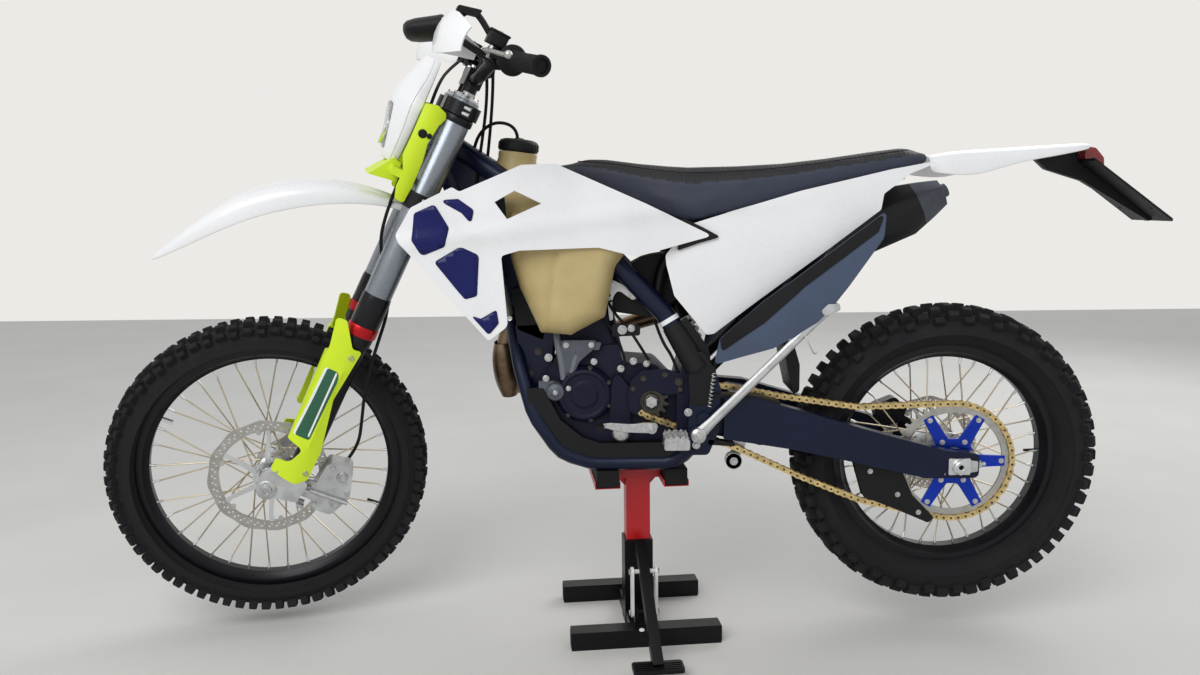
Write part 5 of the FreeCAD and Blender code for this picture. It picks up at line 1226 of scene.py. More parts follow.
class DIRTBIKE_OT_fenders(bpy.types.Operator):
    """Builds the front and rear fender, the plate bracket and the tail light"""
    bl_idname = "dirtbike.fenders"
    bl_label = "Fenders"

    def execute(self, context):
        # Columns: along, top, half width, skirt depth, slope in degrees
        rows = [(-449, -380, 22, 6, 46), (-440, -358, 44, 14, 44), (-410, -297, 62, 30, 42),
                (-352, -198, 78, 48, 40), (-286, -134, 86, 52, 32), (-193, -82, 84, 44, 18),
                (-100, -62, 74, 26, 6), (-38, -59, 62, 14, 0), (42, -59, 48, 12, 0)]
        lines = [fender_line(x, z, wide, skirt, math.radians(slope)) for x, z, wide, skirt, slope in rows]
        piece("front_fender_shell", facing(skin(lines), (0, 0, 1)), "steering", glossy_white_plastic(),
              STEERED, replaces="front_fender", levels=2, thick=3.2, smooth=60)
        rows = [(606, 1040, 90, 36, 0), (650, 1047, 94, 48, -2), (700, 1051, 94, 56, -2),
                (752, 1053, 92, 42, -2), (810, 1056, 88, 30, -2), (870, 1059, 84, 24, -2),
                (930, 1062, 74, 16, -4), (946, 1062, 66, 12, -6)]
        lines = [fender_line(x, z, wide, skirt, math.radians(slope), 2) for x, z, wide, skirt, slope in rows]
        piece("rear_fender_shell", facing(skin(lines), (0, 0, 1)), "frame", glossy_white_plastic(),
              replaces="rear_fender", levels=2, thick=3.2, smooth=60)
        dressed("plate_bracket", "frame", black_plastic(), 1.5)
        light = [(949, 1031, 2), (949, 1057, 3), (972, 1053, 8), (990, 1032, 8), (992, 998, 3), (984, 999, 2)]
        ribs = [slab([(x, z), (x + 3, z - 2), (x + 3, z + 4), (x, z + 6)], -30, 30)
                for x, z in ((978, 1041), (984, 1030), (988, 1018), (989, 1006))]
        piece("tail_light_lens", [slab(light, -34, 34)] + ribs, "frame", red_lens(), replaces="tail_light",
              edge=1.5)
        return {"FINISHED"}


# Steering group, in the steering axis's own frame

def steered_solid(node):
    """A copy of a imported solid, seen from the steering axis."""
    return moved(solid_of(node), STEERED.inverted() @ MM)


def fork_tubes():
    """Fork outer tubes with their seal heads, red rings and top caps."""
    tube_rows = [(-252, 24), (-252, 29), (189, 29), (192, 27.5), (192, 20)]
    head = [(-322, 24.5), (-322, 30), (-318, 31), (-262, 31), (-256, 30), (-252, 29.3), (-252, 24.5)]
    ring = [(-345, 24.3), (-345, 31), (-342, 32.4), (-326, 32.4), (-322, 31), (-322, 24.3)]
    cap = [(192, 26), (197, 25), (200, 22), (200, 13), (206, 12), (207, 9), (204, 8), (203, 3), (205, 0)]
    collar = [(140, 29.2), (140, 31.5), (143, 32.5), (153, 32.5), (155.5, 31), (155.5, 29.2)]
    shapes = []
    for side in (-1, 1):
        centre = (-8, side * 107, 0)
        shapes.append((turned(tube_rows, centre, "Z", 48), 0))
        for rows, number in ((head, 1), (ring, 2), (collar, 1)):
            shapes.append((turned(rows, centre, "Z", 48, loop=True), number))
        shapes.append((turned(cap, centre, "Z", 32), 3))
        for angle in range(0, 360, 60):
            way = Vector((math.cos(math.radians(angle)), math.sin(math.radians(angle)), 0))
            spot = Vector(centre) + way * 22.5
            shapes.append((rod(spot + Vector((0, 0, 196)), spot + Vector((0, 0, 201.5)), 1.6, segments=8), 1))
    piece("fork_tubes", shapes, "steering",
          [grey_anodised(), black_anodised(), red_anodised(), zinc_steel()], STEERED,
          replaces="fork_outers")


def fork_feet():
    """Fork lower tubes with bare lugs from lug_top down, pinch bolts, axle ends and wipers."""
    lug_top = -672
    foot = steered_solid("fork_lowers")
    split(foot, (0, 0, lug_top), (0, 0, 1))
    for face in foot.faces:
        face.material_index = 2 if face.calc_center_median().z < lug_top else 0
    shapes = [foot]
    wiper = [(-372, 24.1), (-372, 26), (-368, 28.5), (-352, 29.5), (-345.5, 29.5), (-345.5, 24.1)]
    axle_end = [(134.5, 21), (136.5, 21), (137.5, 19), (137.5, 12), (142.5, 11), (142.5, 7), (137.5, 6.5),
                (137.5, 0)]
    for side in (-1, 1):
        shapes.append((turned(wiper, (-8, side * 107, 0), "Z", 48, loop=True), 0))
        for height in (-706, -742):
            for y in (side * 100, side * 122):
                shapes.append((rod((16, y, height), (30, y, height), 6.5, segments=6), 1))
        rows = [(side * out, radius) for out, radius in axle_end]
        shapes.append((turned(rows, FRONT_AXLE, steps=6 if side > 0 else 36), 1))
    piece("fork_feet", shapes, "steering", [black_anodised(), zinc_steel(), cast_aluminium()], STEERED,
          replaces="fork_lowers", edge=1.2)


GUARD = [(-58, -382, 8), (-68, -324, 8), (-46, -322, 6), (-12, -374, 10), (8, -372, 10), (-6, -490, 20),
         (16, -610, 20), (14, -678, 6), (-8, -694, 10), (-66, -684, 8), (-64, -656, 3), (-36, -652, 16),
         (-20, -616, 10), (-60, -604, 5), (-54, -506, 10)]
GUARD_BAND = [(-48, -430, 4), (-18, -430, 10), (-14, -450, 6), (-18, -590, 4), (-54, -590, 4),
              (-50, -506, 10)]


def guard_face(x, z):
    """Outer face of a fork guard: round about the leg, with a raised rib behind its band."""
    rib = eased((x + 22) / 8) * eased((-4 - x) / 8) * eased((z + 640) / 40) * eased((-400 - z) / 30)
    return 140 - 12 * ((x + 18) / 46) ** 2 + 2.5 * rib


def fork_guards():
    """Yellow fork guards with their bands and screws."""
    shapes = numbered(0, both(wall(sheet(GUARD, guard_face, 9), 4)))
    # A white band, and on it a green one whose front edge stands 5 mm further back
    for lift, back, number in ((0.5, 0, 1), (0.9, 5, 2)):
        rows = [(x + (back if x < -30 else 0), z, r) for x, z, r in GUARD_BAND]
        band = sheet(rows, lambda x, z: guard_face(x, z) + lift, 9)
        shapes += numbered(number, both(wall(band, 1)))
    front = slab([(-62, -400, 6), (-50, -400, 4), (-44, -600, 4), (-58, -600, 6)], 98, 131)
    shapes += numbered(0, both(front))
    for x, z in ((4, -664), (-8, -392)):
        out = guard_face(x, z)
        screw = turned([(out - 3, 6), (out + 1, 6), (out + 2.4, 5), (out + 2.4, 3), (out - 0.5, 2.6),
                        (out - 0.5, 0)], (x, 0, z), steps=20)
        shapes += numbered(3, both(screw))
    piece("fork_guard_shells", shapes, "steering",
          [yellow_plastic(), glossy_white_plastic(), green_film(), zinc_steel()], STEERED,
          replaces="fork_guards", edge=0.8, smooth=50)


def fork_bridges():
    """Upper and lower fork clamps with bar risers, stem nut and pinch bolts."""
    nut = [(184, 20), (190, 20), (192, 18), (192, 9), (189, 8), (189, 0)]
    shapes = [(steered_solid("fork_clamps"), 0), (turned(nut, axis="Z", steps=24), 1)]
    for side in (-1, 1):
        for height in (-46, -30, 164, 176):
            shapes.append((rod((-8, side * 142, height), (6, side * 146, height), 5, segments=6), 1))
        for x in (-16, 8):
            shapes.append((rod((x, side * 44, 258), (x, side * 44, 264), 5, segments=6), 1))
    piece("fork_bridges", shapes, "steering", [black_anodised(), zinc_steel()], STEERED,
          replaces="fork_clamps", edge=1.5)


BAR_END = Vector((58, 400, 294))
BAR_BEND = Vector((10, 230, 288))


def along_bar(side, distance, out=0.0, height=0.0):
    """Point on the straight outer part of the bar, given from its end; out is ahead, height above it."""
    way = (BAR_BEND - BAR_END).normalized()
    spot = BAR_END + way * distance + Vector((-out, 0, height))
    return Vector((spot.x, spot.y * side, spot.z))


def on_bar(rows, side, steps):
    """Turned ring about the bar's outer part; rows give (distance from the bar's end, radius)."""
    middle = 50
    shape = turned([(at - middle, radius) for at, radius in rows], axis="Z", steps=steps, loop=True)
    return moved(shape, toward(along_bar(side, 0), along_bar(side, 2 * middle)))


def handlebar_set():
    """Bent handlebar with ribbed grips and their collars."""
    line = [(58, 400, 294), (34, 315, 291), (12, 240, 288), (-2, 180, 268), (-4, 130, 242), (-4, 80, 238)]
    points = [(x, -y, z) for x, y, z in line] + [(-4, 0, 238)] + list(reversed(line))
    bar = tube(points, 12.5, sides=24)
    piece("handlebar_tube", bar, "steering", black_powder_coat(), STEERED, replaces="handlebar")
    shapes = []
    for side in (-1, 1):
        rows = [(-4, 13), (-4, 18), (-2, 19.5), (3, 19.5), (5, 17.5), (8, 16.6)]
        for step in range(17):
            at = 12 + step * 6
            rows += [(at, 16.6), (at + 1, 17.6), (at + 3.5, 17.6), (at + 4.5, 16.6)]
        rows += [(116, 17.5), (120, 20), (122, 27), (124, 29), (128, 29), (130, 27), (130, 20), (146, 18),
                 (150, 13)]
        shapes.append(on_bar(rows, side, 40))
    piece("grip_rubbers", shapes, "steering", soft_rubber(), STEERED, replaces="grips",
          smooth=35)


# Columns: distance from the bar's end, ahead, above
PERCH = [(148, 6, 2), (150, 22, 0), (152, 34, -2)]
LEVER = [(158, 34, -4), (140, 48, -5), (122, 56, -6), (90, 57, -7), (50, 53, -8), (12, 54, -8), (4, 58, -8)]
GUARD_ARM = [(186, 14, -8), (184, 40, -10), (180, 88, -4)]


def upright_block(spot, ahead, across, rounding, low, high):
    """Block about a spot, from its half sizes; low and high are counted from the spot's height."""
    rows = [(spot.x + x * ahead, spot.y + y * across, rounding)
            for x, y in ((-1, -1), (1, -1), (1, 1), (-1, 1))]
    return slab(rows, spot.z + low, spot.z + high, "Z")


def bar_controls():
    """Perches, levers, reservoirs and switches."""
    shapes = []
    for side in (-1, 1):
        perch = [along_bar(side, *spot) for spot in PERCH]
        shapes.append((on_bar([(140, 12.8), (140, 18), (156, 18), (156, 12.8)], side, 24), 0))
        shapes.append((tube(perch, 9), 0))
        shapes.append((rod(perch[2] - Vector((0, 0, 12)), perch[2] + Vector((0, 0, 12)), 6, segments=6), 1))
        lever = [along_bar(side, *spot) for spot in LEVER]
        blade = tube(lever, 6.5, sides=16)
        middle = Matrix.Translation((0, 0, lever[0].z))
        shapes.append((moved(blade, middle @ Matrix.Diagonal((1, 1, 0.62, 1)) @ middle.inverted()), 1))
        ball = bmesh.new()
        bmesh.ops.create_uvsphere(ball, u_segments=16, v_segments=10, radius=7.5,
                                  matrix=Matrix.Translation(lever[-1]))
        shapes.append((ball, 1))
        cylinder = rod(along_bar(side, 150, 24, 4), along_bar(side, 186, 20, 6), 11, segments=24)
        shapes.append((cylinder, 0))
        spot = along_bar(side, 170, 26, 28)
        shapes.append((upright_block(spot, 19, 24, 6, -14, 8), 2))
        shapes.append((upright_block(spot, 21, 26, 7, 8.2, 12), 2))
        for shift in (-18, 18):
            screw = spot + Vector((0, shift, 12))
            shapes.append((rod(screw, screw + Vector((0, 0, 1.8)), 3.5, segments=12), 1))
        switch = [(188, 12.8), (188, 21), (191, 23), (214, 23), (217, 21), (217, 12.8)]
        shapes.append((on_bar(switch, side, 24), 2))
    button = along_bar(-1, 202, -18, 10)
    shapes.append((rod(button, button + Vector((9, 0, 4)), 6, segments=16), 3))
    housing = [(128, 13), (128, 24), (131, 26), (150, 26), (153, 24), (153, 13)]
    shapes.append((on_bar(housing, 1, 32), 2))
    piece("bar_controls", shapes, "steering",
          [black_anodised(), zinc_steel(), black_plastic(), red_lens()], STEERED,
          edge=0.8)


def folded_mirror():
    """Rear-view mirror folded forward on a short arm, on the left perch."""
    arm = tube([(6, -228, 296), (-22, -222, 314), (-56, -216, 338), (-76, -212, 344), (-90, -210, 330),
                (-104, -208, 306)], 6.5, sides=16)
    knuckle = slab([(-104, 326, 6), (-62, 336, 4), (-58, 352, 3), (-103, 340, 4)], -224, -200)
    head = turned([(-40, 0), (-40, 10), (-37, 20), (-30, 27), (-14, 31), (28, 33), (34, 34), (38, 33),
                   (38, 29), (35, 28.5), (35, 0)], axis="Z", steps=48)
    place = toward((-180, -196, 246), (-98, -216, 298)) @ Matrix.Diagonal((1.5, 0.68, 1, 1))
    glass = turned([(35.3, 28), (35.8, 27.5), (36, 0)], axis="Z", steps=48)
    piece("folded_mirror", [(arm, 0), (knuckle, 0), (moved(head, place), 0), (moved(glass, place), 1)],
          "steering", [black_plastic(), mirror_glass()], STEERED, edge=0.8)


# Columns: ahead, in from the bar's end, half height, how far the middle bulges ahead
HAND_GUARD = [(-36, 200, 16, 0), (-62, 190, 24, 3), (-96, 165, 36, 6), (-112, 130, 45, 9),
              (-116, 100, 48, 10), (-112, 66, 47, 9), (-104, 34, 44, 8), (-92, 14, 36, 6), (-78, 0, 26, 4)]


def hand_guards():
    """White hand guards with their arms and bolts."""
    lines = []
    for x, inward, tall, bulge in HAND_GUARD:
        line = []
        for share in (-1, -0.92, -0.6, -0.2, 0.2, 0.6, 0.92, 1):
            ahead = x - bulge * (1 - share * share)
            line.append((ahead, 400 - inward, 276 + 0.86 * tall * share))
        lines.append(line)
    shell = facing(skin(lines), (-1, 0.3, 0))
    shapes = numbered(0, both(wall(shell, 3.5)))
    for side in (-1, 1):
        arm = [along_bar(side, *spot) for spot in GUARD_ARM]
        shapes.append((tube(arm, 7), 1))
        shapes.append((on_bar([(178, 12.8), (178, 19), (196, 19), (196, 12.8)], side, 24), 1))
        end = arm[-1]
        shapes.append((rod(end, end + Vector((-10, 0, 0)), 8, segments=6), 2))
    piece("hand_guard_shells", shapes, "steering", [glossy_white_plastic(), black_plastic(), zinc_steel()],
          STEERED, replaces="hand_guards", smooth=50)


# Columns: height, half width, front, how far the front stands ahead of the sides
MASK = [(8, 46, -112, 16), (20, 60, -118, 22), (50, 80, -127, 30), (80, 94, -134, 36),
        (110, 102, -141, 40), (140, 102, -146, 42), (170, 92, -138, 40), (200, 76, -127, 34),
        (225, 58, -118, 26), (243, 42, -112, 18)]


def mask_column(number, z):
    """Value of one of the mask's columns at a height."""
    return between([(row[0], row[number]) for row in MASK], z)


def mask_point(z, share):
    """Point on the mask: share runs from -1 at the left edge to 1 at the right edge."""
    wide, front, deep = [mask_column(number, z) for number in (1, 2, 3)]
    return (front + deep * abs(share) ** 2.2, wide * share, z)


def headlight_mask():
    """White mask with its opening and rims, the lens, and the reflector behind it."""
    shares = [-1, -0.93, -0.8, -0.62, -0.5, -0.36, -0.18, 0, 0.18, 0.36, 0.5, 0.62, 0.8, 0.93, 1]
    heights = [8, 16, 28, 40, 60, 80, 100, 120, 140, 160, 180, 200, 215, 230, 243]
    shell = skin([[mask_point(z, share) for share in shares] for z in heights])
    # The lamp's opening: half the mask's width, between two rows of its grid
    gone = []
    for face in shell.faces:
        spot = face.calc_center_median()
        if 28 < spot.z < 120 and abs(spot.y) < mask_column(1, spot.z) * 0.5:
            gone.append(face)
    bmesh.ops.delete(shell, geom=gone, context="FACES")
    facing(shell, (-1, 0, 0))
    lips = []
    for side in (-1, 1):
        edge = [mask_point(z, side) for z in heights]
        back = [(-78, y + side * 1.5, z) for x, y, z in edge]
        lips.append(facing(skin([edge, back]), (0, side, 0)))
    piece("headlight_mask_shell", [shell] + lips, "steering", glossy_white_plastic(), STEERED,
          replaces="headlight_mask", thick=3.2, levels=1, smooth=60)
    lens_rows = []
    for z in (27, 36, 52, 68, 84, 100, 112, 121):
        lens_rows.append([Vector(mask_point(z, share)) + Vector((-2.0 * (1 - abs(share) * 2), 0, 0))
                          for share in (-0.5, -0.36, -0.18, 0, 0.18, 0.36, 0.5)])
    lens = facing(skin(lens_rows), (-1, 0, 0))
    piece("headlight_lens", lens, "steering", clear_lens(), STEERED, thick=2.5, levels=1,
          smooth=60)
    bowl = turned([(0, 8), (6, 20), (16, 32), (30, 40), (32, 43), (30, 43), (14, 35), (4, 23), (-3, 10),
                   (-3, 0), (0, 0)], axis="X", steps=40)
    bulb = turned([(-2, 6), (10, 6), (16, 4.5), (18, 0)], axis="X", steps=20)
    turn = Matrix.Translation((-98, 0, 74)) @ Matrix.Rotation(math.pi, 4, "Z")
    back = slab([(-40, 34, 14), (40, 34, 14), (44, 108, 16), (-44, 108, 16)], -98, -76, "X")
    piece("headlight_bowl", [(moved(bowl, turn), 0), (moved(bulb, turn), 1), (back, 2)], "steering",
          [chrome_mirror(), clear_lens(), black_plastic()], STEERED, replaces="headlight",
          edge=0.6)


BRACKET = [(-79, 74, 8), (-80, 148, 5), (-56, 156, 6), (-34, 148, 6), (-30, 138, 3), (-38, 120, 6),
           (-44, 78, 8), (-38, 40, 8), (-37, -14, 6), (-40, -52, 5), (-60, -50, 5), (-67, -26, 8),
           (-66, 6, 8), (-80, 38, 14)]


def bracket_face(x, z):
    """Outer face of a mask bracket, rounded about the fork leg."""
    return 134 - 14 * ((x + 55) / 36) ** 2


def yellow_brackets():
    """Yellow mask brackets with their dots, arms and clips, joined by the chin under the mask."""
    shapes = numbered(0, both(wall(sheet(BRACKET, bracket_face, 9), 4)))
    for x, z, radius in ((-61, 92, 8), (-47, 93, 4.5)):
        out = bracket_face(x, z)
        dot = [(out - 2, radius + 1), (out + 1.4, radius + 1), (out + 1.9, radius), (out + 1.9, 0)]
        shapes += numbered(1, both(turned(dot, (x, 0, z), steps=24)))
    chin = [(-132, -32), (-92, 20), (-74, 16), (-72, -24)]
    rings = []
    for share in (-1, -0.85, -0.5, 0, 0.5, 0.85, 1):
        pull = 14 * share * share
        rings.append([(x + pull * (0.6 if x < -100 else 0.2), share * 66, z) for x, z in chin])
    shapes.append((loft(rings), 0))
    arm = slab([(-88, -8, 3), (-58, -8, 3), (-58, 8, 3), (-88, 8, 3)], 60, 128)
    clip = slab([(-78, 150, 3), (-56, 156, 3), (-34, 148, 3), (-36, 132, 3), (-78, 132, 3)], 96, 128)
    shapes += numbered(0, both(arm) + both(clip))
    piece("yellow_brackets", shapes, "steering", [yellow_plastic(), black_plastic()], STEERED,
          replaces="mask_brackets", edge=0.8, smooth=50)


def front_caliper():
    """Caliper with its piston caps, bolts, slide pin and hose bolt."""
    shapes = [(steered_solid("front_caliper"), 0)]
    cap = [(-97, 12), (-99, 12), (-101, 10), (-101, 7), (-98, 6), (-98, 0)]
    for x, z in ((84, -660), (92, -722)):
        shapes.append((turned(cap, (x, 0, z), steps=32), 1))
    for x, z in ((52, -740), (58, -648), (108, -692)):
        shapes.append((rod((x, -102, z), (x, -96, z), 6, segments=6), 1))
    shapes.append((rod((30, -100, -712), (118, -100, -712), 5, segments=16), 1))
    shapes.append((rod((80, -90, -628), (80, -90, -614), 5, segments=6), 1))
    piece("front_caliper_body", shapes, "steering", [cast_aluminium(), zinc_steel()], STEERED,
          replaces="front_caliper", edge=2.0)


BRAKE_HOSE = [(80, -90, -616), (88, -92, -580), (70, -100, -520), (44, -112, -440), (34, -104, -360),
              (28, -82, -280), (0, -70, -215), (-46, -66, -160), (-60, -66, -80), (-62, -58, 20),
              (-60, -30, 120), (-62, 40, 196), (-50, 120, 240), (-26, 180, 280)]
LEFT_CABLES = [[(4, -206, 278), (2, -160, 270), (6, -96, 262), (22, -66, 240), (44, -54, 190),
                (66, -50, 120), (84, -44, 60), (100, -40, 20)],
               [(2, -214, 286), (8, -150, 284), (18, -84, 272), (36, -60, 240), (58, -46, 190),
                (84, -40, 120), (104, -34, 60), (120, -30, 20)]]


class DIRTBIKE_OT_fork(bpy.types.Operator):
    """Builds the fork with its clamps, guards, caliper and brake hose"""
    bl_idname = "dirtbike.fork"
    bl_label = "Fork"

    def execute(self, context):
        fork_tubes()
        fork_feet()
        fork_guards()
        fork_bridges()
        front_caliper()
        hose = tube(BRAKE_HOSE, 3.6)
        piece("front_brake_hose", hose, "steering", soft_rubber(), STEERED)
        dressed("front_axle", "front_wheel", machined_aluminium(), 0.8)
        return {"FINISHED"}


class DIRTBIKE_OT_cockpit(bpy.types.Operator):
    """Builds the handlebar with its controls and guards, the mask and the headlight"""
    bl_idname = "dirtbike.cockpit"
    bl_label = "Cockpit"

    def execute(self, context):
        handlebar_set()
        bar_controls()
        folded_mirror()
        hand_guards()
        headlight_mask()
        yellow_brackets()
        return {"FINISHED"}


# Engine, exhaust and radiators

def bolt(spot, radius, tall, way=(0, -1, 0)):
    """Bolt head on a washer, standing out from a spot."""
    spot, way = Vector(spot), Vector(way)
    return [rod(spot, spot + way * tall * 0.3, radius * 1.45, segments=20),
            rod(spot + way * tall * 0.3, spot + way * tall, radius, segments=6)]


def bolts(rows, way=(0, -1, 0)):
    """Bolt heads from (along, across, height, radius, tall) rows."""
    return [shape for *spot, radius, tall in rows for shape in bolt(spot, radius, tall, way)]


def engine_covers():
    """Turned side covers with stepped rims and their rings of bolts."""
    left = [(-96, 0), (-96, 26), (-93, 30), (-93, 44), (-96, 48), (-94, 54), (-86, 58), (-80, 62),
            (-70.3, 62), (-70.3, 0)]
    right = [(112, 0), (112, 40), (109, 46), (109, 60), (106, 70), (98, 76), (84, 80), (78.3, 80), (78.3, 0)]
    small = [(100, 0), (100, 16), (96, 20), (96, 28), (92, 34), (78.3, 36), (78.3, 0)]
    shapes = [(turned(left, (-112, 0, 545)), 0), (turned(right, (-52, 0, 520)), 0),
              (turned(small, (-128, 0, 470)), 0)]
    plate = slab([(-60, 470, 10), (-16, 452, 10), (-14, 480, 6), (-16, 560, 10), (-44, 596, 10),
                  (-56, 560, 5)], -88, -70.3)
    shapes.append((plate, 0))
    # Columns: bolts in the ring, share of a step it is turned by, middle, radius, height and way of a bolt
    for count, turn, (x, y, z), radius, tall, way in ((7, 0.5, (-112, -84, 545), 57, 9, (0, -1, 0)),
                                                      (9, 0, (-52, 98, 520), 74, 8, (0, 1, 0))):
        for number in range(count):
            angle = 2 * math.pi * (number + turn) / count
            spot = (x + radius * math.cos(angle), y, z + radius * math.sin(angle))
            shapes += numbered(1, bolt(spot, 4.2, tall, way))
    piece("engine_side_covers", shapes, "frame", [cast_cases(), dark_steel()], replaces="engine_covers",
          edge=1.2)


def engine_left_side():
    """Water pump, brackets, drain dome, bolts, coolant hoses and wires on the near side."""
    pump = [(-101, 0), (-101, 8), (-98, 12), (-97, 17), (-93, 20), (-84, 21), (-70, 21), (-70, 0)]
    dome = [(-97, 0), (-95, 12), (-90, 18), (-84, 21), (-70, 22), (-70, 0)]
    shapes = [(turned(pump, (-174, 0, 552)), 0), (turned(dome, (-35, 0, 459)), 1)]
    bracket = slab([(-157, 663, 4), (-85, 662, 4), (-92, 642, 8), (-122, 616, 10), (-139, 577, 4),
                    (-154, 577, 4), (-164, 640, 8)], -89, -84)
    arm = slab([(-110, 640, 3), (-80, 640, 3), (-74, 656, 3), (-104, 660, 3)], -84, -66)
    shapes += [(bracket, 0), (arm, 0), (block((-210, -90, 545), (-176, -70, 575)), 0)]
    shapes += numbered(1, bolts([
        (-194, -90, 581, 5, 8), (-91, -89, 616, 5, 8), (-7, -74, 614, 5.5, 14), (-34, -74, 598, 5.5, 14),
        (21, -74, 608, 5, 14), (-146, -92, 559, 4, 7), (-150, -89, 652, 4.5, 6), (-96, -89, 652, 4.5, 6),
        (-174, -101, 552, 3.6, 5), (-188, -84, 625, 6, 8), (-30, -82, 683, 7, 12), (-11, -82, 686, 5.5, 12)]))
    block_rows = [(-52, 668, 5), (8, 670, 5), (8, 690, 5), (-52, 696, 5)]
    shapes.append((slab(block_rows, -82, -62), 2))
    piece("engine_left_fittings", shapes, "frame", [grey_casting(), zinc_steel(), black_plastic()],
          edge=0.8)
    hoses = [tube([(-170, -70, 678), (-170, -82, 660), (-160, -86, 620), (-156, -84, 578)], 7.5, sides=16),
             tube([(-122, -70, 648), (-128, -84, 632), (-134, -88, 610), (-142, -84, 580)], 6.5, sides=16)]
    piece("coolant_hoses", hoses, "frame", grey_hose())
    wires = [tube([(-60, -64, 742), (-46, -76, 716), (-20, -80, 690), (6, -78, 650), (26, -74, 616)], 3.2),
             tube([(-100, -66, 730), (-66, -80, 705), (-30, -78, 650), (-24, -74, 606)], 2.6),
             tube([(40, -66, 700), (52, -88, 660), (80, -92, 620), (92, -88, 574)], 3.4)]
    piece("engine_wiring", wires, "frame", soft_rubber())


CYLINDER = Matrix.Translation((-98, 0, 646)) @ Matrix.Rotation(math.radians(-12), 4, "Y")


def along_tower(across, side, up):
    """Point given in the leaning cylinder's own frame."""
    return CYLINDER @ Vector((across, side, up))


def cylinder_parts():
    """Plug cap, cover nuts, intake boot and side ribs on the leaning cylinder."""
    shapes = [(rod(along_tower(0, 0, 182), along_tower(0, 0, 204), 15, 12), 1)]
    way = along_tower(0, 0, 1) - along_tower(0, 0, 0)
    for across in (-44, 44):
        for side in (-48, 48):
            shapes += numbered(0, bolt(along_tower(across, side, 182), 6, 9, way))
    shapes.append((rod(along_tower(60, 0, 112), along_tower(98, 0, 112), 30, 27), 1))
    for at in (84, 96, 108, 120, 132, 144):
        for rib in both(block((-66, -74, at), (66, -69, at + 4))):
            shapes.append((moved(rib, CYLINDER), 2))
    piece("cylinder_fittings", shapes, "frame", [zinc_steel(), soft_rubber(), cast_cases()],
          edge=0.8)


def skid_guard():
    """Guard along the foot of the cases, on both sides and below."""
    rows = [(-237, 560, 4), (-232, 520, 4), (-190, 448, 6), (-140, 408, 6), (-92, 402, 6), (96, 402, 4),
            (96, 440, 4), (-78, 438, 6), (-118, 452, 6), (-164, 490, 6), (-200, 560, 4)]
    floor = slab([(-228, 500, 10), (-180, 436, 20), (-100, 396, 6), (90, 396, 4), (90, 402, 4),
                  (-96, 404, 10), (-172, 444, 20), (-220, 508, 10)], -72, 72)
    piece("skid_guard", both(slab(rows, -92, -70)) + [floor], "frame", black_plastic(),
          edge=1.5)


def hidden_masses():
    """Dark parts that close the view through the frame, from the head gusset to the air box."""
    gusset = slab([(-412, 1036, 4), (-392, 1066, 4), (-250, 972, 10), (-206, 920, 10), (-262, 720, 6),
                   (-300, 762, 6)], -15, 15)
    hanger = slab([(-262, 690, 4), (-176, 694, 6), (-186, 560, 6), (-226, 520, 6), (-246, 560, 6)], -44, -38)
    shapes = numbered(0, [gusset] + both(hanger))
    rear_mount = slab([(84, 440, 4), (112, 446, 4), (112, 604, 4), (96, 606, 4), (84, 560, 4)], -96, 96)
    shapes.append((rear_mount, 1))
    intake = slab([(-62, 742, 10), (-44, 716, 8), (30, 704, 8), (64, 722, 10), (110, 760, 8), (110, 850, 8),
                   (20, 836, 10), (-50, 800, 10)], -40, 40)
    air_box = slab([(108, 760, 10), (196, 700, 10), (240, 700, 10), (430, 880, 10), (400, 930, 10),
                    (150, 880, 10)], -52, 52)
    hose_end = slab([(-268, 770, 6), (-232, 776, 6), (-196, 690, 6), (-200, 655, 6), (-258, 680, 6)], -44, 22)
    shapes += numbered(2, [intake, air_box, hose_end])
    # Cover above the drive sprocket, hollowed below round its shaft
    rows = [(-2, 500, 4), (-16, 508, 6), (-20, 540, 8), (-14, 574, 10), (10, 596, 10), (62, 600, 10),
            (100, 588, 8), (100, 548, 4), (66, 543, 4)]
    for degrees in (45, 70, 100, 130, 160, 190, 215):
        angle = math.radians(degrees)
        rows.append((31 + 26 * math.cos(angle), 528 + 26 * math.sin(angle)))
    shapes.append((slab(rows, -97, -92), 1))
    piece("frame_fillings", shapes, "frame", [frame_paint(), cast_cases(), black_plastic()],
          edge=1.5)
    heads = bolts([(89, -97, 572, 6, 9), (60, -97, 588, 4.5, 7), (14, -97, 580, 4.5, 7), (-8, -97, 558, 4, 7),
                   (92, -97, 556, 4, 6), (-232, -44, 584, 6, 9), (-212, -44, 632, 6, 9)])
    piece("case_bolts", heads, "frame", dark_steel(), edge=0.5)


HEADER = [(-188, 16, 747.5), (-230, 16, 738.6), (-272, 52, 700), (-298, 56, 640), (-300, 64, 575),
          (-268, 110, 515), (-180, 136, 560), (-60, 142, 655), (100, 142, 698), (164, 94, 712),
          (232, 98, 732), (280.3, 132, 766.6), (321.7, 132, 785.9)]


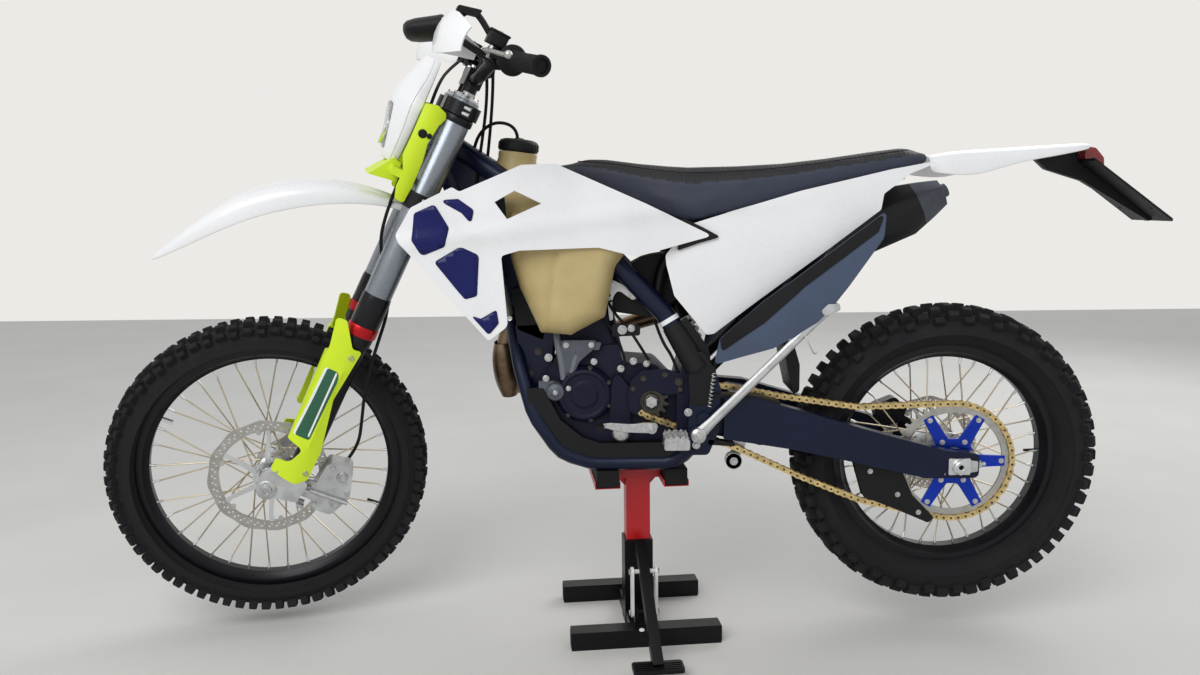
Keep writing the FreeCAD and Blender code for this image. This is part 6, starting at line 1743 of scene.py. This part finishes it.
def exhaust_pipe():
    """Header with its flange, the swelling in front and the joint clamp."""
    bulge = turned([(-66, 18.6), (-54, 22), (-40, 26), (-22, 29), (0, 30), (22, 29), (40, 26), (54, 22),
                    (66, 18.6)], axis="Z", steps=32)
    bulge = moved(bulge, toward((-299.5, 59, 613), (-293.5, 76, 541)))
    flange = turned([(-5, 19), (-5, 30), (5, 30), (5, 19)], axis="Z", steps=32, loop=True)
    clamp = turned([(-8, 19), (-8, 22.5), (8, 22.5), (8, 19)], axis="Z", steps=32, loop=True)
    shapes = [(tube(HEADER, 19, sides=24), 0), (bulge, 0),
              (moved(flange, toward((-188, 16, 747.5), (-204, 16, 744))), 1),
              (moved(clamp, toward((180, 95, 717), (200, 96, 722))), 1)]
    shapes += numbered(1, bolt((190, 73, 719), 4, 8))
    piece("exhaust_pipe", shapes, "frame", [heated_steel(), zinc_steel()], replaces="exhaust_header")


def silencer_can():
    """Can with a grey rear cap, its outlet, and a black front cap."""
    lean = math.radians(25)
    rear_cap, front_cap = 62, 40
    along = Vector((math.cos(lean), 0, math.sin(lean)))
    solid = solid_of("silencer")
    end = max(vertex.co.dot(along) for vertex in solid.verts)
    start = min(vertex.co.dot(along) for vertex in solid.verts)
    for at in (end - rear_cap, start + front_cap):
        split(solid, along * at, along)
    for face in solid.faces:
        at = face.calc_center_median().dot(along)
        face.material_index = 1 if at > end - rear_cap else (2 if at < start + front_cap else 0)
    rear = [face for face in solid.faces if face.calc_center_median().dot(along) > end - 1]
    middle = sum((face.calc_center_median() for face in rear), Vector()) / len(rear)
    outlet = turned([(-4, 12), (12, 12), (14, 14), (12, 16), (-4, 16)], axis="Z", steps=32, loop=True)
    outlet = moved(outlet, toward(middle - along, middle + along))
    shapes = [solid, (outlet, 1), (rod(middle - along * 3, middle + along, 12), 3)]
    piece("silencer_can", shapes, "frame", [can_coating(), grey_casting(), black_plastic(), dark_steel()],
          replaces="silencer", edge=2.5)


class DIRTBIKE_OT_engine(bpy.types.Operator):
    """Builds the engine's cases, covers, fittings, exhaust and radiators"""
    bl_idname = "dirtbike.engine"
    bl_label = "Engine"

    def execute(self, context):
        dressed("engine_block", "frame", cast_cases(), 3, "engine_cases")
        engine_covers()
        engine_left_side()
        cylinder_parts()
        skid_guard()
        hidden_masses()
        exhaust_pipe()
        silencer_can()
        dressed("radiators", "frame", radiator_core(), 0.8)
        return {"FINISHED"}


# Frame, swingarm, drive and controls

def frame_trim():
    """White ring, protector and cover on each side of the frame, the head stay and bolts."""
    ring = turned([(-5, 20), (-5, 22.5), (5, 22.5), (5, 20)], axis="Z", steps=32, loop=True)
    ring = moved(ring, toward((66, -94.6, 709), (72, -96.2, 699)))
    sleeve = [(0, 20.5), (0, 22.4), (30, 23.5), (60, 24.4), (106, 24.6), (106, 20.5)]
    guard = turned(sleeve, (0, 0, -53), "Z", steps=32, loop=True)
    guard = moved(guard, toward((75, -97.3, 693), (127, -111.4, 602)))
    shapes = numbered(0, both(ring)) + numbered(1, both(guard))
    cover = slab([(106, 640, 16), (140, 640, 16), (160, 606, 14), (162, 560, 10), (154, 528, 8),
                  (110, 526, 8)], -123.5, -120.2)
    web = slab([(92, 704, 3), (104, 712, 3), (150, 648, 10), (158, 606, 10), (120, 606, 4)], -108, -102)
    shapes += numbered(1, both(cover) + both(web))
    stay = slab([(-60, 783, 5), (-48, 788, 5), (0, 763, 7), (2, 749, 7), (-9, 745, 5), (-40, 768, 10),
                 (-51, 745, 20), (-49, 702, 4), (-57, 700, 4), (-62, 745, 20)], -66, -61)
    shapes += numbered(2, both(stay))
    shapes += numbered(3, bolts([(-6, -66, 754, 6, 9), (-51, -66, 778, 5, 8), (107, -120, 511, 6, 9),
                                 (124, -120, 440, 6, 9)]))
    piece("frame_trim", shapes, "frame",
          [glossy_white_plastic(), black_plastic(), cast_aluminium(), zinc_steel()],
          edge=0.8)


def swingarm_parts():
    """Chain sliders, adjusters and their marks on the swingarm."""
    slider = slab([(150, 552, 5), (247, 547, 10), (300, 532, 8), (300, 526, 3), (246, 540, 8), (152, 544, 3)],
                  -127, -97)
    lower = slab([(150, 452, 4), (206, 444, 4), (206, 436, 4), (148, 440, 4)], -120, -97)
    shapes = [(slider, 0), (lower, 0)]
    for side in (-1, 1):
        y = side * 112
        plate = [(694, 377, 3), (716, 380, 3), (716, 402, 3), (694, 405, 3)]
        shapes.append((side_slab(plate, side, 128, 131), 1))
        shapes.append((rod((716, y, 391), (738, y, 391), 4, segments=16), 1))
        shapes.append((rod((722, y, 391), (729, y, 391), 8, segments=6), 1))
        for at in range(5):
            x = 648 + at * 9
            mark = [(x, 372), (x + 1.4, 372), (x + 1.4, 376), (x, 376)]
            shapes.append((side_slab(mark, side, 127, 127.5), 1))
    piece("swingarm_fittings", shapes, "frame", [black_plastic(), cast_aluminium()],
          edge=0.6)


def rear_axle_parts():
    """Rear axle with a machined cone at each end."""
    cone = turned([(127.3, 18), (133, 18), (134, 17), (139, 14), (141, 11), (141, 6), (127.3, 6)],
                  REAR_AXLE, loop=True)
    piece("rear_axle_set", [solid_of("rear_axle")] + both(cone), "frame", machined_aluminium(),
          replaces="rear_axle", edge=0.8)


def shock_unit():
    """Shock with its coil spring, reservoir head, eyes and link plates."""
    top, low = Vector((70, 0, 768)), Vector((176, 0, 492))
    way = (low - top).normalized()
    place = toward(top, low) @ Matrix.Translation((0, 0, -(low - top).length / 2))
    rows = [(0, 0), (0, 13), (30, 13), (34, 22), (60, 24), (61, 33), (67, 33), (68, 21), (207, 21),
            (208, 33), (214, 32), (217, 14), (219, 9), (284, 9), (290, 14), (296, 14), (296, 0)]
    damper = moved(turned(rows, axis="Z", steps=32), place)
    coil = []
    turns, steps = 7.6, 12
    for number in range(int(turns * steps) + 1):
        angle = 2 * math.pi * number / steps
        height = 72 + 131 * number / (turns * steps)
        coil.append((27.5 * math.cos(angle), 27.5 * math.sin(angle), height))
    spring = moved(tube(coil, 5.2), place)
    head = top + way * 40
    shapes = [(damper, 0), (spring, 1), (rod(low - Vector((0, 17, 0)), low + Vector((0, 17, 0)), 17), 0),
              (rod(top - Vector((0, 14.7, 0)), top + Vector((0, 14.7, 0)), 18), 0),
              (rod(head - Vector((46, 0, 0)), head - Vector((0, 26, 0)), 19), 0)]
    link = [(150, 452, 8), (200, 436, 8), (196, 470, 8), (176, 508, 8), (158, 500, 8)]
    for side in (-1, 1):
        shapes.append((side_slab(link, side, 17, 23), 2))
    shapes.append((rod((172, -26, 458), (172, 26, 458), 7), 2))
    piece("shock_unit", shapes, "frame", [black_anodised(), white_spring(), cast_aluminium()],
          replaces="shock", edge=0.8)


def rear_brake():
    """Caliper with its three bolts."""
    rows = [(566, 94, 453, 5, 6), (592, 94, 491, 5, 6), (612, 94, 463, 4, 8)]
    shapes = [(solid_of("rear_caliper"), 0)] + numbered(1, bolts(rows, (0, 1, 0)))
    piece("rear_caliper_set", shapes, "frame", [black_anodised(), zinc_steel()], replaces="rear_caliper",
          edge=2)


CHAIN_Y = -84.0
PITCH = 15.875
REAR_PITCH = PITCH / (2 * math.sin(math.pi / 50))
FRONT_PITCH = PITCH / (2 * math.sin(math.pi / 13))
FRONT_CENTRE = Vector((31, 0, 528))
REAR_CENTRE = Vector(REAR_AXLE)


def tangent(centre, radius, spot, sense):
    """Where a line from spot touches a circle, as an angle."""
    away = Vector((spot[0], 0, spot[1])) - centre
    return math.atan2(away.z, away.x) + sense * math.acos(radius / away.length)


def chain_path():
    """Closed pitch line of the chain: round the sprockets, sagging between them."""
    upper = [(190, 560), (300, 538), (470, 512)]
    lower = [(214, 424), (350, 360), (480, 306)]

    def arc(centre, radius, first, last):
        while last > first:
            last -= 2 * math.pi
        count = 24
        angles = [first + (last - first) * i / count for i in range(count + 1)]
        return [(centre.x + radius * math.cos(a), centre.z + radius * math.sin(a)) for a in angles]

    front_in = tangent(FRONT_CENTRE, FRONT_PITCH, lower[0], -1)
    front_out = tangent(FRONT_CENTRE, FRONT_PITCH, upper[0], 1)
    rear_in = tangent(REAR_CENTRE, REAR_PITCH, upper[-1], -1)
    rear_out = tangent(REAR_CENTRE, REAR_PITCH, lower[-1], 1)
    return (upper + arc(REAR_CENTRE, REAR_PITCH, rear_in, rear_out) + lower[::-1]
            + arc(FRONT_CENTRE, FRONT_PITCH, front_in, front_out))


def pins_along(path):
    """Points one pitch apart on a closed path."""
    runs = list(zip(path, path[1:] + path[:1]))
    lengths = [math.dist(one, two) for one, two in runs]
    count = 2 * round(sum(lengths) / PITCH / 2)
    step = sum(lengths) / count
    pins, gone = [], 0.0
    for (one, two), length in zip(runs, lengths):
        while len(pins) < count and len(pins) * step <= gone + length:
            share = (len(pins) * step - gone) / length
            pins.append((one[0] + (two[0] - one[0]) * share, one[1] + (two[1] - one[1]) * share))
        gone += length
    return pins


def link_plate(one, two, low, high):
    """Waisted chain plate round two pins."""
    way = Vector((two[0] - one[0], two[1] - one[1]))
    turn = math.atan2(way.y, way.x)
    rows = []
    for centre, start in ((two, -math.pi / 2), (one, math.pi / 2)):
        for number in range(5):
            angle = turn + start + math.pi * number / 4
            rows.append((centre[0] + 6.6 * math.cos(angle), centre[1] + 6.6 * math.sin(angle)))
        angle = turn + start + math.pi
        middle = ((one[0] + two[0]) / 2, (one[1] + two[1]) / 2)
        rows.append((middle[0] + 5.0 * math.cos(angle), middle[1] + 5.0 * math.sin(angle)))
    return slab(rows, low, high)


def drive_chain():
    """Roller chain: inner and outer plates by turns, rollers and riveted pins."""
    pins = pins_along(chain_path())
    plates, dark = [], []
    for number, (one, two) in enumerate(zip(pins, pins[1:] + pins[:1])):
        out = 5.2 if number % 2 else 3.3
        for side in (-1, 1):
            low, high = sorted((CHAIN_Y + side * out, CHAIN_Y + side * (out + 1.8)))
            plates.append(link_plate(one, two, low, high))
        for half, radius, segments in ((3.2, 5, 10), (8, 2.4, 8)):
            dark.append(rod((one[0], CHAIN_Y - half, one[1]), (one[0], CHAIN_Y + half, one[1]), radius,
                            segments=segments))
    piece("chain_links", numbered(0, plates) + numbered(1, dark), "frame", [chain_gold(), dark_steel()],
          replaces="chain", smooth=30)


def pierced(outer, inner, low, high):
    """Plate about Y with a hole, from two outlines."""
    bm = bmesh.new()
    for rows in (outer, inner):
        verts = [bm.verts.new((x, low, z)) for x, z in rows]
        for pair in zip(verts, verts[1:] + verts[:1]):
            bm.edges.new(pair)
    bmesh.ops.triangle_fill(bm, use_beauty=True, edges=bm.edges[:])
    return extruded(bm, (0, high - low, 0))


def circle(radius):
    """Outline of a round hole."""
    angles = [2 * math.pi * i / 60 for i in range(60)]
    return [(radius * math.cos(angle), radius * math.sin(angle)) for angle in angles]


def toothed(teeth, pitch, inner, half):
    """Toothed ring about Y."""
    # Shares of a tooth's run, each with its height over the pitch circle
    profile = [(0.0, -5.4), (0.28, -5.4), (0.44, 1.0), (0.5, 4.0), (0.78, 4.0), (0.84, 1.0)]
    outer = []
    for tooth in range(teeth):
        for share, lift in profile:
            angle = 2 * math.pi * (tooth + share) / teeth
            outer.append(((pitch + lift) * math.cos(angle), (pitch + lift) * math.sin(angle)))
    return pierced(outer, circle(inner), -half, half)


def sprockets():
    """Steel drive sprocket with its nut; blue spider with a steel toothed ring behind."""
    front = toothed(13, FRONT_PITCH, 12, 2.6)
    hub_ring = turned([(-2.6, 8), (-9, 8), (-9, 13), (-7, 17), (-2.6, 18)], loop=True)
    place = Matrix.Translation((31, CHAIN_Y, 528))
    nut = rod((0, -13, 0), (0, -8, 0), 13, segments=6)
    shaft = rod((0, -14, 0), (0, 13.6, 0), 11, segments=24)
    shapes = [(moved(front, place), 0), (moved(hub_ring, place), 0), (moved(nut, place), 1),
              (moved(shaft, place), 1)]
    piece("drive_sprocket_set", shapes, "frame", [dark_steel(), zinc_steel()], replaces="drive_sprocket",
          edge=0.5)
    ring = toothed(50, REAR_PITCH, REAR_PITCH - 20, 2.6)
    outline = []
    for arm in range(6):
        middle = 2 * math.pi * arm / 6
        for turn, radius in ((-0.30, 50), (-0.20, 66), (-0.115, REAR_PITCH - 26), (-0.10, REAR_PITCH - 15),
                             (0.10, REAR_PITCH - 15), (0.115, REAR_PITCH - 26), (0.20, 66), (0.30, 50)):
            outline.append((radius * math.cos(middle + turn), radius * math.sin(middle + turn)))
    shapes = [(ring, 0), (pierced(outline, circle(31), -4.2, 2), 1)]
    for arm in range(6):
        angle = 2 * math.pi * arm / 6
        for radius in (REAR_PITCH - 23, 48):
            spot = (radius * math.cos(angle), -4, radius * math.sin(angle))
            shapes += numbered(2, bolt(spot, 4, 2.4))
    place = REAR_WHEEL @ Matrix.Translation((0, CHAIN_Y, 0))
    piece("rear_sprocket_set", shapes, "rear_wheel", [disc_steel(), blue_anodised(), zinc_steel()], place,
          replaces="rear_sprocket", edge=0.5)


def chain_guards():
    """Chain guide on the swingarm and the grooved roller on its hanger."""
    roller = turned([(-94, 6), (-94, 17), (-91, 18), (-88, 16), (-80, 16), (-77, 18), (-74, 17),
                     (-74, 6)], (207, 0, 397), loop=True)
    solid = solid_of("chain_guide")
    for face in solid.faces:
        centre = face.calc_center_median()
        if centre.x < 300:
            face.material_index = 2 if centre.z > 416 else 1
    shapes = [solid, (roller, 1)]
    shapes += numbered(1, bolts([(500, -93.5, 372, 4, 6), (560, -93.5, 320, 4, 6), (606, -93.5, 280, 4, 6),
                                 (207, -94, 397, 6, 8)]))
    piece("chain_guards", shapes, "frame", [black_plastic(), zinc_steel(), grey_casting()],
          replaces="chain_guide", edge=1.2)


def foot_rests():
    """Footpegs: a cleated frame on its hinge bracket."""
    shapes = []
    for at in range(6):
        y = -148 - at * 12
        shapes.append(slab([(54, 470), (102, 470), (100, 481), (96, 476), (90, 482), (84, 476), (78, 482),
                            (72, 476), (66, 482), (60, 476), (56, 481)], y - 2.5, y + 2.5))
    frame_bar = slab([(52, 452, 5), (104, 452, 5), (104, 474, 5), (52, 474, 5)], -212, -206)
    sides = [block((52, -208, 456), (58, -140, 472)), block((98, -208, 456), (104, -140, 472))]
    hub_bar = slab([(52, 448, 5), (104, 448, 5), (104, 476, 5), (52, 476, 5)], -152, -142)
    arm = slab([(74, 450, 4), (105.3, 450, 2), (105.3, 470, 2), (74, 470, 4)], -144, -106)
    shapes += [frame_bar, hub_bar, arm, rod((78, -146, 446), (78, -146, 480), 6)] + sides
    shapes = [item for shape in shapes for item in both(shape)]
    piece("footpeg_set", shapes, "frame", zinc_steel(), replaces="footpegs", edge=0.7)


def foot_levers():
    """Forged shift lever with its rubber tip, and the brake pedal."""
    lever = slab([(40, 490, 6), (44, 480, 6), (26, 468, 8), (-20, 470, 6), (-46, 474, 8), (-68, 480, 6),
                  (-84, 478, 4), (-84, 488, 4), (-56, 491, 8), (-16, 488, 8), (14, 490, 8)], -128, -119)
    head = turned([(-131, 0), (-131, 11), (-116, 12), (-116, 0)], (30, 0, 478), steps=32)
    shaft = rod((18, -70.3, 475), (18, -124, 475), 7)
    toe = rod((-78, -126, 483), (-78, -158, 483), 8)
    pedal = slab([(54, 400, 8), (52, 384, 8), (30, 386, 8), (-30, 408, 30), (-116, 436, 8), (-118, 450, 6),
                  (-30, 426, 30), (30, 404, 8)], 130, 140)
    plate = slab([(-146, 128, 4), (-112, 128, 4), (-112, 158, 4), (-146, 158, 4)], 444, 452, "Z")
    teeth = [block((-144 + at * 8, 130, 451), (-141 + at * 8, 156, 455)) for at in range(4)]
    boss = rod((44, 99.4, 395.3), (44, 142, 395.3), 9)
    shapes = [(toe, 1)] + numbered(0, [lever, head, shaft, pedal, plate, boss] + teeth
                                   + bolt((30, -131, 478), 4.5, 6))
    piece("foot_lever_set", shapes, "frame", [zinc_steel(), soft_rubber()], replaces="foot_controls",
          edge=1.2)


def prop_stand():
    """Side stand: eight-sided leg, round head with its bolt, and shaped foot."""
    pivot, tip = Vector((126, -139, 466)), Vector((400, -139, 736))
    axis = Vector((-0.049, 0.9945, -0.0923)).normalized()
    way = (tip - pivot).normalized()
    across = way.cross(axis)
    rings = []
    for at, wide, deep in ((4, 13, 9), (40, 10, 8), (200, 9, 7), (340, 9, 6.5), (384, 11, 5)):
        spot = pivot + way * at
        rings.append([tuple(spot + across * a * wide + axis * b * deep)
                      for a, b in ((-1, -0.5), (-0.5, -1), (0.5, -1), (1, -0.5), (1, 0.5), (0.5, 1),
                                   (-0.5, 1), (-1, 0.5))])
    foot = slab([(tip.x - 16, tip.z - 22, 8), (tip.x + 16, tip.z - 8, 6), (tip.x + 13, tip.z + 6, 6),
                 (tip.x - 10, tip.z + 4, 6), (tip.x - 24, tip.z - 10, 6)], -152, -126)
    head = turned([(-19, 0), (-18, 12), (-15, 16), (11, 16), (12, 14), (12, 0)], axis="Z", steps=40)
    head = moved(head, toward(pivot - axis * 8 + axis * 2.4, pivot + axis * 8 + axis * 2.4))
    shapes = [(loft(rings), 0), (foot, 0), (head, 1)]
    shapes += numbered(1, bolt(pivot - axis * 15, 6, 7, -axis))
    piece("side_stand_leg", shapes, "side_stand", [cast_aluminium(), zinc_steel()], replaces="side_stand",
          edge=0.8)


def trim_and_springs():
    """Mud flap, the side stand's spring, a wire hook and the tab below the covers."""
    flap = slab([(318, 640, 10), (338, 648, 10), (352, 600, 20), (352, 540, 12), (338, 536, 8),
                 (326, 590, 20)], -60, 60)
    coil = []
    turns, steps = 9, 6
    for number in range(turns * steps + 1):
        angle = 2 * math.pi * number / steps
        share = number / (turns * steps)
        coil.append((160 - 9 * share + 5 * math.cos(angle), -130 + 5 * math.sin(angle), 596 - 72 * share))
    hook = [(338, -118, 690), (342, -140, 684), (352, -152, 660), (364, -152, 634), (370, -140, 640)]
    tab = slab([(376, 752, 4), (408, 742, 4), (416, 724, 5), (384, 728, 5)], -150, -138)
    shapes = [(flap, 0), (tube(coil, 1.5, sides=8), 1), (tube(hook, 1.8, sides=8), 1), (tab, 0)]
    piece("rear_small_parts", shapes, "frame", [black_plastic(), zinc_steel()],
          edge=0.8)


class DIRTBIKE_OT_frame_parts(bpy.types.Operator):
    """Builds the frame, swingarm, shock, drive, rear brake, controls and side stand"""
    bl_idname = "dirtbike.frame_parts"
    bl_label = "Frame and drive"

    def execute(self, context):
        dressed("main_frame", "frame", frame_paint(), 1.5)
        dressed("subframe", "frame", black_powder_coat(), 1)
        dressed("swingarm", "frame", frame_paint(), 3)
        frame_trim()
        swingarm_parts()
        rear_axle_parts()
        shock_unit()
        rear_brake()
        drive_chain()
        sprockets()
        chain_guards()
        foot_rests()
        foot_levers()
        prop_stand()
        trim_and_springs()
        return {"FINISHED"}


# Lift stand, modelled square and then turned to its place

def stand_base_parts():
    """Black base tubes and sleeve, rubber plugs in the tube ends and two white bolt heads."""
    shapes = [(solid_of("stand_base"), 0)]
    for x in (-12, 12):
        cap = turned([(0, 0), (0, 6), (3, 5.4), (4, 3), (4, 0)], (x, -150, 40), "Z", 24)
        shapes.append((moved(cap, STAND), 1))
    for low, high in ((-164, -163), (162, 165)):
        for y in (-127, 127):
            shapes.append((moved(block((low, y - 17, 3), (high, y + 17, 37)), STAND), 2))
    piece("stand_base_set", shapes, "frame", [black_powder_coat(), glossy_white_plastic(), soft_rubber()],
          replaces="stand_base", edge=2)


def stand_column_parts():
    """Red post with its cross bar and the channels that hold the pads."""
    shapes = [solid_of("stand_column")]
    for side in (-1, 1):
        low, high = sorted((side * 47.4, side * 102.6))
        channel = slab([(low, 337), (high, 337), (high, 352), (high - 2.6, 352), (high - 2.6, 339.6),
                        (low + 2.6, 339.6), (low + 2.6, 352), (low, 352)], -88, 88)
        gusset = slab([(side * 27, 343), (side * 50, 343), (side * 27, 318)], -4, 4)
        shapes += [moved(channel, STAND), moved(gusset, STAND)]
    piece("stand_column_set", shapes, "frame", red_powder_coat(), replaces="stand_column",
          edge=1.5)


def stand_lever_parts():
    """Black foot lever and pedal, white links and their pins."""
    solid = solid_of("stand_lever")
    for face in solid.faces:
        spot = STAND_BACK @ face.calc_center_median()
        if abs(spot.x) > 12 and spot.y > -140:
            on_link = abs(spot.x) < 29.2 and abs(face.normal.z) + abs(face.normal.x) > 0.02
            face.material_index = 1 if on_link else 2
    ribs = [moved(block((-48, -308 + at * 8, 30), (48, -305 + at * 8, 31.6)), STAND) for at in range(4)]
    pins = []
    for height in (62, 155):
        for low, high in ((-33, -29), (29, 33)):
            pins.append(moved(rod((low, -106, height), (high, -106, height), 7, segments=6), STAND))
    piece("stand_lever_set", [solid] + numbered(0, ribs) + numbered(2, pins), "frame",
          [black_powder_coat(), white_powder_coat(), zinc_steel()], replaces="stand_lever",
          edge=1.2)


class DIRTBIKE_OT_lift_stand(bpy.types.Operator):
    """Builds the lift stand with its pads, links and foot lever"""
    bl_idname = "dirtbike.lift_stand"
    bl_label = "Lift stand"

    def execute(self, context):
        stand_base_parts()
        stand_column_parts()
        stand_lever_parts()
        dressed("stand_pads", "frame", soft_rubber(), 3)
        return {"FINISHED"}


# Cables

def left_cables():
    """Two cables from the left controls, laid along fixed routes towards the frame."""
    start, end = STEERED @ Vector((20, -60, 240)), STEERED @ Vector((100, -38, 60))
    for number, route in enumerate(LEFT_CABLES):
        cable = piece(f"left_cable_{number + 1}", tube(route, 3.6), None, soft_rubber(), STEERED)
        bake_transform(cable)
        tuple(start)
        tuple(end)


class DIRTBIKE_OT_cables(bpy.types.Operator):
    """Lays the cables from the handlebar to the frame"""
    bl_idname = "dirtbike.cables"
    bl_label = "Cables"

    def execute(self, context):
        left_cables()
        return {"FINISHED"}


CLASSES = [DirtBikeColours, DirtBikeSizes, DIRTBIKE_OT_stage, DIRTBIKE_OT_wheels, DIRTBIKE_OT_shrouds,
           DIRTBIKE_OT_side_panels, DIRTBIKE_OT_tank, DIRTBIKE_OT_seat, DIRTBIKE_OT_fenders,
           DIRTBIKE_OT_fork, DIRTBIKE_OT_cockpit, DIRTBIKE_OT_engine, DIRTBIKE_OT_frame_parts,
           DIRTBIKE_OT_lift_stand, DIRTBIKE_OT_cables]
STEPS = [item for item in CLASSES if issubclass(item, bpy.types.Operator)]


class DIRTBIKE_PT_pieces(bpy.types.Panel):
    """Lists the sizes, the colours and the steps that build the bike"""
    bl_idname = "DIRTBIKE_PT_pieces"
    bl_label = "Dirt Bike"
    bl_space_type = "VIEW_3D"
    bl_region_type = "UI"
    bl_category = "Dirt Bike"

    def draw(self, context):
        for group in (context.scene.dirt_bike_sizes, context.scene.dirt_bike_colours):
            for name in group.__annotations__:
                self.layout.prop(group, name)
        for step in STEPS:
            self.layout.operator(step.bl_idname)


def register():
    for item in CLASSES + [DIRTBIKE_PT_pieces]:
        bpy.utils.register_class(item)
    bpy.types.Scene.dirt_bike_colours = bpy.props.PointerProperty(type=DirtBikeColours)
    bpy.types.Scene.dirt_bike_sizes = bpy.props.PointerProperty(type=DirtBikeSizes)


def unregister():
    del bpy.types.Scene.dirt_bike_sizes
    del bpy.types.Scene.dirt_bike_colours
    for item in reversed(CLASSES + [DIRTBIKE_PT_pieces]):
        bpy.utils.unregister_class(item)


def main():
    register()
    for step in STEPS:
        group, name = step.bl_idname.split(".")
        getattr(getattr(bpy.ops, group), name)()


if __name__ == "__main__":
    main()
